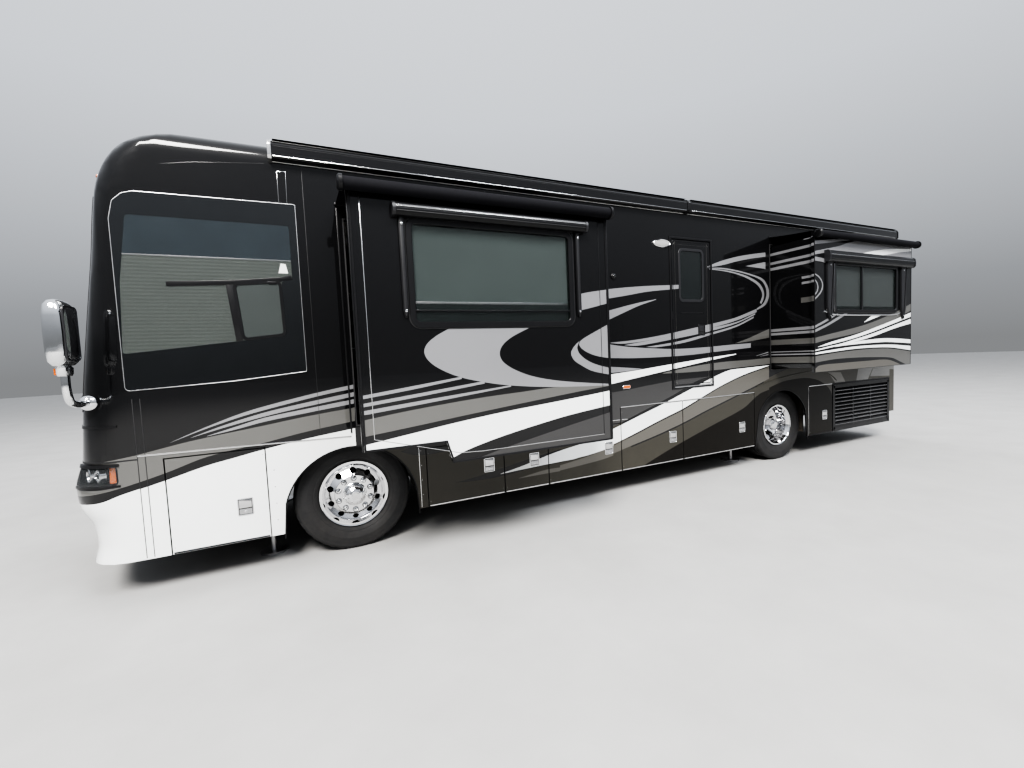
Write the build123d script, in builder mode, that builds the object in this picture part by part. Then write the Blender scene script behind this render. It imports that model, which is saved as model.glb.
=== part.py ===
import os
from math import sqrt, radians, sin, cos

from build123d import *

os.makedirs("parts", exist_ok=True)

# Class-A coach, rear engine. Millimetres. While it is drawn, X = 0 is the front
# wheel centre, +X forward, +Y the driver's (left) side, Z = 0 the ground.
# Every piece is moved by SHIFT when written, so that the row's origin is on the
# ground under the middle of the coach's box.
SHIFT = (3390.0, -255.0, 0.0)

# body
HALF_W = 1295.0            # half width over the side walls
WALL = 50.0                # side wall thickness
SKIN = 18.0                # thin panel round the wheel arches
SKIRT_Z = 290.0            # lower edge of the skirt
BELT_Z = 1038.0            # lower edge of the thick wall
DOOR_TOP = 1030.0          # top of a bay door
LOW_DOOR_TOP = 852.0       # top of a bay door under the front slide-out
SLIDE_STRIP_Z = 860.0      # lower edge of the wall above those doors
WALL_TOP = 3340.0
CAP_STEP_Z = 3020.0        # the front cap reaches back over the wall above this
NOSE_X = 1500.0            # seam of front cap and walls
CAP_BACK_X = 480.0         # seam of front cap and roof
TAIL_X = -8660.0           # seam of rear cap and walls
REAR_X = -8860.0           # rear face
FLOOR_Z0, FLOOR_Z1 = 1100.0, 1150.0
GAP = 8.0                  # gap between neighbouring doors

# roof section
ROOF_CROWN_Z = 3620.0
ROOF_R = 160.0             # edge radius
ROOF_BOW = 6000.0          # crown radius
ROOF_T = 70.0

# wheels
WHEELBASE = 5905.0
AXLE_Z = 503.0
TYRE_R = 506.0
TYRE_HALF = 147.0
BEAD_R = 286.0
FLANGE_R = 299.0
BEAD_HALF = 105.0
WHEEL_Y = 1055.0           # front and outer rear tyre centre
TWIN_Y = 711.0             # inner rear tyre centre
KINGPIN_Y = 930.0
KINGPIN_R = 20.0
SPINDLE_R = 36.0
RUN = 0.05                 # radial running clearance

# chassis
RAIL_Y, RAIL_W = 430.0, 80.0
RAIL_Z0, RAIL_Z1 = 760.0, 1020.0

# slide-outs: face plane, travel
FACE_T = 40.0
SLIDE_IN_Y = 1195.0        # inner end of a slide box when it is out
F_FACE_Y = 2045.0
R_FACE_Y = 1900.0


def put(piece, label):
    """Label a finished piece, move it into the row frame and write it."""
    out = piece.moved(Location(SHIFT))
    out.label = label
    export_step(out, "parts/" + label + ".step")


# ------------------------------------------------------------------ the nose
def nose_points(xc, w, rc, rf=3400.0):
    """Corner-circle centre and tangent point of a bowed front outline."""
    cx = xc - rf + sqrt((rf - rc) ** 2 - (w - rc) ** 2)
    cy = w - rc
    k = rf / (rf - rc)
    tx = (xc - rf) + (cx - (xc - rf)) * k
    ty = cy * k
    a = radians(55)
    return (cx, w), (cx + rc * cos(a), cy + rc * sin(a)), (tx, ty)


def nose_face(z, xc, w, rc, xb, off=0.0):
    """Outline at height z: back line, two sides, two corners, bowed front."""
    w, xc, rc = w - off, xc - off, max(rc - off, 40.0)
    p, m, t = nose_points(xc, w, rc)
    with BuildSketch(Plane.XY.offset(z)) as s:
        with BuildLine():
            Line((xb, -w), (xb, w))
            Line((xb, w), p)
            ThreePointArc(p, m, t)
            ThreePointArc(t, (xc, 0), (t[0], -t[1]))
            ThreePointArc((t[0], -t[1]), (m[0], -m[1]), (p[0], -p[1]))
            Line((p[0], -p[1]), (xb, -w))
        make_face()
    return s.sketch


# z, front centre x, half width, corner radius
CAP_LOW = [(1050.0, 2060.0, HALF_W, 280.0), (2100.0, 1950.0, HALF_W, 200.0), (3020.0, 1840.0, HALF_W, 120.0)]
CAP_HIGH = [(3020.0, 1840.0, HALF_W, 120.0), (3200.0, 1785.0, HALF_W, 140.0), (3340.0, 1700.0, 1293.0, 180.0),
            (3450.0, 1560.0, 1275.0, 220.0), (3540.0, 1360.0, 1140.0, 250.0), (3604.0, 1000.0, 620.0, 250.0)]
BUMPER = [(290.0, 2045.0, HALF_W, 280.0), (420.0, 2018.0, HALF_W, 280.0), (560.0, 2030.0, HALF_W, 280.0),
          (720.0, 2100.0, HALF_W, 290.0), (850.0, 2112.0, HALF_W, 290.0), (1050.0, 2060.0, HALF_W, 280.0)]


def nose_loft(rows, xb, off=0.0, ruled=True, drop=0.0):
    with BuildPart() as p:
        loft([nose_face(z - drop, xc, w, rc, xb, off).faces()[0] for z, xc, w, rc in rows], ruled=ruled)
    return p.part


cap_low = nose_loft(CAP_LOW, NOSE_X)
cap_low_in = nose_loft(CAP_LOW, NOSE_X - 5, WALL)
cap_low_glass = nose_loft(CAP_LOW, NOSE_X - 5, 14.0)
cap_high = nose_loft(CAP_HIGH, CAP_BACK_X)
cap_high_in = nose_loft(CAP_HIGH, CAP_BACK_X - 5, WALL, drop=60.0)
bumper_out = nose_loft(BUMPER, NOSE_X)
bumper_in = nose_loft([(BUMPER[0][0] - 10,) + BUMPER[0][1:]] + BUMPER[1:-1] + [(1060.0,) + BUMPER[-1][1:]],
                      NOSE_X - 5, 40.0)

WS_Y, WS_Z0, WS_Z1 = 1110.0, 1450.0, 2960.0        # windshield opening

with BuildPart() as ws_prism:
    with BuildSketch(Plane.YZ.offset(1560)):
        with Locations((0, (WS_Z0 + WS_Z1) / 2)):
            RectangleRounded(2 * WS_Y, WS_Z1 - WS_Z0, 90)
    extrude(amount=700)

with BuildPart() as front_cap:
    add(cap_low)
    add(cap_high)
    add(cap_low_in, mode=Mode.SUBTRACT)
    add(cap_high_in, mode=Mode.SUBTRACT)
    add(ws_prism.part, mode=Mode.SUBTRACT)
put(front_cap.part, "front_cap")

with BuildPart() as windshield:
    add(cap_low)
    add(cap_low_glass, mode=Mode.SUBTRACT)
    add(ws_prism.part, mode=Mode.INTERSECT)
put(windshield.part, "windshield")

# headlamp window in the bumper corner, both sides
LAMP_X, LAMP_Z = (1610.0, 1840.0), (872.0, 1040.0)
with BuildPart() as lamp_prism:
    with BuildSketch(Plane.XY.offset(LAMP_Z[0])):
        for s in (1, -1):
            with Locations(((LAMP_X[0] + LAMP_X[1]) / 2, s * 1150)):
                Rectangle(LAMP_X[1] - LAMP_X[0], 320)
    extrude(amount=LAMP_Z[1] - LAMP_Z[0])

with BuildPart() as front_bumper:
    add(bumper_out)
    add(bumper_in, mode=Mode.SUBTRACT)
    add(lamp_prism.part, mode=Mode.SUBTRACT)
put(front_bumper.part, "front_bumper")

# rear lamps stand in openings of the rear cap
TAIL_LAMP_Y, TAIL_LAMP_Z = (1010.0, 1150.0), (1300.0, 1760.0)
with BuildPart() as lamps:
    add(bumper_out)
    add(bumper_in, mode=Mode.SUBTRACT)
    add(lamp_prism.part, mode=Mode.INTERSECT)
    with BuildSketch(Plane.YZ.offset(REAR_X - 6)):
        for s in (1, -1):
            with Locations((s * sum(TAIL_LAMP_Y) / 2, sum(TAIL_LAMP_Z) / 2)):
                Rectangle(TAIL_LAMP_Y[1] - TAIL_LAMP_Y[0], TAIL_LAMP_Z[1] - TAIL_LAMP_Z[0])
    extrude(amount=56)
put(lamps.part, "lamps")

# ------------------------------------------------------------------ side walls
# window and door openings: x front, x rear, z low, z high
F_OPEN = (-55.0, -2215.0, 1145.0, 2925.0)          # front slide-out
R_OPEN = (-5610.0, -7890.0, 1340.0, 3060.0)        # rear slide-out
EGRESS = (-3790.0, -4440.0, 1220.0, 3020.0)        # driver's-side door
ENTRY = (1388.0, 712.0, 410.0, 2760.0)             # curb-side door
LEFT_GLASS = [(1245.0, 2830.0), (376.0, 2830.0), (390.0, 1935.0), (803.0, 1903.0), (1478.0, 1826.0)]
RIGHT_GLASS = [(430.0, -560.0, 1900.0, 2700.0), (-1500.0, -2900.0, 1900.0, 2700.0),
               (-3950.0, -4450.0, 2200.0, 2750.0), (-6200.0, -7500.0, 1950.0, 2700.0)]

# bay doors: name, x front, x rear, z top
LEFT_DOORS = [("front_service_door", 1345.0, 673.0, DOOR_TOP),
              ("left_bay_door_1", -650.0, -1450.0, LOW_DOOR_TOP),
              ("left_bay_door_2", -1450.0, -1970.0, LOW_DOOR_TOP),
              ("left_bay_door_3", -1970.0, -2950.0, LOW_DOOR_TOP),
              ("left_bay_door_4", -2950.0, -3920.0, DOOR_TOP),
              ("left_bay_door_5", -3920.0, -5250.0, DOOR_TOP),
              ("left_rear_door", -6460.0, -7040.0, DOOR_TOP),
              ("radiator_door", -7040.0, -8650.0, DOOR_TOP)]
RIGHT_DOORS = [("right_bay_door_1", -650.0, -2300.0, DOOR_TOP),
               ("right_bay_door_2", -2300.0, -3950.0, DOOR_TOP),
               ("right_bay_door_3", -3950.0, -5250.0, DOOR_TOP),
               ("right_rear_door", -6460.0, -8650.0, DOOR_TOP)]
DOOR_T = 45.0

# thin panels round the arches: x front, x rear, arch points (front foot, front, top, rear, rear foot)
ARCHES = [(665.0, -646.0, (574.0, 250.0), (549.0, 545.0), (5.0, 957.0), (-545.0, 480.0), (-560.0, 250.0)),
          (-5254.0, -6456.0, (-5262.0, 250.0), (-5337.0, 711.0), (-5870.0, 1026.0), (-6372.0, 697.0), (-6420.0, 250.0))]


def side_plane(y):
    """Side plane whose extrusion by a positive amount runs towards -Y from y."""
    return Plane(origin=(0, y, 0), x_dir=(1, 0, 0), z_dir=(0, -1, 0))


def wall(sign):
    """One side wall; sign +1 is the driver's side."""
    outer = sign * HALF_W
    inward = WALL if sign > 0 else -WALL
    thin = SKIN if sign > 0 else -SKIN
    with BuildPart() as w:
        with BuildSketch(side_plane(outer)) as s:
            with BuildLine():
                Polyline((TAIL_X, SKIRT_Z), (TAIL_X, WALL_TOP), (CAP_BACK_X, WALL_TOP), (CAP_BACK_X, CAP_STEP_Z),
                         (NOSE_X, CAP_STEP_Z), (NOSE_X, SKIRT_Z), (TAIL_X, SKIRT_Z))
            make_face()
            for x1, x0, *_ in ARCHES:
                with Locations(((x0 + x1) / 2, (200.0 + BELT_Z) / 2)):
                    Rectangle(x1 - x0, BELT_Z - 200.0, mode=Mode.SUBTRACT)
            doors = LEFT_DOORS if sign > 0 else RIGHT_DOORS
            for _, x1, x0, zt in doors:
                with Locations(((x0 + x1) / 2, (200.0 + zt + GAP) / 2)):
                    Rectangle(x1 - x0 + GAP, zt + GAP - 200.0, mode=Mode.SUBTRACT)
            cuts = [F_OPEN, R_OPEN] if sign > 0 else list(RIGHT_GLASS)
            hinged = EGRESS if sign > 0 else ENTRY
            low = hinged[2] - GAP if sign > 0 else 200.0      # the entry step fills the space under its door
            cuts.append((hinged[0] + GAP, hinged[1] - GAP, low, hinged[3] + GAP))
            for x1, x0, z0, z1 in cuts:
                with Locations(((x0 + x1) / 2, (z0 + z1) / 2)):
                    Rectangle(x1 - x0, z1 - z0, mode=Mode.SUBTRACT)
            if sign > 0:
                with BuildLine():
                    Polyline(*LEFT_GLASS, close=True)
                make_face(mode=Mode.SUBTRACT)
        extrude(amount=inward)
        for x1, x0, fa, fb, top, rb, ra in ARCHES:
            with BuildSketch(side_plane(outer)) as a:
                with Locations(((x0 + x1) / 2, (SKIRT_Z + BELT_Z) / 2)):
                    Rectangle(x1 - x0, BELT_Z - SKIRT_Z)
                with BuildLine():
                    Line(ra, fa)
                    Line(fa, fb)
                    ThreePointArc(fb, top, rb)
                    Line(rb, ra)
                make_face(mode=Mode.SUBTRACT)
            extrude(amount=thin)
    return w.part


left_wall = wall(1)
right_wall = wall(-1)
put(left_wall, "left_side_wall")
put(right_wall, "right_side_wall")

with BuildPart() as side_windows:
    with BuildSketch(side_plane(HALF_W - 3)):
        with BuildLine():
            Polyline(*LEFT_GLASS, close=True)
        make_face()
    extrude(amount=16)
    with BuildSketch(side_plane(-HALF_W + 3)):
        for x1, x0, z0, z1 in RIGHT_GLASS:
            with Locations(((x0 + x1) / 2, (z0 + z1) / 2)):
                Rectangle(x1 - x0, z1 - z0)
    extrude(amount=-16)
put(side_windows.part, "side_windows")


# ------------------------------------------------------------------ roof, rear cap
# edge circle (EDGE_Y, ROOF_EDGE_Z), its middle point and its tangent point with the crown
EDGE_Y = HALF_W - ROOF_R
ROOF_EDGE_Z = ROOF_CROWN_Z - ROOF_BOW + sqrt((ROOF_BOW - ROOF_R) ** 2 - EDGE_Y ** 2)
K_EDGE = ROOF_BOW / (ROOF_BOW - ROOF_R)
TAN = (EDGE_Y * K_EDGE, ROOF_CROWN_Z - ROOF_BOW + (ROOF_EDGE_Z - ROOF_CROWN_Z + ROOF_BOW) * K_EDGE)
MID = (EDGE_Y + ROOF_R * cos(radians(40)), ROOF_EDGE_Z + ROOF_R * sin(radians(40)))


def over_roof():
    """Roof line from the right edge over the crown to the left edge, in a YZ sketch."""
    ThreePointArc((HALF_W, ROOF_EDGE_Z), MID, TAN)
    ThreePointArc(TAN, (0, ROOF_CROWN_Z), (-TAN[0], TAN[1]))
    ThreePointArc((-TAN[0], TAN[1]), (-MID[0], MID[1]), (-HALF_W, ROOF_EDGE_Z))


with BuildPart() as roof:
    with BuildSketch(Plane.YZ.offset(TAIL_X)):
        with BuildLine():
            Line((HALF_W, WALL_TOP), (HALF_W, ROOF_EDGE_Z))
            over_roof()
            Line((-HALF_W, ROOF_EDGE_Z), (-HALF_W, WALL_TOP))
            Line((-HALF_W, WALL_TOP), (-HALF_W + ROOF_T, WALL_TOP))
            Line((-HALF_W + ROOF_T, WALL_TOP), (-EDGE_Y, TAN[1] - ROOF_T))
            ThreePointArc((-EDGE_Y, TAN[1] - ROOF_T), (0, ROOF_CROWN_Z - ROOF_T), (EDGE_Y, TAN[1] - ROOF_T))
            Line((EDGE_Y, TAN[1] - ROOF_T), (HALF_W - ROOF_T, WALL_TOP))
            Line((HALF_W - ROOF_T, WALL_TOP), (HALF_W, WALL_TOP))
        make_face()
    extrude(amount=CAP_BACK_X - TAIL_X)
put(roof.part, "roof")

REAR_Z0 = 460.0            # lower edge of the rear cap
ENGINE_DOOR = (620.0, 560.0, 1180.0)      # half width, z low, z high
with BuildPart() as rear_cap:
    with BuildSketch(Plane.YZ.offset(REAR_X)):
        with BuildLine():
            Line((HALF_W, REAR_Z0), (HALF_W, ROOF_EDGE_Z))
            over_roof()
            Line((-HALF_W, ROOF_EDGE_Z), (-HALF_W, REAR_Z0))
            Line((-HALF_W, REAR_Z0), (HALF_W, REAR_Z0))
        make_face()
    extrude(amount=TAIL_X - REAR_X)
    fillet(rear_cap.edges().group_by(Axis.X)[0].filter_by(lambda e: e.center().Z > REAR_Z0 + 1), radius=80)
    with BuildSketch(Plane.YZ.offset(REAR_X + WALL)):
        with BuildLine():
            Polyline((HALF_W - WALL, REAR_Z0 - 10), (HALF_W - WALL, WALL_TOP), (EDGE_Y, TAN[1] - 60),
                     (0, ROOF_CROWN_Z - 60), (-EDGE_Y, TAN[1] - 60), (-HALF_W + WALL, WALL_TOP),
                     (-HALF_W + WALL, REAR_Z0 - 10), close=True)
        make_face()
    extrude(amount=400, mode=Mode.SUBTRACT)
    with BuildSketch(Plane.YZ.offset(REAR_X - 20)):
        with Locations((0, (ENGINE_DOOR[1] + ENGINE_DOOR[2]) / 2)):
            Rectangle(2 * ENGINE_DOOR[0] + 2 * GAP, ENGINE_DOOR[2] - ENGINE_DOOR[1] + 2 * GAP)
        for s in (1, -1):
            with Locations((s * sum(TAIL_LAMP_Y) / 2, sum(TAIL_LAMP_Z) / 2)):
                Rectangle(TAIL_LAMP_Y[1] - TAIL_LAMP_Y[0], TAIL_LAMP_Z[1] - TAIL_LAMP_Z[0])
    extrude(amount=100, mode=Mode.SUBTRACT)
put(rear_cap.part, "rear_cap")

with BuildPart() as engine_door:
    with BuildSketch(Plane.YZ.offset(REAR_X)):
        with Locations((0, (ENGINE_DOOR[1] + ENGINE_DOOR[2]) / 2)):
            RectangleRounded(2 * ENGINE_DOOR[0], ENGINE_DOOR[2] - ENGINE_DOOR[1], 30)
    extrude(amount=40)
put(engine_door.part, "engine_door")

# roof-edge awning boxes on both sides: x front, x rear, side
EDGE_BOXES = [(478.0, -4020.0, 1), (-4040.0, -8740.0, 1), (478.0, -5600.0, -1)]
with BuildPart() as roof_edge_awnings:
    for x1, x0, s in EDGE_BOXES:
        with BuildSketch(Plane.YZ.offset(x0)):
            with BuildLine():
                Polyline((s * HALF_W, 3345), (s * 1352, 3352), (s * 1366, 3366), (s * 1366, 3450), (s * 1352, 3482),
                         (s * 1300, 3502), (s * 1200, 3530), (s * 1200, 3400), (s * HALF_W, 3345))
            make_face()
        extrude(amount=x1 - x0)
    add(roof.part, mode=Mode.SUBTRACT)
    add(rear_cap.part, mode=Mode.SUBTRACT)
    with BuildSketch(Plane.YZ.offset(-9000)):
        Rectangle(2 * HALF_W - 200, 8000)
    extrude(amount=10000, mode=Mode.SUBTRACT)
put(roof_edge_awnings.part, "roof_edge_awnings")

# roof units: x centre, length, width, height above the crown
ROOF_UNITS = [(-700.0, 1050.0, 740.0, 285.0), (-3900.0, 1050.0, 740.0, 285.0), (-6900.0, 1050.0, 740.0, 285.0)]
with BuildPart() as roof_air_conditioners:
    for x, length, width, height in ROOF_UNITS:
        with BuildSketch(Plane.XY.offset(ROOF_CROWN_Z - 30)):
            with Locations((x, 0)):
                RectangleRounded(length, width, 120)
        extrude(amount=30 + height, taper=8)
    add(roof.part, mode=Mode.SUBTRACT)
    with BuildSketch(Plane.XY.offset(ROOF_CROWN_Z - 120)):
        Rectangle(30000, 2000)
    extrude(amount=85, mode=Mode.SUBTRACT)
put(roof_air_conditioners.part, "roof_air_conditioners")

# ------------------------------------------------------------------ floor and bays
WELL_X = (765.0, 1385.0)   # entry step well
with BuildPart() as house_floor:
    with BuildSketch(Plane.XY.offset(FLOOR_Z0)):
        with Locations(((TAIL_X + NOSE_X) / 2, 0)):
            Rectangle(NOSE_X - TAIL_X, 2 * (HALF_W - WALL))
        with Locations((sum(WELL_X) / 2, -930)):
            Rectangle(WELL_X[1] - WELL_X[0], 640, mode=Mode.SUBTRACT)
    extrude(amount=FLOOR_Z1 - FLOOR_Z0)
    # step well: cheeks and two treads
    for x in WELL_X:
        with BuildSketch(Plane.XY.offset(420)):
            with Locations((x, -925)):
                Rectangle(16, 630)
        extrude(amount=FLOOR_Z1 - 420)
    with BuildSketch(Plane.XY.offset(420)):
        with Locations((sum(WELL_X) / 2, -925)):
            Rectangle(WELL_X[1] - WELL_X[0], 630)
    extrude(amount=30)
    with BuildSketch(Plane.XY.offset(780)):
        with Locations((sum(WELL_X) / 2, -765)):
            Rectangle(WELL_X[1] - WELL_X[0], 310)
    extrude(amount=30)
put(house_floor.part, "house_floor")

PAN_Z0, PAN_Z1 = 310.0, 335.0
BULKHEADS = (-700.0, -1960.0, -2940.0, -3910.0, -5180.0)     # x of each bulkhead's front face
with BuildPart() as basement_pan:
    with BuildSketch(Plane.XY.offset(PAN_Z0)):
        with Locations(((-700 - 5200) / 2, 0)):
            Rectangle(4500, 2 * 1190)
    extrude(amount=PAN_Z1 - PAN_Z0)
    for x in BULKHEADS:
        with BuildSketch(Plane.XY.offset(PAN_Z1 - 5)):
            with Locations((x - 10, 0)):
                Rectangle(20, 2 * 1190)
        extrude(amount=745.0 - PAN_Z1 + 5)
    # small pan behind the front service door
    with BuildSketch(Plane.XY.offset(PAN_Z0)):
        with Locations((1070, 880)):
            Rectangle(500, 620)
    extrude(amount=PAN_Z1 - PAN_Z0)
put(basement_pan.part, "basement_pan")

# wheel housings: x front plate, x rear plate
HOUSINGS = [(655.0, -655.0), (-5225.0, -6470.0)]
with BuildPart() as wheel_housings:
    for x1, x0 in HOUSINGS:
        for s in (1, -1):
            with BuildSketch(Plane.XY.offset(1050)):
                with Locations(((x0 + x1) / 2, s * 862)):
                    Rectangle(x1 - x0, 690)
            extrude(amount=15)
            with BuildSketch(Plane.XY.offset(345)):
                for x in (x1 - 7.5, x0 + 7.5):
                    with Locations((x, s * 862)):
                        Rectangle(15, 690)
            extrude(amount=710)
put(wheel_housings.part, "wheel_housings")

# ------------------------------------------------------------------ chassis
CROSS = (1420.0, 760.0, -740.0, -2100.0, -3400.0, -4700.0, -5300.0, -6520.0, -7150.0, -8540.0)
HITCH_Z, HITCH_OUT, HITCH_IN = 400.0, 64.0, 51.0
HITCH_X = (-8840.0, -8470.0)
HITCH_PIN_X, HITCH_PIN_R = -8775.0, 8.0
TOW_X, TOW_Z, TOW_R, TOW_T = 1470.0, 470.0, 16.0, 24.0
with BuildPart() as chassis_frame:
    with BuildSketch(Plane.XY.offset(RAIL_Z0)):
        for s in (1, -1):
            with Locations(((1450 - 8600) / 2, s * RAIL_Y)):
                Rectangle(10050, RAIL_W)
        for x in CROSS:
            with Locations((x, 0)):
                Rectangle(80, 2 * RAIL_Y)
    extrude(amount=RAIL_Z1 - RAIL_Z0)
    # the engine sits between lowered cross-members, so the frame is open there
    with BuildSketch(Plane.XY.offset(RAIL_Z0 - 1)):
        with Locations((-7850, 0)):
            Rectangle(1240, 2 * RAIL_Y - RAIL_W)
    extrude(amount=400, mode=Mode.SUBTRACT)
    # hitch drop plates, cross tube and receiver
    with BuildSketch(Plane.XY.offset(HITCH_Z - 32)):
        for s in (1, -1):
            with Locations((-8530, s * RAIL_Y)):
                Rectangle(120, 30)
    extrude(amount=RAIL_Z0 - HITCH_Z + 32)
    with BuildSketch(Plane.XY.offset(HITCH_Z - 32)):
        with Locations((-8530, 0)):
            Rectangle(70, 2 * RAIL_Y)
        with Locations((sum(HITCH_X) / 2, 0)):
            Rectangle(HITCH_X[1] - HITCH_X[0], HITCH_OUT)
    extrude(amount=64)
    with BuildSketch(Plane.YZ.offset(HITCH_X[0])):
        with Locations((0, HITCH_Z)):
            Rectangle(HITCH_IN, HITCH_IN)
    extrude(amount=260, mode=Mode.SUBTRACT)
    with BuildSketch(side_plane(100)):
        with Locations((HITCH_PIN_X, HITCH_Z)):
            Circle(HITCH_PIN_R)
    extrude(amount=200, mode=Mode.SUBTRACT)
    # front tow eyes: hanger plates and flat eyes with upright holes
    for s in (1, -1):
        with BuildSketch(side_plane(s * RAIL_Y + TOW_T / 2)):
            with Locations((1405, (TOW_Z - TOW_T / 2 + 770) / 2)):
                Rectangle(90, 770 - TOW_Z + TOW_T / 2)
        extrude(amount=TOW_T)
        with BuildSketch(Plane.XY.offset(TOW_Z - TOW_T / 2)):
            with Locations((1415, s * RAIL_Y)):
                Rectangle(110, 90)
            with Locations((TOW_X, s * RAIL_Y)):
                Circle(45)
                Circle(TOW_R, mode=Mode.SUBTRACT)
        extrude(amount=TOW_T)
put(chassis_frame.part, "chassis_frame")

with BuildPart() as engine_block:
    with BuildSketch(Plane.XY.offset(360)):
        with Locations((-7850, 0)):
            Rectangle(1200, 740)
    extrude(amount=700)
    chamfer(engine_block.edges().filter_by(Axis.X), 60)
put(engine_block.part, "engine_block")

# front axle: dropped beam, eye for each kingpin, springs up to the rails
with BuildPart() as front_axle:
    with BuildSketch(Plane.YZ.offset(-45)):
        with BuildLine():
            Polyline((-890, 468), (-760, 468), (-640, 400), (640, 400), (760, 468), (890, 468), (890, 538), (740, 538),
                     (620, 480), (-620, 480), (-740, 538), (-890, 538), (-890, 468))
        make_face()
    extrude(amount=90)
    with BuildSketch(Plane.XY.offset(468)):
        for s in (1, -1):
            with Locations((0, s * KINGPIN_Y)):
                Circle(48)
    extrude(amount=70)
    with BuildSketch(Plane.XY.offset(400)):
        for s in (1, -1):
            with Locations((0, s * KINGPIN_Y)):
                Circle(KINGPIN_R + RUN)
    extrude(amount=200, mode=Mode.SUBTRACT)
    with BuildSketch(Plane.XY.offset(470)):
        for s in (1, -1):
            with Locations((0, s * RAIL_Y)):
                Circle(110)
    extrude(amount=RAIL_Z0 - 470)
put(front_axle.part, "front_axle")

with BuildPart() as rear_axle:
    with BuildSketch(Plane(origin=(-WHEELBASE, -620, AXLE_Z), x_dir=(1, 0, 0), z_dir=(0, 1, 0))):
        Circle(75)
    extrude(amount=1240)
    with BuildSketch(Plane(origin=(-WHEELBASE, -1000, AXLE_Z), x_dir=(1, 0, 0), z_dir=(0, 1, 0))):
        Circle(SPINDLE_R)
    extrude(amount=2000)
    with Locations((-WHEELBASE, 0, AXLE_Z)):
        Sphere(185)
    for x in (-WHEELBASE + 300, -WHEELBASE - 300):
        with BuildSketch(Plane.XY.offset(540)):
            for s in (1, -1):
                with Locations((x, s * RAIL_Y)):
                    Circle(125)
        extrude(amount=RAIL_Z0 - 540)
    with BuildSketch(Plane.XY.offset(480)):
        for s in (1, -1):
            with Locations((-WHEELBASE, s * RAIL_Y)):
                Rectangle(760, 110)
    extrude(amount=60)
put(rear_axle.part, "rear_axle")

# levelling jacks on the ground: x, y
JACKS = [(702.0, 850.0), (702.0, -850.0), (-5310.0, 850.0), (-5310.0, -850.0)]
with BuildPart() as levelling_jacks:
    for x, y in JACKS:
        s = 1 if y > 0 else -1
        with BuildSketch(Plane.XY):
            with Locations((x, y)):
                Circle(115)
        extrude(amount=22)
        with BuildSketch(Plane.XY.offset(20)):
            with Locations((x, y)):
                Circle(26)
        extrude(amount=320)
        with BuildSketch(Plane.XY.offset(330)):
            with Locations((x, y)):
                Circle(42)
        extrude(amount=520)
        with BuildSketch(Plane.XY.offset(780)):
            with Locations((x, s * (850 + RAIL_Y + RAIL_W / 2) / 2)):
                Rectangle(70, 850 - RAIL_Y - RAIL_W / 2)
        extrude(amount=60)
put(levelling_jacks.part, "levelling_jacks")

# ------------------------------------------------------------------ wheels


def tyre_solid(y0):
    """Tyre round the Y axis at y0, at the origin in X and Z."""
    with BuildPart() as t:
        with BuildSketch(Plane.XY):
            with BuildLine():
                h, b, f = TYRE_HALF, BEAD_HALF, FLANGE_R
                Line((BEAD_R, y0 - b), (BEAD_R, y0 + b))
                Line((BEAD_R, y0 + b), (f + 3, y0 + b))
                ThreePointArc((f + 3, y0 + b), (398, y0 + h), (472, y0 + h - 22))
                ThreePointArc((472, y0 + h - 22), (494, y0 + h - 30), (TYRE_R - 4, y0 + h - 52))
                ThreePointArc((TYRE_R - 4, y0 + h - 52), (TYRE_R, y0), (TYRE_R - 4, y0 - h + 52))
                ThreePointArc((TYRE_R - 4, y0 - h + 52), (494, y0 - h + 30), (472, y0 - h + 22))
                ThreePointArc((472, y0 - h + 22), (398, y0 - h), (f + 3, y0 - b))
                Line((f + 3, y0 - b), (BEAD_R, y0 - b))
            make_face()
        revolve(axis=Axis.Y)
    return t.part


def wheel_metal(rims, hub):
    """Rims and hub in one revolved profile.

    rims: rows of barrel centre y, disc face y, y where the disc's cone meets the barrel, disc side (+1 or -1)
    hub: inner end y, outer end y, side
    """
    b = BEAD_HALF
    inner, outer, side = hub
    with BuildPart() as m:
        with BuildSketch(Plane.XY):
            for y0, face, edge, out in rims:
                with BuildLine():
                    Polyline((BEAD_R, y0 - b), (FLANGE_R, y0 - b), (FLANGE_R, y0 - b - 12), (BEAD_R - 12, y0 - b - 12),
                             (BEAD_R - 30, y0 - 80), (BEAD_R - 30, y0 + 80), (BEAD_R - 12, y0 + b + 12),
                             (FLANGE_R, y0 + b + 12), (FLANGE_R, y0 + b), (BEAD_R, y0 + b), (BEAD_R, y0 - b))
                make_face()
                with BuildLine():
                    Polyline((70, face), (170, face), (BEAD_R - 22, edge), (BEAD_R - 22, edge - out * 22),
                             (175, face - out * 18), (70, face - out * 18), (70, face))
                make_face()
            with BuildLine():
                r = SPINDLE_R + RUN
                Polyline((r, inner), (88, inner), (88, outer - side * 40))
                Polyline((88, outer - side * 40), (80, outer - side * 20), (60, outer - side * 6), (40, outer),
                         (0, outer), (0, outer - side * 28), (r, outer - side * 28), (r, inner))
            make_face()
        revolve(axis=Axis.Y)
        # round hand holes through each disc
        for y0, face, edge, out in rims:
            with BuildSketch(Plane(origin=(0, min(face, edge) - 40, 0), x_dir=(1, 0, 0), z_dir=(0, 1, 0))):
                with PolarLocations(212, 10, start_angle=18):
                    Circle(27)
            extrude(amount=abs(face - edge) + 80, mode=Mode.SUBTRACT)
    return m.part


def at_axle(piece, x):
    return piece.moved(Location((x, 0, AXLE_Z)))


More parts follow.
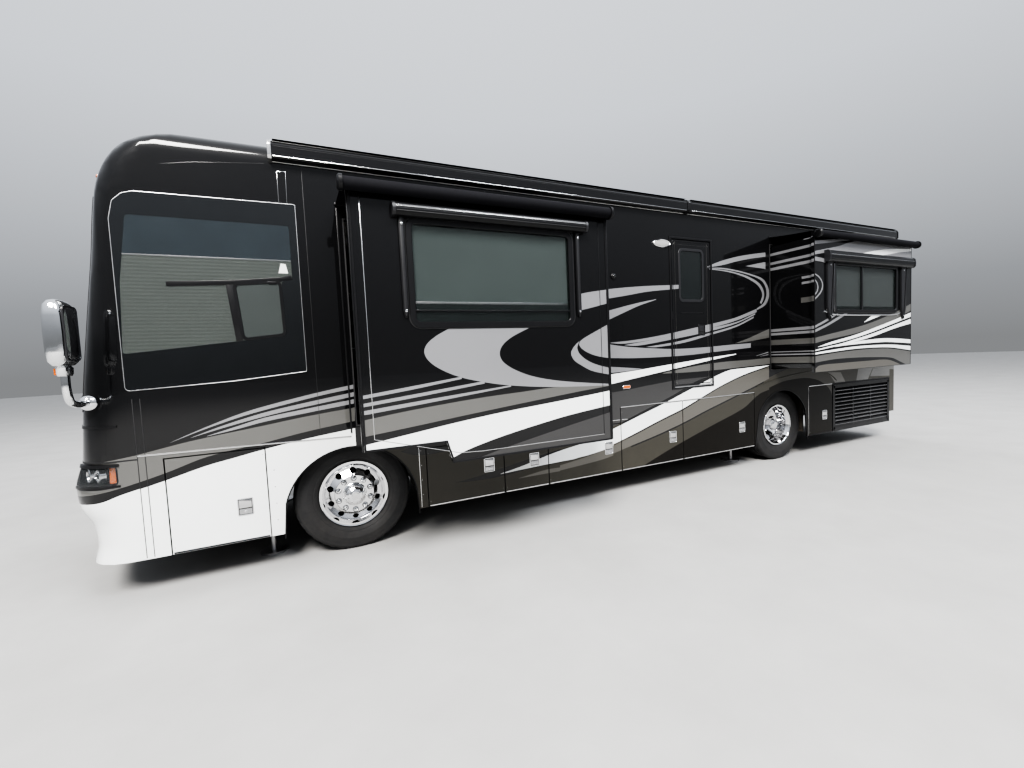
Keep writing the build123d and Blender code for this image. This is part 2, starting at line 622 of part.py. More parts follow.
for name, s in (("left", 1), ("right", -1)):
    y = s * WHEEL_Y
    put(at_axle(tyre_solid(y), 0), "front_" + name + "_tyre")
    front = [(y, y + s * 128, y + s * 62, s)]
    put(at_axle(wheel_metal(front, (y - s * 42, y + s * 222, s)), 0), "front_" + name + "_rim")
    with BuildPart() as twins:
        add(tyre_solid(s * WHEEL_Y))
        add(tyre_solid(s * TWIN_Y))
    put(at_axle(twins.part, -WHEELBASE), "rear_" + name + "_tyres")
    mid = s * (WHEEL_Y + TWIN_Y) / 2
    pair = [(s * WHEEL_Y, mid + s * 17, s * (WHEEL_Y - 55), s), (s * TWIN_Y, mid - s * 17, s * (TWIN_Y + 55), -s)]
    put(at_axle(wheel_metal(pair, (mid - s * 150, s * 1150, s)), -WHEELBASE), "rear_" + name + "_rims")

    # knuckle: two ears round the axle's eye, kingpin, spindle
    with BuildPart() as knuckle:
        for z0, z1 in ((408.0, 463.0), (543.0, 598.0)):
            with BuildSketch(Plane.XY.offset(z0)):
                with Locations((0, s * KINGPIN_Y)):
                    Circle(46)
                with Locations((0, s * (KINGPIN_Y + 40))):
                    Rectangle(80, 60)
            extrude(amount=z1 - z0)
        with BuildSketch(Plane.XY.offset(408)):
            with Locations((0, s * (KINGPIN_Y + 62))):
                Rectangle(80, 16)
        extrude(amount=190)
        with BuildSketch(Plane.XY.offset(408)):
            with Locations((0, s * KINGPIN_Y)):
                Circle(KINGPIN_R)
        extrude(amount=190)
        with BuildSketch(Plane(origin=(0, s * (KINGPIN_Y + 60), AXLE_Z), x_dir=(1, 0, 0), z_dir=(0, s, 0))):
            Circle(SPINDLE_R)
        extrude(amount=240)
    put(knuckle.part, name + "_knuckle")

# ------------------------------------------------------------------ hinged doors
for table, sign in ((LEFT_DOORS, 1), (RIGHT_DOORS, -1)):
    for label, x1, x0, zt in table:
        with BuildPart() as door:
            with BuildSketch(side_plane(sign * HALF_W)):
                with Locations(((x0 + x1) / 2, (SKIRT_Z + zt) / 2)):
                    Rectangle(x1 - x0 - GAP, zt - SKIRT_Z)
            extrude(amount=sign * DOOR_T)
            if label == "radiator_door":
                with BuildSketch(side_plane(HALF_W + 5)):
                    with Locations(((x0 + x1) / 2, (SKIRT_Z + zt) / 2 + 20)):
                        Rectangle(x1 - x0 - 130, zt - SKIRT_Z - 160)
                extrude(amount=DOOR_T + 20, mode=Mode.SUBTRACT)
                n = 10
                z_low, z_high = SKIRT_Z + 100, zt - 60
                for i in range(n):
                    zc = z_low + (i + 0.5) * (z_high - z_low) / n
                    with BuildSketch(Plane.YZ.offset(x0 + 60)):
                        with BuildLine():
                            Polyline((HALF_W - 4, zc - 20), (HALF_W - 4, zc - 12), (HALF_W - 36, zc + 20),
                                     (HALF_W - 36, zc + 12), (HALF_W - 4, zc - 20))
                        make_face()
                    extrude(amount=x1 - x0 - 120)
        put(door.part, label)

# egress door, driver's side, with its window
EGRESS_GLASS = (-3925.0, -4305.0, 2290.0, 2900.0)
ENTRY_GLASS = (1290.0, 810.0, 1700.0, 2600.0)
for label, sign, frame_box, glass in (("egress_door", 1, EGRESS, EGRESS_GLASS), ("entry_door", -1, ENTRY, ENTRY_GLASS)):
    x1, x0, z0, z1 = frame_box
    gx1, gx0, gz0, gz1 = glass
    with BuildPart() as hinged_door:
        with BuildSketch(side_plane(sign * HALF_W)):
            with Locations(((x0 + x1) / 2, (z0 + z1) / 2)):
                Rectangle(x1 - x0, z1 - z0)
            with Locations(((gx0 + gx1) / 2, (gz0 + gz1) / 2)):
                RectangleRounded(gx1 - gx0, gz1 - gz0, 45, mode=Mode.SUBTRACT)
        extrude(amount=sign * DOOR_T)
    put(hinged_door.part, label)
    with BuildPart() as pane:
        with BuildSketch(side_plane(sign * (HALF_W - 3))):
            with Locations(((gx0 + gx1) / 2, (gz0 + gz1) / 2)):
                RectangleRounded(gx1 - gx0, gz1 - gz0, 45)
        extrude(amount=sign * 12)
    put(pane.part, label + "_glass")

# sliding entry step under the curb-side door
STEP_X = (722.0, 1378.0)
with BuildPart() as entry_step:
    with BuildSketch(Plane.XY.offset(352)):
        with Locations((sum(STEP_X) / 2, -1090)):
            Rectangle(STEP_X[1] - STEP_X[0], 400)
    extrude(amount=45)
    with BuildSketch(Plane.XY.offset(SKIRT_Z)):
        with Locations((sum(STEP_X) / 2, -1277)):
            Rectangle(STEP_X[1] - STEP_X[0], 30)
    extrude(amount=397 - SKIRT_Z)
put(entry_step.part, "entry_step")

# ------------------------------------------------------------------ slide-outs
# face outline, box, window: front one has a step in its lower edge over the wheel
F_FACE = [(-20.0, 2990.0), (-2250.0, 2990.0), (-2250.0, 860.0), (-690.0, 860.0), (-640.0, 1030.0), (-20.0, 1030.0)]
F_BOX = (-75.0, -2195.0, 1165.0, 2905.0)
F_GLASS = (-453.0, -1840.0, 1970.0, 2720.0)
R_FACE = [(-5590.0, 3100.0), (-7910.0, 3100.0), (-7910.0, 1300.0), (-5590.0, 1300.0)]
R_BOX = (-5630.0, -7870.0, 1360.0, 3040.0)
R_GLASS = (-6026.0, -7490.0, 2100.0, 2700.0)
BOX_T = 30.0
for label, face_y, outline, box, glass in (("front_slide", F_FACE_Y, F_FACE, F_BOX, F_GLASS),
                                           ("rear_slide", R_FACE_Y, R_FACE, R_BOX, R_GLASS)):
    x1, x0, z0, z1 = box
    gx1, gx0, gz0, gz1 = glass
    with BuildPart() as slide_box:
        with BuildSketch(side_plane(face_y)):
            with BuildLine():
                Polyline(*outline, close=True)
            make_face()
        extrude(amount=FACE_T)
        with BuildSketch(side_plane(face_y - FACE_T)):
            with Locations(((x0 + x1) / 2, (z0 + z1) / 2)):
                Rectangle(x1 - x0, z1 - z0)
                Rectangle(x1 - x0 - 2 * BOX_T, z1 - z0 - 2 * BOX_T, mode=Mode.SUBTRACT)
        extrude(amount=face_y - FACE_T - SLIDE_IN_Y)
        with BuildSketch(side_plane(face_y + 1)):
            with Locations(((gx0 + gx1) / 2, (gz0 + gz1) / 2)):
                RectangleRounded(gx1 - gx0, gz1 - gz0, 40)
        extrude(amount=FACE_T + 2, mode=Mode.SUBTRACT)
    put(slide_box.part, label + "_box")
    with BuildPart() as slide_glass:
        with BuildSketch(side_plane(face_y - 4)):
            with Locations(((gx0 + gx1) / 2, (gz0 + gz1) / 2)):
                RectangleRounded(gx1 - gx0, gz1 - gz0, 40)
        extrude(amount=12)
    put(slide_glass.part, label + "_window")

# topper roller (x front, x rear, z), cassette box (x front, x rear, z low, z high), arms (x, width, z low)
AWNINGS = [("front_slide_awnings", F_FACE_Y, (30.0, -2260.0, 2935.0, 48.0), (-330.0, -2000.0, 2752.0, 2850.0),
            ((-385.0, 46.0, 2010.0), (-1925.0, 46.0, 2010.0))),
           ("rear_slide_awnings", R_FACE_Y, (-5575.0, -7925.0, 3050.0, 46.0), (-5800.0, -7860.0, 2720.0, 2860.0),
            ((-5890.0, 150.0, 1975.0), (-7680.0, 150.0, 1975.0)))]
for label, fy, (rx1, rx0, rz, rr), (cx1, cx0, cz0, cz1), arms in AWNINGS:
    with BuildPart() as awning:
        with BuildSketch(Plane.YZ.offset(rx0 + 12)):
            with Locations((fy + 58, rz)):
                Circle(rr)
        extrude(amount=rx1 - rx0 - 24)
        for x in (rx0, rx1 - 14):
            with BuildSketch(Plane.YZ.offset(x)):
                with Locations((fy + 58, rz)):
                    Circle(rr + 6)
            extrude(amount=14)
        for x in (rx0 + 40, rx1 - 90):
            with BuildSketch(Plane.YZ.offset(x)):
                with Locations((fy + 25, rz)):
                    Rectangle(50, 50)
            extrude(amount=20)
        with BuildSketch(Plane.XY.offset(cz0)):
            with Locations(((cx0 + cx1) / 2, fy + 36)):
                Rectangle(cx1 - cx0, 72)
        extrude(amount=cz1 - cz0)
        for x, wdt, z in arms:
            with BuildSketch(side_plane(fy)):
                with Locations((x, (z + cz0 + 10) / 2)):
                    Rectangle(wdt, cz0 + 10 - z)
            extrude(amount=-26)
    put(awning.part, label)

# ------------------------------------------------------------------ cab
WHEEL_C = (985.0, 660.0, 1705.0)
COLUMN = (-0.62, 0.0, 0.785)
# dash: driver's part, and a part set forward of the entry door; column stub up to the wheel's hub
with BuildPart() as dashboard:
    with BuildSketch(side_plane(1150)):
        with BuildLine():
            Polyline((1260, 1150), (1600, 1150), (1600, 1640), (1500, 1740), (1330, 1700), (1235, 1560), (1300, 1420),
                     (1260, 1150))
        make_face()
    extrude(amount=1300)
    with BuildSketch(side_plane(0)):
        with BuildLine():
            Polyline((1420, 1150), (1600, 1150), (1600, 1640), (1500, 1700), (1410, 1600), (1420, 1150))
        make_face()
    extrude(amount=1150)
    with BuildSketch(side_plane(WHEEL_C[1] + 40)):
        with BuildLine():
            Polyline((1345, 1294), (1301, 1260), (954, 1699), (998, 1734), (1345, 1294))
        make_face()
    extrude(amount=80)
put(dashboard.part, "dashboard")

with BuildPart() as steering_wheel:
    wheel_plane = Plane(origin=WHEEL_C, x_dir=(0, 1, 0), z_dir=COLUMN)
    ring = wheel_plane.offset(75)
    with BuildSketch(Plane(origin=ring.origin, x_dir=ring.x_dir, z_dir=ring.y_dir)):
        with Locations((205, 0)):
            Circle(16)
    revolve(axis=Axis(ring.origin, ring.z_dir))
    with BuildSketch(wheel_plane.offset(20)):
        Circle(45)
    extrude(amount=60)
    with BuildSketch(wheel_plane.offset(62)):
        for a in (0, 180, 270):
            with PolarLocations(110, 1, start_angle=a):
                Rectangle(170, 40)
    extrude(amount=16)
put(steering_wheel.part, "steering_wheel")

SEAT_Y = 660.0
with BuildPart() as cab_seats:
    for s in (1, -1):
        with BuildSketch(Plane.XY.offset(FLOOR_Z1)):
            with Locations((520, s * SEAT_Y)):
                RectangleRounded(360, 360, 40)
        extrude(amount=280)
        with BuildSketch(Plane.XY.offset(FLOOR_Z1 + 270)):
            with Locations((520, s * SEAT_Y)):
                RectangleRounded(540, 540, 60)
        extrude(amount=150)
        with BuildSketch(side_plane(s * SEAT_Y + 260)):
            with BuildLine():
                Polyline((250, 1500), (390, 1500), (300, 2180), (170, 2180), (250, 1500))
            make_face()
        extrude(amount=520)
        with BuildSketch(side_plane(s * SEAT_Y + 150)):
            with BuildLine():
                Polyline((170, 2150), (290, 2150), (270, 2380), (160, 2380), (170, 2150))
            make_face()
        extrude(amount=300)
put(cab_seats.part, "cab_seats")

# ------------------------------------------------------------------ mirrors
with BuildPart() as mirrors:
    for s in (1, -1):
        with BuildSketch(Plane.XY.offset(1750)):
            with Locations((1765, s * 1520)):
                RectangleRounded(130, 240, 45)
        extrude(amount=440)
        with BuildSketch(Plane.XY.offset(1480)):
            with Locations((1765, s * 1500)):
                Circle(22)
        extrude(amount=280)
        with BuildSketch(side_plane(s * 1520 if s > 0 else s * 1270)):
            with Locations((1720, 1500)):
                Rectangle(130, 40)
        extrude(amount=250)
    add(cap_low, mode=Mode.SUBTRACT)
put(mirrors.part, "mirrors")
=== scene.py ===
import bpy, bmesh, math
import numpy as np
from mathutils import Vector, Matrix
from mathutils.geometry import delaunay_2d_cdt


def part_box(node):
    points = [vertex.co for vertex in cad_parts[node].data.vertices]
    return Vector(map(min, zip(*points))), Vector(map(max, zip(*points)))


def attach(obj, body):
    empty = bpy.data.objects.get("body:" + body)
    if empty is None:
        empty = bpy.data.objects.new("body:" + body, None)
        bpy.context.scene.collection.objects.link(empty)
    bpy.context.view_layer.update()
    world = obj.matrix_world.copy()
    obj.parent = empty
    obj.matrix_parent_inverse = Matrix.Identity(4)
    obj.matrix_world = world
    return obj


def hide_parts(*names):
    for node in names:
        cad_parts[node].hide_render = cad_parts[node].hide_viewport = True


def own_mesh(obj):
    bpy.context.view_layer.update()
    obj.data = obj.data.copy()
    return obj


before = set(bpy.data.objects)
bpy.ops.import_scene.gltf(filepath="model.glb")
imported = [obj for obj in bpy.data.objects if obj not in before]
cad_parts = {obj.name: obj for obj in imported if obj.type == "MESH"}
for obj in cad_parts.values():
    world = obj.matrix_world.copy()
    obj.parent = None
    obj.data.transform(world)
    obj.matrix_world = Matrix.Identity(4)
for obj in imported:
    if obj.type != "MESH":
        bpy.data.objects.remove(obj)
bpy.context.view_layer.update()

SC = bpy.context.scene

# The coach is drawn in metres with X = 0 at the front wheel centre, +X forward,
# +Y the driver's side and Z = 0 on the ground; the row frame is shifted by SHIFT.
SHIFT = (3.390, -0.255, 0.0)
HALF_W = 1.295
F_FACE, R_FACE = 2.045, 1.900

# ------------------------------------------------------------------ node helpers
class Nodes:
    """A material's node tree, with short calls for the nodes used here."""

    def __init__(self, name):
        self.mat = bpy.data.materials.new(name)
        self.mat.use_nodes = True
        self.t = self.mat.node_tree
        self.t.nodes.clear()
        self.out = self.t.nodes.new("ShaderNodeOutputMaterial")
        self.bsdf = self.t.nodes.new("ShaderNodeBsdfPrincipled")
        self.t.links.new(self.bsdf.outputs[0], self.out.inputs[0])
        tc = self.t.nodes.new("ShaderNodeTexCoord")
        self.obj = tc.outputs["Object"]

    def new(self, kind, **props):
        n = self.t.nodes.new(kind)
        for k, v in props.items():
            setattr(n, k, v)
        return n

    def put(self, socket, value):
        if isinstance(value, bpy.types.NodeSocket):
            self.t.links.new(value, socket)
        else:
            socket.default_value = value

    def noise(self, scale, detail=3.0, rough=0.5, coord=None, stretch=None):
        c = coord or self.obj
        if stretch:
            m = self.new("ShaderNodeMapping")
            self.put(m.inputs["Vector"], c)
            m.inputs["Scale"].default_value = stretch
            c = m.outputs[0]
        n = self.new("ShaderNodeTexNoise")
        self.put(n.inputs["Vector"], c)
        n.inputs["Scale"].default_value = scale
        n.inputs["Detail"].default_value = detail
        n.inputs["Roughness"].default_value = rough
        return n.outputs["Fac"]

    def wave(self, scale, axis="X", distort=0.0, kind="BANDS", profile="SIN"):
        n = self.new("ShaderNodeTexWave", wave_type=kind, bands_direction=axis, wave_profile=profile)
        self.put(n.inputs["Vector"], self.obj)
        n.inputs["Scale"].default_value = scale
        n.inputs["Distortion"].default_value = distort
        return n.outputs["Fac"]

    def ramp(self, fac, *stops):
        n = self.new("ShaderNodeValToRGB")
        self.put(n.inputs[0], fac)
        e = n.color_ramp.elements
        while len(e) < len(stops):
            e.new(0.5)
        for el, (pos, col) in zip(e, stops):
            el.position = pos
            el.color = col if len(col) == 4 else (*col, 1.0)
        return n.outputs[0]

    def range(self, value, a, b, c=0.0, d=1.0):
        n = self.new("ShaderNodeMapRange", clamp=True)
        self.put(n.inputs["Value"], value)
        for i, v in zip((1, 2, 3, 4), (a, b, c, d)):
            n.inputs[i].default_value = v
        return n.outputs[0]

    def math(self, op, a, b=0.0):
        n = self.new("ShaderNodeMath", operation=op)
        self.put(n.inputs[0], a)
        self.put(n.inputs[1], b)
        return n.outputs[0]

    def mix(self, fac, a, b, blend="MIX"):
        n = self.new("ShaderNodeMix", data_type="RGBA", blend_type=blend)
        self.put(n.inputs[0], fac)
        self.put(n.inputs[6], a if isinstance(a, bpy.types.NodeSocket) else (*a[:3], 1.0))
        self.put(n.inputs[7], b if isinstance(b, bpy.types.NodeSocket) else (*b[:3], 1.0))
        return n.outputs[2]

    def xyz(self):
        n = self.new("ShaderNodeSeparateXYZ")
        self.put(n.inputs[0], self.obj)
        return n.outputs

    def bump(self, height, strength=0.2, distance=0.001, under=None):
        n = self.new("ShaderNodeBump")
        self.put(n.inputs["Height"], height)
        n.inputs["Strength"].default_value = strength
        n.inputs["Distance"].default_value = distance
        if under is not None:
            self.put(n.inputs["Normal"], under)
        return n.outputs[0]

    def set(self, **kw):
        for k, v in kw.items():
            self.put(self.bsdf.inputs[k.replace("_", " ")], v)
        return self


MATS = {}


def shade(c, k):
    return tuple(min(max(v * k, 0.0), 1.0) for v in c[:3])


def paint(name, rgb, metallic=0.0, rough=0.32, flake=0.10, dust=0.035, coat=1.0, peel=0.012, spec=0.4):
    """Clear-coated body paint: fine flake, a slow tone drift, orange peel and road dust near the skirt."""
    n = Nodes(name)
    fl = n.ramp(n.noise(1400, 1.0), (0.42, shade(rgb, 1 - flake)), (0.62, shade(rgb, 1 + flake)))
    drift = n.mix(n.range(n.noise(1.3, 3.0), 0.35, 0.65, 0.0, 1.0), shade(rgb, 0.96), shade(rgb, 1.04))
    col = n.mix(0.5, fl, drift)
    low = n.range(n.xyz()[2], 0.30, 1.15, 1.0, 0.0)
    dirt = n.math("MULTIPLY", n.math("MULTIPLY", low, low), n.range(n.noise(9, 6.0, 0.65), 0.3, 0.75, 0.2, 1.0))
    film = n.math("MULTIPLY", dirt, dust)
    col = n.mix(film, col, (0.30, 0.26, 0.21))
    n.set(Base_Color=col, Metallic=metallic, Coat_Weight=coat, Coat_Roughness=0.03, Coat_IOR=1.45, Specular_IOR_Level=spec)
    n.set(Roughness=n.math("ADD", n.range(n.noise(30, 4.0), 0.3, 0.7, rough * 0.97, rough * 1.03), n.math("MULTIPLY", film, 1.2)))
    n.set(Normal=n.bump(n.noise(170, 2.0), peel, 0.0006))
    MATS[name] = n.mat
    return n.mat


def plain(name, rgb, rough=0.5, metallic=0.0, grain=200.0, bump=0.1, dist=0.0006, var=0.08, coat=0.0, spec=0.5, dust=0.0, stretch=None):
    """A worked surface: grain in colour, roughness and bump."""
    n = Nodes(name)
    g = n.noise(grain, 4.0, 0.6, stretch=stretch)
    slow = n.noise(4.0, 4.0, 0.6)
    col = n.mix(n.range(g, 0.3, 0.7), shade(rgb, 1 - var), shade(rgb, 1 + var))
    col = n.mix(n.range(slow, 0.35, 0.7, 0.0, 0.35), col, shade(rgb, 1 - 2.0 * var))
    if dust:
        low = n.range(n.xyz()[2], 0.2, 1.2, 1.0, 0.15)
        f = n.math("MULTIPLY", n.math("MULTIPLY", low, n.range(n.noise(12, 6.0, 0.7), 0.35, 0.75)), dust)
        col = n.mix(f, col, (0.27, 0.23, 0.18))
    n.set(Base_Color=col, Metallic=metallic, Roughness=n.range(slow, 0.3, 0.7, rough * 0.85, min(rough * 1.18, 1.0)))
    n.set(Specular_IOR_Level=spec, Coat_Weight=coat, Coat_Roughness=0.05)
    n.set(Normal=n.bump(g, bump, dist))
    MATS[name] = n.mat
    return n.mat


# body paints
paint("paint_black", (0.0060, 0.0060, 0.0066), flake=0.4, rough=0.30, dust=0.03, spec=0.08)
paint("paint_white", (0.80, 0.815, 0.81), flake=0.02, rough=0.30, dust=0.05)
paint("paint_silver", (0.27, 0.27, 0.28), metallic=0.45, flake=0.12, rough=0.34)
paint("paint_grey", (0.125, 0.123, 0.116), metallic=0.4, flake=0.12, rough=0.34)
paint("paint_dgrey", (0.042, 0.041, 0.041), metallic=0.35, flake=0.2, rough=0.32)
paint("paint_ltaupe", (0.105, 0.098, 0.085), metallic=0.35, flake=0.12, rough=0.34)
paint("paint_taupe", (0.044, 0.041, 0.033), metallic=0.2, flake=0.15, rough=0.36, coat=0.5, spec=0.15)
paint("paint_dbrown", (0.0065, 0.0056, 0.0046), metallic=0.0, flake=0.3, rough=0.36, dust=0.01, coat=0.30, spec=0.06)
paint("paint_roof", (0.74, 0.74, 0.72), flake=0.02, rough=0.5, coat=0.3, peel=0.10)
plain("seam_black", (0.010, 0.010, 0.011), rough=0.55, grain=300, bump=0.2)
plain("rubber", (0.018, 0.018, 0.019), rough=0.62, grain=350, bump=0.25)
plain("black_plastic", (0.016, 0.016, 0.018), rough=0.38, grain=500, bump=0.12)
plain("satin_black", (0.009, 0.009, 0.010), rough=0.34, grain=600, bump=0.08, coat=0.15, spec=0.25)
plain("chassis_black", (0.022, 0.021, 0.020), rough=0.55, grain=60, bump=0.3, dist=0.001, dust=0.5)
plain("chrome", (0.78, 0.79, 0.80), rough=0.06, metallic=1.0, grain=40, bump=0.015, var=0.02)
plain("bright_trim", (0.70, 0.70, 0.70), rough=0.16, metallic=1.0, grain=80, bump=0.03, var=0.03)
plain("alu_polished", (0.80, 0.80, 0.81), rough=0.09, metallic=1.0, grain=25, bump=0.03, dist=0.001, var=0.03, dust=0.04)
plain("alu_satin", (0.55, 0.55, 0.56), rough=0.36, metallic=1.0, grain=260, bump=0.10, var=0.05)
plain("steel", (0.42, 0.42, 0.43), rough=0.32, metallic=1.0, grain=120, bump=0.12, var=0.08, dust=0.2)
# dark steel for the nut washers, partly painted shade at their feet, and for the ring at the hub disc's edge, a painted
# groove shade
plain("steel_dark", (0.075, 0.075, 0.08), rough=0.38, metallic=1.0, grain=120, bump=0.10, var=0.08)
plain("cast_iron", (0.10, 0.10, 0.105), rough=0.6, metallic=0.5, grain=40, bump=0.5, dist=0.002, var=0.15, dust=0.3)
plain("white_plastic", (0.72, 0.72, 0.70), rough=0.42, grain=500, bump=0.08, var=0.03)
# near black for openings, slots and pockets: partly the part's own black, partly painted shade of recesses the meshes
# don't cut
plain("hole_black", (0.006, 0.006, 0.006), rough=0.8, grain=50, bump=0.2)


def lens(name, rgb, alpha, rough=0.03, ribs=0.0, coat=1.0, spec=0.6):
    """Glass or clear plastic with a fine film on it."""
    n = Nodes(name)
    g = n.noise(7.0, 4.0)
    n.set(Base_Color=n.mix(n.range(g, 0.3, 0.7), shade(rgb, 0.92), shade(rgb, 1.08)), Alpha=alpha, Specular_IOR_Level=spec, Coat_Weight=coat, Coat_Roughness=0.01)
    n.set(Roughness=n.range(n.noise(14.0, 5.0), 0.3, 0.7, rough * 0.6, rough * 1.6))
    if ribs:
        n.set(Normal=n.bump(n.wave(ribs, "X"), 0.25, 0.002))
    else:
        n.set(Normal=n.bump(n.noise(2.2, 2.0), 0.02, 0.002))
    n.mat.surface_render_method = "BLENDED"
    MATS[name] = n.mat
    return n.mat


def woven(name, rgb, pitch, rough=0.85, bump=0.35, var=0.18, pleat=0.0, sheen=0.25):
    """Cloth: two crossed thread waves in colour and bump, with level pleats if asked, their valleys darkened as painted
    shade.
    """
    n = Nodes(name)
    a, b, c = n.wave(pitch, "X", 0.4), n.wave(pitch, "Z", 0.4), n.wave(pitch, "Y", 0.4)
    w = n.math("MAXIMUM", n.math("MAXIMUM", a, b), n.math("MULTIPLY", c, 0.9))
    col = n.mix(w, shade(rgb, 1 - var), shade(rgb, 1 + var))
    col = n.mix(n.range(n.noise(5.0, 5.0), 0.3, 0.7, 0.0, 0.3), col, shade(rgb, 0.8))
    n.set(Base_Color=col, Roughness=n.range(n.noise(60.0, 3.0), 0.3, 0.7, rough * 0.92, min(rough * 1.05, 1.0)), Specular_IOR_Level=0.25 if sheen else 0.08, Sheen_Weight=sheen)
    n.set(Normal=n.bump(w, bump, 0.0008))
    if pleat:
        # pleats: a wave in the bump, and painted shade in each valley's colour
        p = n.wave(pleat, "Z", 0.3)
        n.set(Base_Color=n.mix(p, shade(rgb, 0.88), col), Normal=n.bump(n.math("ADD", n.math("MULTIPLY", w, 0.08), p), 0.25, 0.004))
    MATS[name] = n.mat
    return n.mat


lens("glass_tint", (0.010, 0.013, 0.013), 0.60)
lens("glass_light", (0.020, 0.026, 0.025), 0.30)
lens("glass_dark", (0.006, 0.007, 0.008), 0.90)
lens("lens_clear", (0.10, 0.11, 0.115), 0.12, ribs=0.0)
lens("lens_amber", (0.50, 0.105, 0.004), 0.96, rough=0.10, ribs=30.0)
lens("lens_red", (0.45, 0.008, 0.008), 0.90, rough=0.10, ribs=30.0)
lens("lens_white", (0.42, 0.42, 0.41), 0.75, rough=0.12, ribs=30.0)
plain("mirror_face", (0.86, 0.88, 0.90), rough=0.025, metallic=1.0, grain=3.0, bump=0.004, var=0.01)
plain("tyre_rubber", (0.014, 0.014, 0.015), rough=0.72, grain=180, bump=0.35, dist=0.0012, var=0.10, dust=0.04)
plain("leather", (0.36, 0.31, 0.25), rough=0.46, grain=420, bump=0.45, dist=0.0008, var=0.06)
plain("leather_dark", (0.045, 0.040, 0.036), rough=0.46, grain=420, bump=0.45, dist=0.0008, var=0.08)
plain("wood", (0.16, 0.075, 0.035), rough=0.30, grain=26, bump=0.05, var=0.25, coat=0.7, stretch=(1.0, 9.0, 9.0))
plain("floor_tile", (0.42, 0.38, 0.33), rough=0.30, grain=14, bump=0.03, var=0.10, coat=0.3)
plain("galvanised", (0.46, 0.47, 0.48), rough=0.42, metallic=0.9, grain=22, bump=0.12, var=0.14, dust=0.3)
woven("shade_cloth", (0.17, 0.185, 0.17), 260.0, pleat=12.0)
# opaque bluish plate above the cab blind: partly glass tint, partly painted sky reflection
lens("glass_upper", (0.048, 0.062, 0.082), 1.0, rough=0.02)
woven("shade_dim", (0.13, 0.145, 0.14), 260.0)
woven("shade_light", (0.10, 0.125, 0.12), 300.0)
# blind cloth drawn dark as painted shade of an unlit window
woven("shade_dark", (0.040, 0.048, 0.047), 300.0)
woven("topper_cloth", (0.012, 0.012, 0.014), 420.0, rough=0.8, sheen=0.0)
woven("carpet", (0.20, 0.17, 0.14), 160.0, bump=0.8)


# ------------------------------------------------------------------ mesh helpers
class Shape:
    """Faces in coach coordinates, each with a material and a smooth flag, made into one object at the end."""

    def __init__(self):
        self.v, self.f, self.m, self.s, self.mats = [], [], [], [], []

    def slot_of(self, mat):
        if mat not in self.mats:
            self.mats.append(mat)
        return self.mats.index(mat)

    def add(self, part, mat, smooth=False):
        verts, faces = part
        n, k = len(self.v), self.slot_of(mat)
        self.v += [tuple(p) for p in verts]
        for f in faces:
            self.f.append([i + n for i in f])
            self.m.append(k)
            self.s.append(smooth)
        return self

    def make(self, name, body, slot=None, replaces=(), sharp=40.0, recalc=True):
        me = bpy.data.meshes.new(name)
        me.from_pydata([(x + SHIFT[0], y + SHIFT[1], z + SHIFT[2]) for x, y, z in self.v], [], self.f)
        for m in self.mats:
            me.materials.append(MATS[m])
        me.polygons.foreach_set("material_index", self.m)
        me.polygons.foreach_set("use_smooth", self.s)
        if recalc:
            bm = bmesh.new()
            bm.from_mesh(me)
            bmesh.ops.recalc_face_normals(bm, faces=bm.faces)
            bm.to_mesh(me)
            bm.free()
        if any(self.s):
            me.set_sharp_from_angle(angle=math.radians(sharp))
        me.validate()
        me.update()
        ob = bpy.data.objects.new(name, me)
        SC.collection.objects.link(ob)
        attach(ob, body)
        if replaces:
            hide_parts(*replaces)
        return ob


def side(s=1, y=HALF_W):
    """Map (x, z, depth) to a side plane; depth runs outwards."""
    return lambda u, v, d=0.0: (u, s * (y + d), v)


def across(x, s=1):
    """Map (y, z, depth) to a plane across the coach; depth runs along s*X."""
    return lambda u, v, d=0.0: (x + s * d, u, v)


def flat(z, s=1):
    """Map (x, y, depth) to a level plane."""
    return lambda u, v, d=0.0: (u, v, z + s * d)


def curve(pts, n=5, closed=False):
    """A smooth line through a few points (centripetal-like Catmull-Rom)."""
    p = [np.array(q, float) for q in pts]
    if len(p) < 3 and not closed:
        return [tuple(q) for q in p]
    out = []
    m = len(p)
    spans = m if closed else m - 1
    for i in range(spans):
        b, c = p[i], p[(i + 1) % m]
        a = p[i - 1] if (i > 0 or closed) else b
        d = p[(i + 2) % m] if (i + 2 < m or closed) else c
        lb = max(np.linalg.norm(c - b), 1e-9)
        ta = (c - a) * lb / max(np.linalg.norm(c - b) + np.linalg.norm(b - a), 1e-9)
        tb = (d - b) * lb / max(np.linalg.norm(c - b) + np.linalg.norm(d - c), 1e-9)
        for k in range(n):
            t = k / n
            h = (2 * t**3 - 3 * t**2 + 1, t**3 - 2 * t**2 + t, -2 * t**3 + 3 * t**2, t**3 - t**2)
            out.append(tuple(h[0] * b + h[1] * ta + h[2] * c + h[3] * tb))
    if not closed:
        out.append(tuple(p[-1]))
    return out


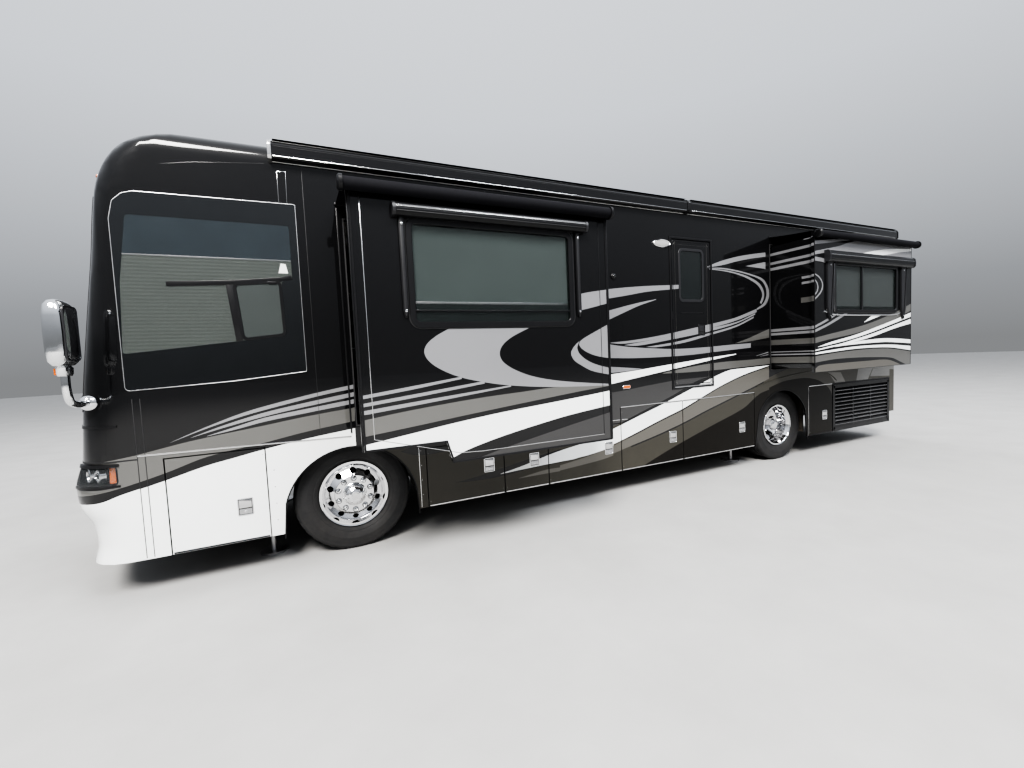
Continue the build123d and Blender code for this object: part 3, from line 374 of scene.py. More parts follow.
def rounded(pts, radii, seg=5):
    """A polygon with its corners rounded; radii is one number or one for each corner."""
    n = len(pts)
    r = [radii] * n if isinstance(radii, (int, float)) else list(radii)
    out = []
    for i in range(n):
        a, b, c = (Vector(pts[i - 1]), Vector(pts[i]), Vector(pts[(i + 1) % n]))
        u, w = (a - b).normalized(), (c - b).normalized()
        ang = u.angle(w)
        if r[i] < 1e-6 or ang > math.pi - 1e-3:
            out.append(tuple(b))
            continue
        t = min(r[i] / math.tan(ang / 2), 0.49 * min((a - b).length, (c - b).length))
        rad = t * math.tan(ang / 2)
        p0, p1 = b + u * t, b + w * t
        cen = b + (u + w).normalized() * (rad / math.sin(ang / 2))
        v0, v1 = p0 - cen, p1 - cen
        turn = v0.x * v1.y - v0.y * v1.x
        th = v0.angle(v1) * (1 if turn > 0 else -1)
        for k in range(seg + 1):
            a2 = th * k / seg
            ca, sa = math.cos(a2), math.sin(a2)
            out.append((cen.x + v0.x * ca - v0.y * sa, cen.y + v0.x * sa + v0.y * ca))
    return out


def rect(u0, u1, v0, v1, r=0.0, seg=5):
    p = [(u0, v0), (u1, v0), (u1, v1), (u0, v1)]
    return rounded(p, r, seg) if r else p


def inset(pts, d):
    """A polygon moved inwards by d (outwards if negative), corner by corner."""
    n = len(pts)
    area = sum(pts[i][0] * pts[(i + 1) % n][1] - pts[(i + 1) % n][0] * pts[i][1] for i in range(n))
    sgn = 1 if area > 0 else -1
    out = []
    for i in range(n):
        a, b, c = Vector(pts[i - 1]), Vector(pts[i]), Vector(pts[(i + 1) % n])
        e0, e1 = (b - a), (c - b)
        if e0.length < 1e-9 or e1.length < 1e-9:
            e0 = e1 = (e0 + e1)
        e0.normalize(); e1.normalize()
        n0, n1 = Vector((-e0.y, e0.x)) * sgn, Vector((-e1.y, e1.x)) * sgn
        k = n0 + n1
        if k.length < 1e-6:
            k = n0
        k.normalize()
        out.append(tuple(b + k * (d / max(k.dot(n0), 0.35))))
    return out


def prism(pts, to, d0, d1, r=0.0):
    """A plate from depth d0 to d1 with its outer rim rounded off by r."""
    n = len(pts)
    rings = [[to(u, v, d0) for u, v in pts]]
    if r:
        rings.append([to(u, v, d1 - r) for u, v in pts])
        rings.append([to(u, v, d1 - 0.3 * r) for u, v in inset(pts, 0.3 * r)])
        rings.append([to(u, v, d1) for u, v in inset(pts, r)])
    else:
        rings.append([to(u, v, d1) for u, v in pts])
    verts = [p for ring in rings for p in ring]
    faces = []
    for k in range(len(rings) - 1):
        for i in range(n):
            j = (i + 1) % n
            faces.append([k * n + i, k * n + j, (k + 1) * n + j, (k + 1) * n + i])
    faces.append(list(range(n))[::-1])
    faces.append([(len(rings) - 1) * n + i for i in range(n)])
    return verts, faces


def ring(outer, inner, to, d0, d1, r=0.0):
    """A frame between two outlines with as many points, from depth d0 to d1, rim rounded by r."""
    n = len(outer)
    if r:
        o2, i2 = inset(outer, r), inset(inner, -r)
        rows = [(outer, d0), (outer, d1 - r), (o2, d1), (i2, d1), (inner, d1 - r), (inner, d0)]
    else:
        rows = [(outer, d0), (outer, d1), (inner, d1), (inner, d0)]
    verts = [to(u, v, d) for ln, d in rows for u, v in ln]
    faces = []
    m = len(rows)
    for k in range(m):
        k2 = (k + 1) % m
        for i in range(n):
            j = (i + 1) % n
            faces.append([k * n + i, k * n + j, k2 * n + j, k2 * n + i])
    return verts, faces


def block(x0, x1, y0, y1, z0, z1, r=0.004, seg=2):
    """A box with all its edges rounded."""
    bm = bmesh.new()
    bmesh.ops.create_cube(bm, size=1.0)
    for v in bm.verts:
        v.co = ((x0 + x1) / 2 + v.co.x * (x1 - x0), (y0 + y1) / 2 + v.co.y * (y1 - y0), (z0 + z1) / 2 + v.co.z * (z1 - z0))
    bmesh.ops.bevel(bm, geom=bm.edges[:], offset=r, segments=seg, profile=0.5, affect="EDGES", clamp_overlap=True)
    bm.verts.index_update()
    out = [tuple(v.co) for v in bm.verts], [[v.index for v in f.verts] for f in bm.faces]
    bm.free()
    return out


def frames(path):
    """Moving frames along a path."""
    p = [Vector(q) for q in path]
    t = []
    for i in range(len(p)):
        a, b = p[max(i - 1, 0)], p[min(i + 1, len(p) - 1)]
        t.append((b - a).normalized())
    up = Vector((0, 0, 1)) if abs(t[0].z) < 0.9 else Vector((0, 1, 0))
    n = (up - t[0] * up.dot(t[0])).normalized()
    out = []
    for i in range(len(p)):
        n = (n - t[i] * n.dot(t[i])).normalized()
        out.append((p[i], n, t[i].cross(n), t[i]))
    return out


def sweep(section, path, closed=False, caps=True):
    """A section of (a, b) points carried along a path; a is upwards-ish, b across."""
    fr = frames(path)
    k = len(section)
    verts, faces = [], []
    for p, n, b, _ in fr:
        verts += [tuple(p + n * s[0] + b * s[1]) for s in section]
    m = len(fr)
    for i in range(m if closed else m - 1):
        i2 = (i + 1) % m
        for j in range(k):
            j2 = (j + 1) % k
            faces.append([i * k + j, i * k + j2, i2 * k + j2, i2 * k + j])
    if caps and not closed:
        faces.append(list(range(k))[::-1])
        faces.append([(m - 1) * k + j for j in range(k)])
    return verts, faces


def circle(r, n=12):
    return [(r * math.cos(2 * math.pi * i / n), r * math.sin(2 * math.pi * i / n)) for i in range(n)]


def tube(path, r, n=12):
    return sweep(circle(r, n), path)


def lathe(profile, centre, axis, n=48, closed=False):
    """Profile of (radius, height) turned about an axis through centre."""
    a = Vector(axis).normalized()
    u = a.orthogonal().normalized()
    if abs(a.y) > 0.9:
        u = Vector((1, 0, 0))
    w = a.cross(u)
    c = Vector(centre)
    verts, faces = [], []
    k = len(profile)
    for i in range(n):
        t = 2 * math.pi * i / n
        d = u * math.cos(t) + w * math.sin(t)
        verts += [tuple(c + a * h + d * r) for r, h in profile]
    for i in range(n):
        i2 = (i + 1) % n
        for j in range(k if closed else k - 1):
            j2 = (j + 1) % k
            faces.append([i * k + j, i2 * k + j, i2 * k + j2, i * k + j2])
    if not closed:
        for j in (0, k - 1):
            if profile[j][0] > 1e-6:
                faces.append([i * k + j for i in range(n)])
    return verts, faces


def weld(part, tol=1e-5):
    bm = bmesh.new()
    vs = [bm.verts.new(v) for v in part[0]]
    for f in part[1]:
        if len(set(f)) > 2:
            try:
                bm.faces.new([vs[i] for i in f])
            except ValueError:
                pass
    bmesh.ops.remove_doubles(bm, verts=bm.verts, dist=tol)
    bmesh.ops.dissolve_degenerate(bm, edges=bm.edges, dist=tol)
    bm.verts.index_update()
    out = [tuple(v.co) for v in bm.verts], [[v.index for v in f.verts] for f in bm.faces]
    bm.free()
    return out


def inside(poly, p):
    """Which of the points p (n x 2) are in the polygon."""
    q = np.asarray(poly, float)
    x, y = p[:, 0:1], p[:, 1:2]
    x0, y0 = q[:, 0], q[:, 1]
    x1, y1 = np.roll(x0, -1), np.roll(y0, -1)
    hit = ((y0 > y) != (y1 > y)) & (x < (x1 - x0) * (y - y0) / np.where(y1 == y0, 1e-12, y1 - y0) + x0)
    return hit.sum(1) % 2 == 1


def cut_flat(outline, holes, regions, extra=(), lines=()):
    """Triangles of a flat outline less its holes, cut along the regions; gives (points, triangles, colour of each)."""
    pts, edges = [], []

    def loop(poly, closed=True):
        n = len(pts)
        pts.extend(Vector(p) for p in poly)
        m = len(poly)
        edges.extend((n + i, n + (i + 1) % m) for i in range(m if closed else m - 1))

    loop(outline)
    for h in holes:
        loop(h)
    xs = [p[0] for p in outline]
    zs = [p[1] for p in outline]
    lo, hi = (min(xs), min(zs)), (max(xs), max(zs))
    near = [(c, r) for c, r in regions if not (max(p[0] for p in r) < lo[0] or min(p[0] for p in r) > hi[0]
                                              or max(p[1] for p in r) < lo[1] or min(p[1] for p in r) > hi[1])]
    for _, r in near:
        loop(r)
    for ln in lines:
        loop(ln, closed=False)
    pts.extend(Vector(p) for p in extra)
    vs, _, fs, *_ = delaunay_2d_cdt(pts, edges, [], 0, 1e-5)
    v = np.array([(p[0], p[1]) for p in vs])
    f = np.array([t for t in fs], int)
    mid = v[f].mean(1)
    a = v[f]
    area = np.abs((a[:, 1, 0] - a[:, 0, 0]) * (a[:, 2, 1] - a[:, 0, 1]) - (a[:, 2, 0] - a[:, 0, 0]) * (a[:, 1, 1] - a[:, 0, 1]))
    keep = inside(outline, mid) & (area > 1e-9)
    for h in holes:
        keep &= ~inside(h, mid)
    f, mid = f[keep], mid[keep]
    colour = np.full(len(f), "", object)
    for c, r in near:
        colour[inside(r, mid)] = c
    return v, f, colour


def skin(v, f, colour, to, d0, d1, only=None):
    """Closed plates over the coloured triangles: one (verts, faces) for each colour."""
    out = {}
    for c in sorted(set(colour)):
        if not c or (only and c not in only):
            continue
        tri = f[colour == c]
        used = np.unique(tri)
        idx = {int(k): i for i, k in enumerate(used)}
        n = len(used)
        verts = [to(*v[k], d1) for k in used] + [to(*v[k], d0) for k in used]
        faces, count = [], {}
        for t in tri:
            t = [idx[int(k)] for k in t]
            faces.append(t)
            faces.append([k + n for k in reversed(t)])
            for i in range(3):
                e = (t[i], t[(i + 1) % 3])
                if (e[1], e[0]) in count:
                    del count[(e[1], e[0])]
                elif e in count:
                    del count[e]
                else:
                    count[e] = 1
        for a, b in count:
            faces.append([b, a, a + n, b + n])
        out[c] = (verts, faces)
    return out


def decal(name, body, to, outline, regions, holes=(), d0=-0.0004, d1=0.0009, slot="paint_black", seams=()):
    """Painted areas on a flat panel as thin closed plates, one material for each colour."""
    v, f, colour = cut_flat(outline, holes, regions, lines=seams)
    s = Shape()
    for c, part in skin(v, f, colour, to, d0, d1).items():
        s.add(part, c)
    if not s.f:
        return None
    return s.make(name, body, slot=slot)


# ------------------------------------------------------------------ paint scheme
# panel, colour, upper edge and lower edge of each painted area, in side view (x, z); a missing lower edge runs to the skirt
STRIPES = [
    ("B", "silver", [(1.295, 1.152), (1.082, 1.238), (0.802, 1.335), (0.505, 1.404), (0.188, 1.465), (-0.047, 1.504)],
     [(1.295, 1.151), (1.083, 1.226), (0.803, 1.308), (0.507, 1.373), (0.19, 1.434), (-0.045, 1.468)]),
    ("B", "silver", [(1.165, 1.174), (0.947, 1.246), (0.659, 1.321), (0.353, 1.375), (-0.043, 1.437)],
     [(1.165, 1.173), (0.948, 1.227), (0.661, 1.289), (0.355, 1.341), (-0.04, 1.399)]),
    ("B", "silver", [(1.06, 1.175), (0.865, 1.227), (0.662, 1.278), (0.357, 1.322), (-0.039, 1.374)],
     [(1.06, 1.173), (0.867, 1.205), (0.664, 1.246), (0.359, 1.287), (-0.036, 1.336)]),
    ("B", "grey", [(1.788, 1.043), (1.532, 1.079), (1.167, 1.148), (0.666, 1.216), (0.361, 1.258), (-0.042, 1.301)],
     [(1.806, 0.821), (1.609, 0.854), (1.337, 0.926), (1.072, 1.012), (0.676, 1.074), (0.37, 1.128), (-0.035, 1.182)]),
    ("B", "white", [(1.845, 0.751), (1.732, 0.763), (1.613, 0.802), (1.455, 0.839), (1.341, 0.869), (1.077, 0.943), (0.897, 0.978), (0.68, 1.02), (0.342, 1.072), (-0.031, 1.117)],
     None),
    ("B", "black", [(-0.416, 0.855), (-0.557, 0.895), (-0.711, 0.896), (-0.891, 0.882)],
     [(-0.416, 0.853), (-0.552, 0.804), (-0.705, 0.794), (-0.887, 0.81)]),
    ("B", "black", [(-0.927, 0.482), (-1.155, 0.506), (-1.357, 0.54), (-1.565, 0.574), (-1.782, 0.609), (-2.123, 0.653)],
     [(-0.927, 0.48), (-1.153, 0.466), (-1.456, 0.47), (-1.749, 0.498), (-2.117, 0.522)]),
    ("B", "white", [(-1.405, 0.495), (-1.67, 0.542), (-1.949, 0.606), (-2.241, 0.658), (-2.484, 0.684), (-2.834, 0.681)],
     [(-1.405, 0.492), (-1.668, 0.503), (-1.944, 0.514), (-2.117, 0.519), (-2.478, 0.541), (-2.831, 0.593)]),
    ("B", "ltaupe", [(-1.61, 0.417), (-1.942, 0.457), (-2.261, 0.455), (-2.827, 0.507)],
     [(-1.61, 0.414), (-1.94, 0.415), (-2.26, 0.417), (-2.825, 0.437)]),
    ("B", "dgrey", [(-2.816, 1.185), (-3.083, 1.227), (-3.337, 1.25), (-3.776, 1.299), (-4.192, 1.308), (-4.396, 1.309)],
     [(-2.801, 0.814), (-2.934, 0.853), (-3.327, 0.978), (-3.771, 1.119), (-4.191, 1.273), (-4.396, 1.309)]),
    ("B", "white", [(-2.136, 0.626), (-2.397, 0.683), (-2.822, 0.794), (-3.302, 0.935), (-3.618, 1.027), (-3.924, 1.126), (-4.326, 1.254), (-4.578, 1.328), (-4.78, 1.374), (-4.987, 1.383), (-5.566, 1.398)],
     [(-2.131, 0.52), (-2.309, 0.525), (-2.515, 0.563), (-2.837, 0.622), (-3.178, 0.717), (-3.538, 0.827), (-3.918, 0.934), (-4.184, 1.027), (-4.603, 1.175), (-5.046, 1.297), (-5.565, 1.394)]),
    ("B", "ltaupe", [(-2.11, 0.479), (-2.41, 0.518), (-2.705, 0.573), (-2.836, 0.604), (-3.177, 0.699), (-3.537, 0.808), (-3.917, 0.914), (-4.183, 1.008), (-4.602, 1.159), (-5.046, 1.28), (-5.565, 1.378)],
     [(-2.108, 0.447), (-2.408, 0.463), (-2.723, 0.492), (-3.058, 0.562), (-3.508, 0.655), (-3.913, 0.754), (-4.315, 0.871), (-4.742, 0.985), (-5.164, 1.098), (-5.563, 1.21)]),
    ("B", "taupe", [(-2.107, 0.422), (-2.407, 0.442), (-2.723, 0.471), (-3.057, 0.543), (-3.507, 0.636), (-3.912, 0.734), (-4.315, 0.851), (-4.742, 0.965), (-5.164, 1.077), (-5.562, 1.184)],
     None),
    ("B", "dbrown", [(-3.022, 0.206), (-3.185, 0.273), (-3.648, 0.434), (-3.958, 0.53), (-4.449, 0.673), (-5.037, 0.842), (-5.35, 1.006), (-5.56, 1.055)],
     None),
    ("B", "silver", [(-2.829, 2.397), (-3.086, 2.423), (-3.414, 2.448), (-3.9, 2.474)],
     [(-2.825, 2.291), (-3.082, 2.329), (-3.412, 2.381), (-3.898, 2.426)]),
    ("B", "silver", [(-2.819, 2.154), (-3.078, 2.211), (-3.319, 2.259), (-3.534, 2.294)],
     [(-2.821, 2.05), (-3.011, 2.121), (-3.273, 2.215), (-3.533, 2.287)]),
    ("B", "silver", [(-2.842, 1.793), (-3.171, 1.813), (-3.623, 1.864), (-4.11, 1.937), (-4.635, 2.019), (-4.913, 2.071), (-5.322, 2.186)],
     [(-2.841, 1.787), (-3.019, 1.775), (-3.392, 1.802), (-3.861, 1.859), (-4.366, 1.924), (-4.912, 2.028), (-5.321, 2.14)]),
    ("B", "silver", [(-3.039, 1.759), (-3.622, 1.828), (-4.237, 1.911), (-4.912, 2.009), (-5.291, 2.126)],
     [(-3.039, 1.757), (-3.234, 1.746), (-3.739, 1.802), (-4.365, 1.886), (-4.911, 1.988), (-5.291, 2.106)]),
    ("B", "silver", [(-3.367, 1.728), (-3.859, 1.778), (-4.365, 1.864), (-4.911, 1.968), (-5.261, 2.084)],
     [(-3.367, 1.726), (-3.526, 1.719), (-3.981, 1.762), (-4.39, 1.839), (-4.91, 1.943), (-5.26, 2.06)]),
    ("B", "silver", [(-4.4, 2.721), (-4.654, 2.802), (-4.93, 2.867), (-5.217, 2.917), (-5.516, 2.958)],
     [(-4.4, 2.706), (-4.653, 2.745), (-4.929, 2.806), (-5.216, 2.859), (-5.515, 2.902)]),
    ("B", "silver", [(-4.413, 2.701), (-4.652, 2.713), (-4.927, 2.694), (-5.212, 2.653), (-5.464, 2.592), (-5.569, 2.474), (-5.58, 2.353), (-5.504, 2.241), (-5.337, 2.17)],
     [(-4.418, 2.692), (-4.651, 2.698), (-4.926, 2.675), (-5.183, 2.638), (-5.425, 2.571), (-5.514, 2.473), (-5.525, 2.362), (-5.459, 2.261), (-5.322, 2.19)]),
    ("B", "silver", [(-4.418, 2.689), (-4.651, 2.689), (-4.926, 2.662), (-5.182, 2.612), (-5.388, 2.53), (-5.471, 2.432), (-5.475, 2.341), (-5.419, 2.25)],
     [(-4.423, 2.681), (-4.651, 2.674), (-4.926, 2.642), (-5.153, 2.588), (-5.343, 2.509), (-5.428, 2.421), (-5.436, 2.351), (-5.389, 2.27)]),
    ("B", "silver", [(-5.113, 2.756), (-5.468, 2.822), (-5.514, 2.826)],
     [(-5.113, 2.754), (-5.467, 2.736), (-5.512, 2.73)]),
    ("B", "silver", [(-2.831, 1.772), (-3.06, 1.74), (-3.389, 1.712), (-3.832, 1.688), (-4.36, 1.693), (-4.765, 1.709), (-5.195, 1.72)],
     [(-2.824, 1.617), (-3.163, 1.602), (-3.615, 1.597), (-4.101, 1.605), (-4.626, 1.632), (-5.193, 1.658)]),
    ("B", "grey", [(-4.892, 1.728), (-5.166, 1.792), (-5.346, 1.844), (-5.576, 1.909)],
     [(-4.891, 1.726), (-5.166, 1.744), (-5.344, 1.762), (-5.574, 1.787)]),
    ("B", "silver", [(-2.82, 1.518), (-3.051, 1.496), (-3.29, 1.471)],
     [(-2.817, 1.446), (-3.049, 1.453), (-3.29, 1.469)]),
    ("B", "white", [(-2.817, 1.429), (-3.157, 1.452), (-3.611, 1.49), (-4.099, 1.531), (-4.489, 1.561), (-4.903, 1.587)],
     [(-2.812, 1.315), (-3.154, 1.361), (-3.609, 1.419), (-4.097, 1.481), (-4.488, 1.528), (-4.902, 1.577)]),
    ("B", "grey", [(-3.608, 1.401), (-4.097, 1.456), (-4.622, 1.488), (-5.19, 1.495), (-5.585, 1.505)],
     [(-3.608, 1.394), (-3.969, 1.387), (-4.352, 1.387), (-4.758, 1.394), (-5.188, 1.405), (-5.584, 1.416)]),
    ("B", "dgrey", [(-2.788, 1.219), (-3.041, 1.234), (-3.373, 1.266), (-3.844, 1.299), (-4.35, 1.307), (-4.564, 1.323)],
     [(-2.773, 0.858), (-3.138, 0.941), (-3.742, 1.13), (-4.168, 1.275), (-4.564, 1.323)]),
    ("B", "silver", [(-5.302, 1.544), (-5.553, 1.59)],
     [(-5.302, 1.54), (-5.553, 1.575)]),
    ("B", "silver", [(-5.384, 1.533), (-5.553, 1.556)],
     [(-5.384, 1.53), (-5.553, 1.545)]),
    ("B", "ltaupe", [(-6.936, 1.224), (-7.263, 1.206)],
     [(-7.17, 0.996), (-7.405, 1.024)]),
    ("B", "grey", [(-7.739, 1.241), (-8.153, 1.23)],
     [(-7.681, 1.038), (-7.999, 1.031)]),
    ("B", "grey", [(-8.162, 1.218), (-8.869, 1.181)],
     [(-8.08, 1.095), (-8.871, 1.06)]),
    ("F", "silver", [(0.009, 1.444), (-0.373, 1.491), (-0.796, 1.543)],
     [(0.011, 1.419), (-0.372, 1.465), (-0.795, 1.525)]),
    ("F", "silver", [(0.013, 1.385), (-0.458, 1.437), (-0.989, 1.496)],
     [(0.015, 1.36), (-0.456, 1.411), (-0.988, 1.475)]),
    ("F", "silver", [(0.016, 1.332), (-0.544, 1.386), (-1.224, 1.446)],
     [(0.018, 1.302), (-0.543, 1.359), (-1.224, 1.433)]),
    ("F", "grey", [(0.021, 1.262), (-0.362, 1.31), (-0.922, 1.36), (-1.34, 1.383), (-1.633, 1.398), (-1.921, 1.39), (-2.279, 1.374)],
     [(0.029, 1.142), (-0.355, 1.182), (-0.916, 1.243), (-1.56, 1.309), (-1.919, 1.344), (-2.279, 1.374)]),
    ("F", "silver", [(-0.711, 1.925), (-0.606, 1.87), (-0.531, 1.81), (-0.506, 1.75), (-0.532, 1.687), (-0.61, 1.621), (-0.755, 1.55), (-0.947, 1.495), (-1.211, 1.445), (-1.63, 1.402), (-2.223, 1.375)],
     [(-1.418, 1.921), (-1.252, 1.847), (-1.165, 1.782), (-1.135, 1.717), (-1.158, 1.649), (-1.26, 1.577), (-1.431, 1.509), (-1.656, 1.459), (-1.943, 1.42), (-2.224, 1.39)]),
    ("F", "white", [(0.049, 1.075), (-0.352, 1.13), (-0.718, 1.179), (-1.118, 1.224), (-1.557, 1.262), (-2.042, 1.305), (-2.291, 1.33)],
     [(0.058, 0.934), (-0.336, 0.875), (-0.55, 0.861), (-0.664, 0.896), (-0.821, 0.953), (-1.108, 1.022), (-1.435, 1.083), (-1.787, 1.139), (-2.286, 1.195)]),
    ("F", "dgrey", [(-0.815, 0.851), (-1.102, 0.916), (-1.545, 1.001), (-1.882, 1.063), (-2.283, 1.13)],
     None),
    ("F", "silver", [(-2.264, 1.952), (-2.146, 1.9), (-2.014, 1.842), (-1.933, 1.798), (-1.917, 1.765), (-1.945, 1.725), (-2.023, 1.682), (-2.119, 1.651), (-2.259, 1.627)],
     'close'),
    ("F", "silver", [(-1.922, 1.798), (-1.86, 1.747), (-1.827, 1.69), (-1.855, 1.629), (-1.939, 1.573), (-2.048, 1.52), (-2.253, 1.472)],
     [(-1.91, 1.779), (-1.895, 1.733), (-1.92, 1.679), (-2.004, 1.616), (-2.116, 1.571), (-2.256, 1.535)]),
    ("F", "silver", [(-1.916, 2.21), (-2.047, 2.235), (-2.277, 2.266)],
     [(-1.91, 2.064), (-2.04, 2.09), (-2.272, 2.142)]),
    ("R", "silver", [(-5.583, 2.967), (-5.815, 2.997), (-6.123, 3.027), (-6.398, 3.045), (-6.66, 3.048)],
     [(-5.582, 2.925), (-5.815, 2.954), (-6.123, 2.995), (-6.398, 3.027), (-6.66, 3.045)]),
    ("R", "silver", [(-5.582, 2.838), (-5.815, 2.881), (-6.123, 2.939), (-6.305, 2.99), (-6.493, 3.023), (-6.882, 3.052), (-7.267, 3.06), (-7.785, 3.05), (-7.957, 3.046)],
     [(-5.581, 2.797), (-5.815, 2.833), (-6.123, 2.869), (-6.399, 2.866), (-6.589, 2.857), (-6.883, 2.858), (-7.269, 2.865), (-7.96, 2.86)]),
    ("R", "white", [(-6.601, 2.86), (-6.883, 2.913), (-7.268, 2.961), (-7.957, 3.011)],
     [(-6.601, 2.858), (-6.883, 2.858), (-7.087, 2.867), (-7.269, 2.889), (-7.537, 2.93), (-7.958, 2.982)]),
    ("R", "silver", [(-5.581, 2.773), (-5.729, 2.764), (-5.831, 2.752)],
     [(-5.581, 2.724), (-5.728, 2.715), (-5.814, 2.704)]),
    ("R", "silver", [(-5.58, 2.57), (-5.674, 2.533), (-5.738, 2.483), (-5.765, 2.419), (-5.748, 2.354), (-5.683, 2.288), (-5.577, 2.222)],
     [(-5.58, 2.552), (-5.659, 2.522), (-5.718, 2.476), (-5.744, 2.418), (-5.726, 2.36), (-5.662, 2.298), (-5.578, 2.242)]),
    ("R", "silver", [(-5.579, 2.504), (-5.646, 2.448), (-5.667, 2.391), (-5.65, 2.335), (-5.578, 2.273)],
     [(-5.579, 2.486), (-5.629, 2.441), (-5.646, 2.39), (-5.631, 2.341), (-5.578, 2.294)]),
    ("R", "silver", [(-5.568, 1.895), (-5.736, 1.95), (-5.85, 1.988), (-5.995, 2.035), (-6.113, 2.07)],
     [(-5.568, 1.864), (-5.736, 1.919), (-5.85, 1.957), (-5.995, 2.014), (-6.131, 2.068)]),
    ("R", "silver", [(-5.568, 1.844), (-5.85, 1.926), (-6.054, 2), (-6.264, 2.068)],
     [(-5.568, 1.81), (-5.85, 1.893), (-6.083, 1.973), (-6.34, 2.068)]),
    ("R", "white", [(-6.687, 1.936), (-6.9, 2.037)],
     [(-6.687, 1.934), (-7.153, 2.038)]),
    ("R", "grey", [(-5.567, 1.744), (-5.849, 1.784), (-6.143, 1.822), (-6.449, 1.862), (-6.769, 1.913), (-7.102, 1.982), (-7.559, 2.096), (-7.966, 2.22)],
     [(-5.567, 1.675), (-5.849, 1.714), (-6.143, 1.746), (-6.449, 1.781), (-6.769, 1.83), (-7.103, 1.891), (-7.56, 1.999), (-7.968, 2.117)]),
    ("R", "white", [(-5.65, 1.63), (-5.936, 1.686), (-6.449, 1.762), (-6.934, 1.855), (-7.452, 1.964), (-7.968, 2.085)],
     [(-5.65, 1.627), (-5.849, 1.645), (-6.449, 1.723), (-6.935, 1.809), (-7.453, 1.916), (-7.969, 2.021)]),
    ("R", "white", [(-5.566, 1.588), (-5.849, 1.624), (-6.143, 1.657), (-6.449, 1.703), (-6.935, 1.784), (-7.453, 1.887), (-7.97, 1.989)],
     [(-5.566, 1.575), (-5.849, 1.606), (-6.143, 1.636), (-6.45, 1.67), (-6.935, 1.741), (-7.454, 1.84), (-7.971, 1.917)]),
    ("R", "white", [(-6.024, 1.623), (-6.264, 1.65), (-6.512, 1.675), (-6.77, 1.691), (-7.278, 1.703), (-7.976, 1.664)],
     [(-6.024, 1.618), (-6.264, 1.632), (-6.608, 1.643), (-6.936, 1.649), (-7.279, 1.649), (-7.977, 1.61)]),
    ("R", "white", [(-5.566, 1.554), (-5.994, 1.584), (-6.45, 1.608), (-6.936, 1.615), (-7.385, 1.607), (-7.977, 1.567)],
     [(-5.566, 1.532), (-5.994, 1.557), (-6.45, 1.577), (-6.936, 1.581), (-7.386, 1.567), (-7.979, 1.501)]),
    ("R", "grey", [(-5.566, 1.51), (-5.994, 1.538), (-6.45, 1.557), (-6.936, 1.564), (-7.386, 1.549), (-7.979, 1.483)],
     [(-5.565, 1.427), (-5.994, 1.455), (-6.45, 1.457), (-6.937, 1.445), (-7.388, 1.417), (-7.605, 1.358), (-7.983, 1.236)]),
    ("R", "ltaupe", [(-5.565, 1.328), (-5.677, 1.387), (-6.142, 1.398), (-6.771, 1.4), (-7.282, 1.394), (-7.606, 1.315), (-7.831, 1.224)],
     None),
]

COLOUR = {"silver": "paint_silver", "grey": "paint_grey", "dgrey": "paint_dgrey", "ltaupe": "paint_ltaupe",
          "taupe": "paint_taupe", "dbrown": "paint_dbrown", "white": "paint_white", "black": ""}

# short links between the slide faces' stripes and the body's, for the curb side, where the wall is one
LINKS = [
    ("silver", [(-2.264, 1.952), (-2.52, 1.84), (-2.840, 1.772)], [(-2.259, 1.627), (-2.840, 1.617)]),
    ("silver", [(-2.250, 1.535), (-2.840, 1.517)], [(-2.250, 1.472), (-2.840, 1.446)]),
    ("white", [(-2.285, 1.329), (-2.820, 1.429)], [(-2.280, 1.195), (-2.820, 1.316)]),
    ("dgrey", [(-2.280, 1.130), (-2.820, 1.222)], [(-2.280, 0.700), (-2.820, 0.860)]),
    ("silver", [(-2.270, 2.265), (-2.835, 2.398)], [(-2.270, 2.141), (-2.835, 2.292)]),
    ("silver", [(-2.300, 2.020), (-2.830, 2.156)], [(-2.300, 2.019), (-2.830, 2.049)]),
]
# the tail, behind the rear slide-out
TAIL = [
    ("taupe", [(-5.45, 1.200), (-6.2, 1.36), (-8.90, 1.36)], [(-5.45, 0.10), (-8.90, 0.10)]),
    ("dbrown", [(-5.45, 1.055), (-5.95, 1.16), (-6.60, 1.14), (-7.00, 0.93), (-7.04, 0.60), (-7.04, 0.1)], [(-5.45, 0.10), (-7.04, 0.0999)]),
    ("silver", [(-7.95, 3.046), (-8.45, 3.085), (-8.90, 3.10)], [(-7.95, 2.862), (-8.45, 2.855), (-8.90, 2.84)]),
    ("white", [(-7.95, 3.011), (-8.45, 3.035), (-8.90, 3.045)], [(-7.95, 2.982), (-8.45, 2.995), (-8.90, 3.000)]),
    ("grey", [(-7.95, 2.216), (-8.45, 2.325), (-8.90, 2.385)], [(-7.95, 2.113), (-8.45, 2.205), (-8.90, 2.250)]),
    ("white", [(-7.95, 2.082), (-8.45, 2.160), (-8.90, 2.200)], [(-7.95, 2.018), (-8.45, 2.080), (-8.90, 2.110)]),
    ("white", [(-7.95, 1.986), (-8.45, 2.035), (-8.90, 2.060)], [(-7.95, 1.915), (-8.45, 1.950), (-8.90, 1.965)]),
    ("white", [(-7.95, 1.663), (-8.45, 1.675), (-8.90, 1.675)], [(-7.95, 1.611), (-8.45, 1.618), (-8.90, 1.620)]),
    ("white", [(-7.95, 1.568), (-8.45, 1.565), (-8.90, 1.555)], [(-7.95, 1.502), (-8.45, 1.500), (-8.90, 1.490)]),
    ("grey", [(-7.95, 1.484), (-8.45, 1.470), (-8.90, 1.450)], [(-7.95, 1.240), (-8.45, 1.200), (-8.90, 1.165)]),
]


def region(top, bottom, n=5):
    t = curve(top, n)
    if bottom is None:
        return t + [(t[-1][0], 0.05), (t[0][0], 0.05)]
    if bottom == "close":
        return t
    return t + curve(bottom, n)[::-1]


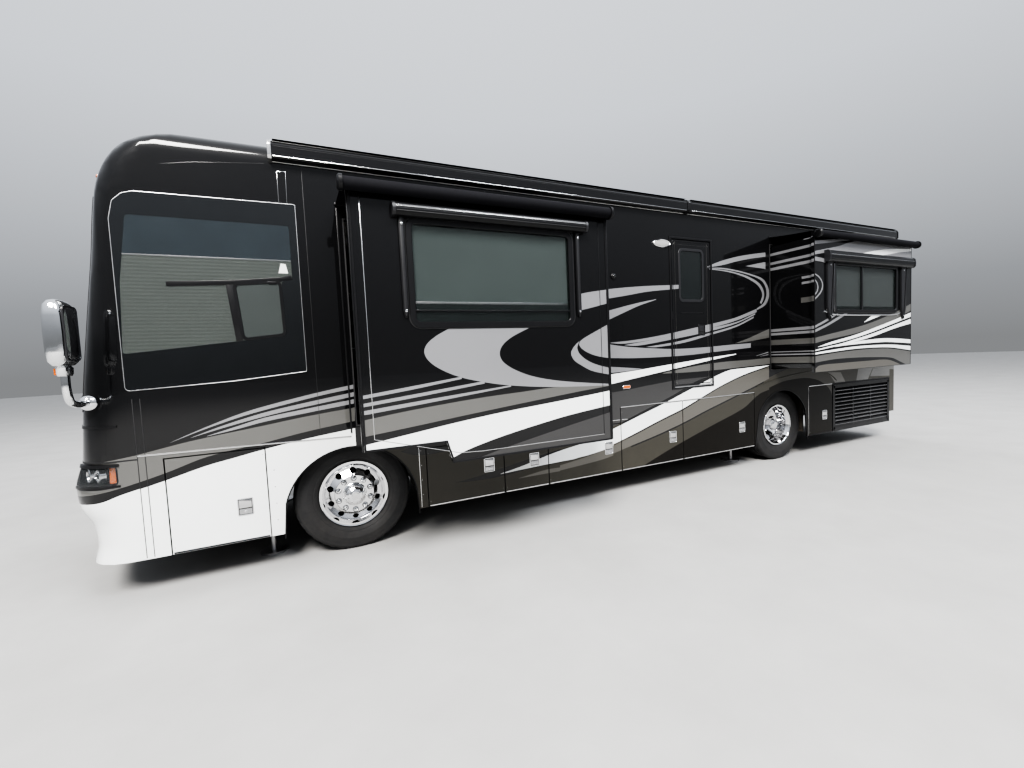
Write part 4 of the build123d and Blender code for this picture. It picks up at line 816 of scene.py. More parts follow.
def regions(panels):
    out = []
    for p, c, top, bottom in STRIPES:
        if p in panels:
            out.append((COLOUR[c], region(top, bottom)))
    return out


def lifted(poly):
    """The front slide's stripes eased up to meet the body's at their front end."""
    out = []
    for x, z in poly:
        t = min(max((x + 1.3) / 1.3, 0.0), 1.0)
        t = t * t * (3 - 2 * t)
        out.append((x, z + t * (0.048 if z > 1.32 else 0.034)))
    return out


UNDER = ("paint_taupe", [(-0.10, 0.05), (-0.10, 1.02), (-2.9, 1.02), (-3.3, 0.05)])
TAIL_R = [(COLOUR[c], region(t, b)) for c, t, b in TAIL]
HIDDEN = LINKS[:3] + [("dgrey", [(-2.262, 1.130), (-2.820, 1.222)], [(-2.262, 0.856), (-2.820, 0.866)])] + LINKS[4:]
LEFT_R = [UNDER] + TAIL_R + [(COLOUR[c], region(t, b)) for c, t, b in HIDDEN] + regions("B")
BAND = ("paint_ltaupe", region([(-5.565, 1.328), (-6.6, 1.300), (-7.831, 1.224), (-8.95, 1.150)], [(-5.562, 1.184), (-6.6, 1.190), (-7.83, 1.130), (-8.95, 1.060)]))
DARK = ("paint_dbrown", region([(-5.56, 1.055), (-6.4, 1.085), (-7.2, 1.020), (-8.95, 0.900)], None))
RIGHT_R = ([UNDER] + [TAIL_R[0], DARK] + TAIL_R[2:] + [(c, lifted(r)) for c, r in regions("F")] + regions("R")[:-1] + [BAND]
           + [(COLOUR[c], region(t, b)) for c, t, b in LINKS] + regions("B")[:-3])
FACE_F_R, FACE_R_R = regions("F"), regions("R")

# ------------------------------------------------------------------ the panels' outlines, as in the model
GAP = 0.008
LEFT_DOORS = [("front_service_door", 1.345, 0.673, 1.030), ("left_bay_door_1", -0.650, -1.450, 0.852),
              ("left_bay_door_2", -1.450, -1.970, 0.852), ("left_bay_door_3", -1.970, -2.950, 0.852),
              ("left_bay_door_4", -2.950, -3.920, 1.030), ("left_bay_door_5", -3.920, -5.250, 1.030),
              ("left_rear_door", -6.460, -7.040, 1.030), ("radiator_door", -7.040, -8.650, 1.030)]
RIGHT_DOORS = [("right_bay_door_1", -0.650, -2.300, 1.030), ("right_bay_door_2", -2.300, -3.950, 1.030),
               ("right_bay_door_3", -3.950, -5.250, 1.030), ("right_rear_door", -6.460, -8.650, 1.030)]
F_OPEN, R_OPEN = (-0.055, -2.215, 1.145, 2.925), (-5.610, -7.890, 1.340, 3.060)
EGRESS, ENTRY = (-3.790, -4.440, 1.220, 3.020), (1.388, 0.712, 0.410, 2.760)
EGRESS_GLASS, ENTRY_GLASS = (-3.925, -4.305, 2.290, 2.900), (1.290, 0.810, 1.700, 2.600)
LEFT_GLASS = [(1.245, 2.830), (0.376, 2.830), (0.390, 1.935), (0.803, 1.903), (1.478, 1.826)]
RIGHT_GLASS = [(0.430, -0.560, 1.900, 2.700), (-1.500, -2.900, 1.900, 2.700), (-3.950, -4.450, 2.200, 2.750),
               (-6.200, -7.500, 1.950, 2.700)]
F_FACE_OUT = [(-0.020, 2.990), (-2.250, 2.990), (-2.250, 0.860), (-0.690, 0.860), (-0.640, 1.030), (-0.020, 1.030)]
R_FACE_OUT = [(-5.590, 1.300), (-7.910, 1.300), (-7.910, 3.100), (-5.590, 3.100)]
F_GLASS, R_GLASS = (-0.453, -1.840, 1.970, 2.720), (-6.026, -7.490, 2.100, 2.700)


def arc3(a, m, b, n=20):
    """Points of the circle arc from a through m to b."""
    (x1, y1), (x2, y2), (x3, y3) = a, m, b
    d = 2 * (x1 * (y2 - y3) + x2 * (y3 - y1) + x3 * (y1 - y2))
    ux = ((x1**2 + y1**2) * (y2 - y3) + (x2**2 + y2**2) * (y3 - y1) + (x3**2 + y3**2) * (y1 - y2)) / d
    uy = ((x1**2 + y1**2) * (x3 - x2) + (x2**2 + y2**2) * (x1 - x3) + (x3**2 + y3**2) * (x2 - x1)) / d
    r = math.hypot(x1 - ux, y1 - uy)
    t1, t2, t3 = (math.atan2(y - uy, x - ux) for x, y in (a, m, b))
    while t3 < t1:
        t3 += 2 * math.pi
    while t2 < t1:
        t2 += 2 * math.pi
    if t2 > t3:
        t3 -= 2 * math.pi
    return [(ux + r * math.cos(t1 + (t3 - t1) * k / n), uy + r * math.sin(t1 + (t3 - t1) * k / n)) for k in range(n + 1)]


ARCH_F = [(0.574, 0.250)] + arc3((0.549, 0.545), (0.005, 0.957), (-0.545, 0.480), 28) + [(-0.560, 0.250)]
ARCH_R = [(-5.262, 0.250)] + arc3((-5.337, 0.711), (-5.870, 1.026), (-6.372, 0.697), 28) + [(-6.420, 0.250)]


def rc(q, grow=0.0):
    x1, x0, z0, z1 = q
    return rect(x0 - grow, x1 + grow, z0 - grow, z1 + grow)


SIDE_OUT = [(-8.660, 0.290), (1.500, 0.290), (1.500, 3.020), (0.480, 3.020), (0.480, 3.340), (-8.660, 3.340)]


def wall_holes(doors):
    return [ARCH_F, ARCH_R] + [[(x0 - GAP / 2, 0.0), (x1 + GAP / 2, 0.0), (x1 + GAP / 2, zt + GAP), (x0 - GAP / 2, zt + GAP)] for _, x1, x0, zt in doors]


L, Rm = side(1), side(-1)
M = 0.0015   # bare edge left round each painted panel
decal("left_wall_paint", "root", L, SIDE_OUT, LEFT_R, wall_holes(LEFT_DOORS) + [rc(F_OPEN), rc(R_OPEN), rc(EGRESS, GAP), LEFT_GLASS])
decal("right_wall_paint", "root", Rm, SIDE_OUT, RIGHT_R, wall_holes(RIGHT_DOORS) + [rc(q) for q in RIGHT_GLASS]
      + [[(ENTRY[1] - GAP, 0.0), (ENTRY[0] + GAP, 0.0), (ENTRY[0] + GAP, ENTRY[3] + GAP), (ENTRY[1] - GAP, ENTRY[3] + GAP)]])
for doors, to, regs in ((LEFT_DOORS, L, LEFT_R), (RIGHT_DOORS, Rm, RIGHT_R)):
    for name, x1, x0, zt in doors:
        if name == "radiator_door":
            continue
        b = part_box(name)
        zb = b[0].z
        decal(name + "_paint", name, to, rect(x0 + GAP / 2 + M, x1 - GAP / 2 - M, zb + M, b[1].z - M), regs, slot="paint_taupe")
decal("egress_door_paint", "egress_door", L, rc(EGRESS, -M), LEFT_R, [rc(EGRESS_GLASS)])
decal("entry_door_paint", "entry_door", Rm, rc(ENTRY, -M), RIGHT_R, [rc(ENTRY_GLASS)])
decal("front_slide_paint", "front_slide", side(1, F_FACE), inset(F_FACE_OUT, M), FACE_F_R, [rc(F_GLASS)])
decal("rear_slide_paint", "rear_slide", side(1, R_FACE), inset(R_FACE_OUT, M), FACE_R_R, [rc(R_GLASS)])

# stripes carried round the rear slide-out's end walls: inner y, outer y, low z, high z
WRAP = [(1.74, 1.90, 3.022, 3.034), (1.20, 1.90, 2.912, 2.948), (1.20, 1.90, 2.790, 2.826), (1.20, 1.90, 2.711, 2.750),
        (1.714, 1.90, 2.525, 2.556), (1.714, 1.90, 2.455, 2.486), (1.703, 1.90, 2.215, 2.284), (1.20, 1.90, 1.862, 1.902),
        (1.20, 1.90, 1.812, 1.846), (1.20, 1.90, 1.678, 1.750), (1.20, 1.90, 1.574, 1.588), (1.20, 1.90, 1.534, 1.552),
        (1.20, 1.90, 1.427, 1.510)]
for k, (x, s) in enumerate(((-5.630, 1), (-7.870, -1))):
    w = Shape()
    for y0, y1, z0, z1 in WRAP:
        mat = "paint_grey" if z1 - z0 > 0.06 else "paint_silver"
        w.add(prism(rect(y0, 1.859, z0, z1), across(x, s), -0.0004, 0.0009), mat)
        w.add(prism(rect(1.861, 1.8995, z0, z1), across(-5.590 if s > 0 else -7.910, s), -0.0004, 0.0009), mat)
    w.make(f"rear_slide_end_paint_{k + 1}", "rear_slide", slot="stripe_grey")

# ------------------------------------------------------------------ the nose
NOSE_ROWS = [(1.050, 2.060, 0.280), (1.55, 2.016, 0.246), (2.100, 1.950, 0.200), (2.55, 1.893, 0.160), (3.020, 1.840, 0.120), (3.200, 1.785, 0.140), (3.340, 1.700, 0.180),
             (3.450, 1.560, 0.220), (3.540, 1.360, 0.250), (3.604, 1.000, 0.250), (3.6195, 0.60, 0.20)]
BUMPER_ROWS = [(0.290, 2.045, 0.280), (0.420, 2.018, 0.280), (0.560, 2.030, 0.280), (0.720, 2.100, 0.290),
               (0.850, 2.112, 0.290), (1.050, 2.060, 0.280)]
EDGE_Y, EDGE_Z, TAN_Z = 1.135, 3.34859, 3.50547


def roof_y(z):
    """Half width of the roof section at height z."""
    if z <= EDGE_Z:
        return HALF_W
    if z <= TAN_Z:
        return EDGE_Y + math.sqrt(max(0.160**2 - (z - EDGE_Z) ** 2, 0))
    return math.sqrt(max(36.0 - (z + 2.380) ** 2, 0))


EDGE_ARC = 0.160 * math.asin((TAN_Z - EDGE_Z) / 0.160)
CROWN = 6.0 * math.acos((TAN_Z + 2.380) / 6.0)


def girth(z):
    """Height z as a length along the body's section: up the wall, round the roof's edge and in to the crown."""
    if z <= EDGE_Z:
        return z
    if z <= TAN_Z:
        return EDGE_Z + 0.160 * math.asin((z - EDGE_Z) / 0.160)
    return EDGE_Z + EDGE_ARC + CROWN - 6.0 * math.acos(min((z + 2.380) / 6.0, 1.0))


def height(g):
    """The height at a length along the section."""
    if g <= EDGE_Z:
        return g
    if g <= EDGE_Z + EDGE_ARC:
        return EDGE_Z + 0.160 * math.sin((g - EDGE_Z) / 0.160)
    return 6.0 * math.cos(max(EDGE_Z + EDGE_ARC + CROWN - g, 0.0) / 6.0) - 2.380


def smooth_rows(rows):
    z = np.array([r[0] for r in rows])
    cols = [np.array([r[i] for r in rows]) for i in (1, 2)]

    def at(h):
        out = []
        for c in cols:
            m = np.zeros(len(z))
            d = np.diff(c) / np.diff(z)
            for i in range(1, len(z) - 1):
                m[i] = 0 if d[i - 1] * d[i] <= 0 else 2 * d[i - 1] * d[i] / (d[i - 1] + d[i])
            m[0], m[-1] = d[0], d[-1]
            i = int(min(max(np.searchsorted(z, h) - 1, 0), len(z) - 2))
            L_ = z[i + 1] - z[i]
            t = min(max((h - z[i]) / L_, 0), 1)
            out.append((2 * t**3 - 3 * t**2 + 1) * c[i] + (t**3 - 2 * t**2 + t) * L_ * m[i] + (-2 * t**3 + 3 * t**2) * c[i + 1] + (t**3 - t**2) * L_ * m[i + 1])
        return out
    return at


cap_at, bumper_at = smooth_rows(NOSE_ROWS), smooth_rows(BUMPER_ROWS)
RF = 3.400


def nose_point(s, z, at, off=0.0, back=1.500):
    """A point of the left half of the nose: s runs forward from the seam (s = x) and on round the corner to the middle."""
    xc, r = at(z)
    w = roof_y(z)
    xc, w2 = xc - off, w - off
    r = max(min(r, w * 0.85) - off, 0.03)
    if w2 < 0.01:
        w2 = 0.01
    cx = xc - RF + math.sqrt((RF - r) ** 2 - (w2 - r) ** 2)
    cy = w2 - r
    if s <= cx:
        return (s, w2, z), (0, 1, 0)
    k = math.atan2(cy, cx - (xc - RF))       # angle of the corner centre seen from the front arc's centre
    sweep_a = math.pi / 2 - k
    a = (s - cx) / r
    if a <= sweep_a:
        t = math.pi / 2 - a
        return (cx + r * math.cos(t), cy + r * math.sin(t), z), (math.cos(t), math.sin(t), 0)
    rest = s - cx - sweep_a * r
    t = max(k - rest / RF, 0.0)
    return (xc - RF + RF * math.cos(t), RF * math.sin(t), z), (math.cos(t), math.sin(t), 0)


def nose_length(z, at, off=0.0):
    xc, r = at(z)
    w = roof_y(z)
    r = max(min(r, w * 0.85), 0.03)
    cx = xc - RF + math.sqrt((RF - r) ** 2 - (w - r) ** 2)
    k = math.atan2(w - r, cx - (xc - RF))
    return cx + (math.pi / 2 - k) * r + k * RF


def nose_skin(at, z_list, s0, hole=None, regs=(), off=0.0, step=0.09, base="paint_black", extra_lines=()):
    """The left half of a nose shell: triangles in (s, z) cut along painted areas, with a grid fine enough for the corner."""
    zs = list(z_list)
    edge = [(nose_length(z, at), z) for z in zs]

    def walk(z):
        e, c0, s, out = nose_length(z, at), at(z)[0] - 0.30, s0(z) + 0.02, []
        while s < e - 0.012:
            out.append((s, z))
            s += step * (0.30 if c0 < s < c0 + 0.75 else 1.0)
        return out

    outline = [(s0(zs[0]), zs[0])] + walk(zs[0]) + edge + walk(zs[-1])[::-1] + [(s0(z), z) for z in zs[::-1]][:-1]
    grid = [(s, girth(z)) for z in zs[1:-1] for s, z in walk(z)]
    outline = [(s, girth(z)) for s, z in outline]
    holes = [hole] if hole else []
    if hole:
        grid = [g for g, ok in zip(grid, inside(inset(hole, -0.008), np.array(grid))) if not ok]
    v, f, colour = cut_flat(outline, holes, regs, extra=grid, lines=extra_lines)
    colour = np.array([c or base for c in colour], object)
    v[:, 1] = [height(g) for g in v[:, 1]]
    return v, f, colour


def nose_shell(name, at, zs, s0, thick, regs=(), hole=None, base="paint_black", body="root", slot="paint_black", replaces=(), step=0.09):
    """Both halves of the nose as one closed shell with its inner face, coloured outside."""
    v, f, colour = nose_skin(at, zs, s0, hole, regs, base=base, step=step)
    verts, faces, cols, key = [], [], [], {}
    n = len(v)
    mid_tol = 0.0016

    def put(p):
        k = (round(p[0], 5), round(p[1], 5), round(p[2], 5))
        if k not in key:
            key[k] = len(verts)
            verts.append(p)
        return key[k]

    idx = {}
    for side_s in (1, -1):
        for layer in (0, 1):
            o = thick if layer else 0.0
            for i in range(n):
                s, z = v[i]
                zz = z
                (x, y, z2), nrm = nose_point(s, zz, at)
                if layer:
                    x, y = x - nrm[0] * thick, y - nrm[1] * thick
                    if z > 3.3:
                        z2 = z - thick * min((z - 3.3) / 0.2, 1.0)
                        y = min(y, max(roof_y(z) - 0.7 * thick, 0.0)) if z > 3.5 else y
                    y = max(y, 0.0)
                if s >= nose_length(z, at) - mid_tol or z > 3.61998:
                    y = 0.0
                idx[(side_s, layer, i)] = put((x, side_s * y, z2))
    count = {}
    for side_s in (1, -1):
        for t, c in zip(f, colour):
            tri = [int(k) for k in t]
            a = [idx[(side_s, 0, k)] for k in tri]
            b = [idx[(side_s, 1, k)] for k in tri]
            if len(set(a)) < 3:
                continue
            if side_s > 0:
                a, b = a[::-1], b[::-1]
            faces.append(a)
            cols.append(c)
            if len(set(b)) == 3:
                faces.append(b[::-1])
                cols.append("black_plastic")
            for i in range(3):
                e = (a[i], a[(i + 1) % 3])
                g = (b[i], b[(i + 1) % 3])
                if (e[1], e[0]) in count:
                    del count[(e[1], e[0])]
                else:
                    count[e] = g
    for (a0, a1), (b0, b1) in count.items():
        q = [a1, a0, b0, b1]
        if len(set(q)) >= 3:
            faces.append(list(dict.fromkeys(q)))
            cols.append("black_plastic")
    sh = Shape()
    sh.v = verts
    for fc, c in zip(faces, cols):
        sh.f.append(fc)
        sh.m.append(sh.slot_of(c))
        sh.s.append(c != "black_plastic")
    ob = sh.make(name, body, slot=slot, replaces=replaces, sharp=38, recalc=True)
    return ob


def cap_back(z):
    """Rear edge of the cap at height z."""
    return 1.500 if z < 3.020 else 0.480


CAP_Z = [1.052 + 0.06 * k for k in range(33)] + [3.018]
# lower cap, below the step in its rear edge
NOSE_R = [
    ("paint_grey", region([(1.40, 1.100), (1.532, 1.079), (1.788, 1.043), (2.0, 1.00), (2.6, 0.985), (3.6, 0.985)],
                          [(1.40, 0.907), (1.609, 0.854), (1.806, 0.821), (2.2, 0.795), (2.8, 0.790), (3.6, 0.790)])),
    ("paint_white", region([(1.40, 0.855), (1.613, 0.802), (1.732, 0.763), (1.845, 0.751), (2.2, 0.735), (2.8, 0.730), (3.6, 0.730)],
                           [(1.40, 0.10), (3.6, 0.10)])),
]


def ws_outline(grow=0.0, n=18):
    """The windshield opening in the nose's (s, z): half width 1.11, from 1.45 to 2.96, corner radius 0.09."""
    out = []
    pts = rect(-1.110 - grow, 1.110 + grow, 1.450 - grow, 2.960 + grow, 0.090 + grow, 6)
    half = [(y, z) for y, z in pts if y > 0]
    half = sorted([p for p in half if p[1] < 2.2], key=lambda p: p[0]) + [(1.110 + grow, 1.450 + 0.09 + 1.33 * k / n) for k in range(1, n)] + sorted([p for p in half if p[1] >= 2.2], key=lambda p: -p[0])
    for y, z in half:
        out.append((s_at_y(y, z), z))
    e0, e1 = nose_length(1.450 - grow, cap_at) + 0.05, nose_length(2.960 + grow, cap_at) + 0.05
    m = 14
    bottom = [(e0 - (e0 - out[0][0]) * k / m, 1.450 - grow) for k in range(m)]
    top = [(out[-1][0] + (e1 - out[-1][0]) * k / m, 2.960 + grow) for k in range(1, m + 1)]
    return bottom + out + top


def s_at_y(y, z, at=None):
    """The s of the nose point at half width y and height z."""
    at = at or cap_at
    lo, hi = 1.5, nose_length(z, at)
    for _ in range(40):
        m = (lo + hi) / 2
        if nose_point(m, z, at)[0][1] > y:
            lo = m
        else:
            hi = m
    return (lo + hi) / 2


WS_HOLE = ws_outline()
CAP_TOP_Z = ([3.0204, 3.06, 3.10, 3.15, 3.20, 3.25, 3.30, 3.33] + [height(EDGE_Z + EDGE_ARC * k / 14) for k in range(1, 15)]
             + [height(EDGE_Z + EDGE_ARC + CROWN * k / 20) for k in range(1, 20)] + [3.62])
nose_shell("front_cap_shell", cap_at, CAP_Z[:-1] + [3.0196] + CAP_TOP_Z, cap_back, 0.045, regs=NOSE_R, hole=WS_HOLE, replaces=("front_cap",))
nose_shell("front_bumper_skin", bumper_at, [0.290, 0.31, 0.34, 0.37, 0.40, 0.44, 0.48, 0.52, 0.56, 0.60, 0.64, 0.68, 0.72, 0.76, 0.80, 0.85, 0.90, 0.95, 1.00, 1.046],
           lambda z: 1.500, 0.035, regs=NOSE_R, base="paint_black", slot="paint_white", replaces=("front_bumper",),
           hole=rect(1.620, 1.985, 0.875, 1.020, 0.03, 4))


def line2(pts, w):
    """The outline of a polyline drawn w wide."""
    p = [Vector(q) for q in pts]
    left, right = [], []
    for i in range(len(p)):
        a, b = p[max(i - 1, 0)], p[min(i + 1, len(p) - 1)]
        d0 = (p[i] - a).normalized() if i else (b - p[i]).normalized()
        d1 = (b - p[i]).normalized() if i < len(p) - 1 else d0
        n0, n1 = Vector((-d0.y, d0.x)), Vector((-d1.y, d1.x))
        k = (n0 + n1).normalized()
        o = k * (w / 2 / max(k.dot(n0), 0.4))
        left.append(tuple(p[i] + o))
        right.append(tuple(p[i] - o))
    return left + right[::-1]


def strip(sh, pts, to, w, d1, mat, d0=-0.0005, r=None):
    """A moulding of width w standing up to d1 along a line on a panel, crowned."""
    sh.add(prism(line2(pts, w), to, d0, d1, min(w, d1 - d0) * 0.42 if r is None else r), mat, smooth=True)


def blob(sections, n=36, caps=True, order=(0, 1, 2)):
    """Superellipse rings (h, cu, cv, a, b, e) joined up; order says which axis u, v and h lie on."""
    verts, faces = [], []
    for h, cu, cv, a, b, e in sections:
        for i in range(n):
            t = 2 * math.pi * i / n
            c, s_ = math.cos(t), math.sin(t)
            p = (cu + a * math.copysign(abs(c) ** (2 / e), c), cv + b * math.copysign(abs(s_) ** (2 / e), s_), h)
            q = [0, 0, 0]
            for k, ax in enumerate(order):
                q[ax] = p[k]
            verts.append(tuple(q))
    m = len(sections)
    for k in range(m - 1):
        for i in range(n):
            j = (i + 1) % n
            faces.append([k * n + i, k * n + j, (k + 1) * n + j, (k + 1) * n + i])
    if caps:
        faces.append(list(range(n))[::-1])
        faces.append([(m - 1) * n + i for i in range(n)])
    return verts, faces


def latch(sh, x, z, to, w=0.112, h=0.142):
    """A flush paddle latch: bright frame, dark pocket, paddle and key cylinder; pocket and key slot are near black,
    partly painted shade.
    """
    o = rect(x - w / 2, x + w / 2, z - h / 2, z + h / 2, 0.010, 4)
    sh.add(ring(o, inset(o, 0.008), to, -0.0005, 0.0045, 0.0016), "chrome", True)
    sh.add(prism(inset(o, 0.0078), to, -0.0005, 0.0012), "hole_black")
    sh.add(prism(rect(x - w / 2 + 0.012, x + w / 2 - 0.012, z - h * 0.06, z + h / 2 - 0.012, 0.004, 3), to, 0.0010, 0.0040, 0.0012), "bright_trim", True)
    sh.add(prism(rect(x - w / 2 + 0.012, x + w / 2 - 0.012, z - h / 2 + 0.012, z - h * 0.12, 0.003, 3), to, 0.0010, 0.0026, 0.0008), "alu_satin", True)
    sh.add(prism([(x + a, z - h * 0.27 + b) for a, b in circle(0.009, 14)], to, 0.0024, 0.0044, 0.001), "chrome", True)
    sh.add(prism(rect(x - 0.0012, x + 0.0012, z - h * 0.27 - 0.005, z - h * 0.27 + 0.005), to, 0.0042, 0.0047), "hole_black")


def screws(sh, pts, to, r=0.0045, d=0.0006, mat="bright_trim"):
    for x, z in pts:
        sh.add(prism([(x + a, z + b) for a, b in circle(r, 10)], to, -0.0005, d + 0.0016, 0.0008), mat, True)
        # the slot is a near-black bar, painted shade
        sh.add(prism(rect(x - r * 0.7, x + r * 0.7, z - 0.0006, z + 0.0006), to, d, d + 0.0019), "hole_black")


# ------------------------------------------------------------------ driver's side wall
w = Shape()
# cab window: a flush bonded panel with a blacked border, the blind behind its clear part, bar, sliding pane, bright outline
CW_OUT = rounded([(1.530, 1.560), (1.528, 2.800), (1.500, 2.930), (1.440, 2.988), (1.376, 3.007), (0.318, 3.015), (0.320, 1.640), (0.840, 1.592)], [0.03, 0, 0.05, 0.05, 0.03, 0.012, 0.012, 0], 4)
CW_VIS = rounded([(1.436, 2.838), (0.376, 2.837), (0.378, 2.416), (0.458, 2.380), (0.460, 1.944), (0.788, 1.907), (1.524, 1.830), (1.500, 2.35)], [0.03, 0.02, 0.01, 0.01, 0.02, 0, 0.02, 0], 4)
v, f, colour = cut_flat(CW_OUT, [CW_VIS], [("glass_dark", inset(CW_OUT, -0.01))])
for c, part in skin(v, f, colour, L, 0.0008, 0.0042).items():
    w.add(part, c)
CW_BLIND = [(1.4736, 2.551), (0.3773, 2.551), (0.378, 2.416), (0.458, 2.380), (0.460, 1.944), (0.788, 1.907), (1.524, 1.830), (1.500, 2.350)]
# above the blind, an opaque bluish plate: partly glass tint, partly painted sky reflection
w.add(prism([(1.436, 2.838), (0.376, 2.837), (0.3773, 2.553), (1.4733, 2.553)], L, 0.0006, 0.0028), "glass_upper")
w.add(prism(CW_VIS, L, 0.0032, 0.0040), "glass_light")
strip(w, [(1.4736, 2.553), (0.3773, 2.553)], L, 0.012, 0.0031, "alu_satin", d0=0.0004, r=0.001)
strip(w, [(0.828, 2.366), (0.785, 1.903)], L, 0.048, 0.0056, "satin_black", d0=0.003)
strip(w, CW_OUT + CW_OUT[:1], L, 0.0050, 0.0056, "alu_satin", d0=0.0)
strip(w, [(1.229, 2.345), (0.810, 2.367), (0.470, 2.400), (0.380, 2.421)], L, 0.036, 0.0060, "satin_black", d0=0.003)
sl = rounded([(0.795, 2.355), (0.470, 2.384), (0.462, 1.950), (0.758, 1.918)], 0.035, 5)
w.add(ring(inset(sl, -0.012), inset(sl, 0.012), L, 0.003, 0.0064, 0.0012), "satin_black", True)
w.add(prism([(0.475, 2.452), (0.405, 2.452), (0.420, 2.525), (0.455, 2.530)], L, 0.0040, 0.0050), "white_plastic")
w.add(prism(rect(0.500, 0.560, 2.362, 2.382, 0.004, 3), L, 0.005, 0.012, 0.003), "satin_black", True)
strip(w, [(0.435, 3.018), (0.432, 3.268), (0.371, 3.274), (0.375, 3.018)], L, 0.0045, 0.0022, "bright_trim")
strip(w, [(1.20, 3.225), (0.996, 3.265), (0.518, 3.320)], L, 0.003, 0.0012, "paint_dgrey")
strip(w, [(0.250, 3.338), (0.250, 1.10)], L, 0.004, 0.0012, "seam_black")
# seams near the nose
for xs_ in (1.4985, 1.452):
    strip(w, [(xs_, 1.500), (xs_, 0.30)], L, 0.0055, 0.0014, "seam_black")
# belt mouldings
for a, b in (((1.498, 1.075), (0.655, 1.062)), ((0.655, 1.062), (0.002, 1.048)), ((-2.262, 0.905), (-2.938, 0.8947)), ((-2.955, 1.040), (-3.915, 1.040)), ((-3.925, 1.040), (-5.245, 1.040))):
    strip(w, [a, b], L, 0.012, 0.005, "bright_trim")
strip(w, [(-6.462, 1.040), (-7.036, 1.040)], L, 0.012, 0.005, "bright_trim")
strip(w, [(-7.044, 1.042), (-8.646, 1.042)], L, 0.012, 0.005, "satin_black")
# gasket lines down each side of the slide-out openings
for q in (F_OPEN, R_OPEN):
    o = rc(q)
    w.add(ring(inset(o, -0.014), inset(o, -0.0005), L, -0.0005, 0.006, 0.002), "rubber", True)
strip(w, [(-2.266, 3.00), (-2.266, 0.90)], L, 0.010, 0.005, "satin_black")
strip(w, [(-0.002, 3.02), (-0.002, 1.076)], L, 0.014, 0.005, "satin_black")
# porch light: oval bright bezel and lens
ov = [(-3.636 + a * 8.0, 2.960 + b * 2.9) for a, b in circle(0.0165, 40)]
w.add(ring(ov, inset(ov, 0.013), L, -0.0005, 0.020, 0.006), "chrome", True)
w.add(prism(inset(ov, 0.012), L, -0.0005, 0.014, 0.006), "lens_white", True)
# camera dome
w.add(blob([(HALF_W - 0.002, -2.907, 2.544, 0.034, 0.034, 2), (HALF_W + 0.012, -2.907, 2.544, 0.033, 0.033, 2), (HALF_W + 0.018, -2.907, 2.544, 0.026, 0.026, 2)], 28, order=(0, 2, 1)), "satin_black", True)
w.add(blob([(HALF_W + 0.016, -2.907, 2.544, 0.022, 0.022, 2), (HALF_W + 0.027, -2.907, 2.544, 0.018, 0.018, 2), (HALF_W + 0.034, -2.907, 2.544, 0.008, 0.008, 2)], 24, order=(0, 2, 1)), "glass_dark", True)
# marker lamps
for x, z in ((-3.05, 1.270), (-8.45, 1.270)):
    o = rect(x - 0.052, x + 0.052, z - 0.016, z + 0.016, 0.014, 5)
    w.add(ring(inset(o, -0.005), inset(o, 0.002), L, -0.0005, 0.006, 0.002), "chrome", True)
    w.add(prism(o, L, -0.0005, 0.010, 0.005), "lens_amber", True)
# door frame and flare edge
o = rc(EGRESS, 0.0)
w.add(ring(inset(o, -0.034), inset(o, -0.010), L, -0.0005, 0.009, 0.003), "satin_black", True)
strip(w, [(-3.80, 1.212), (-4.43, 1.212)], L, 0.012, 0.012, "alu_satin")
strip(w, curve([(-5.300, 1.120), (-5.50, 1.160), (-5.965, 1.222), (-6.554, 1.262), (-6.90, 1.220), (-7.043, 1.157), (-7.152, 1.085)], 6), L, 0.012, 0.009, "paint_taupe")
for pts in (ARCH_F, ARCH_R):
    strip(w, pts, L, 0.012, 0.006, "satin_black")
    strip(w, pts, Rm, 0.012, 0.006, "satin_black")
# upright joints of the lower panels beside the arches
strip(w, [(-0.583, 1.03), (-0.583, 0.30)], L, 0.006, 0.003, "bright_trim")
strip(w, [(-6.452, 1.03), (-6.452, 0.30)], L, 0.006, 0.003, "bright_trim")
screws(w, [(-0.60, 0.42 + 0.14 * k) for k in range(4)] + [(0.62, 0.42 + 0.14 * k) for k in range(4)], L)
w.make("left_wall_trim", "root", slot="trim_chrome")

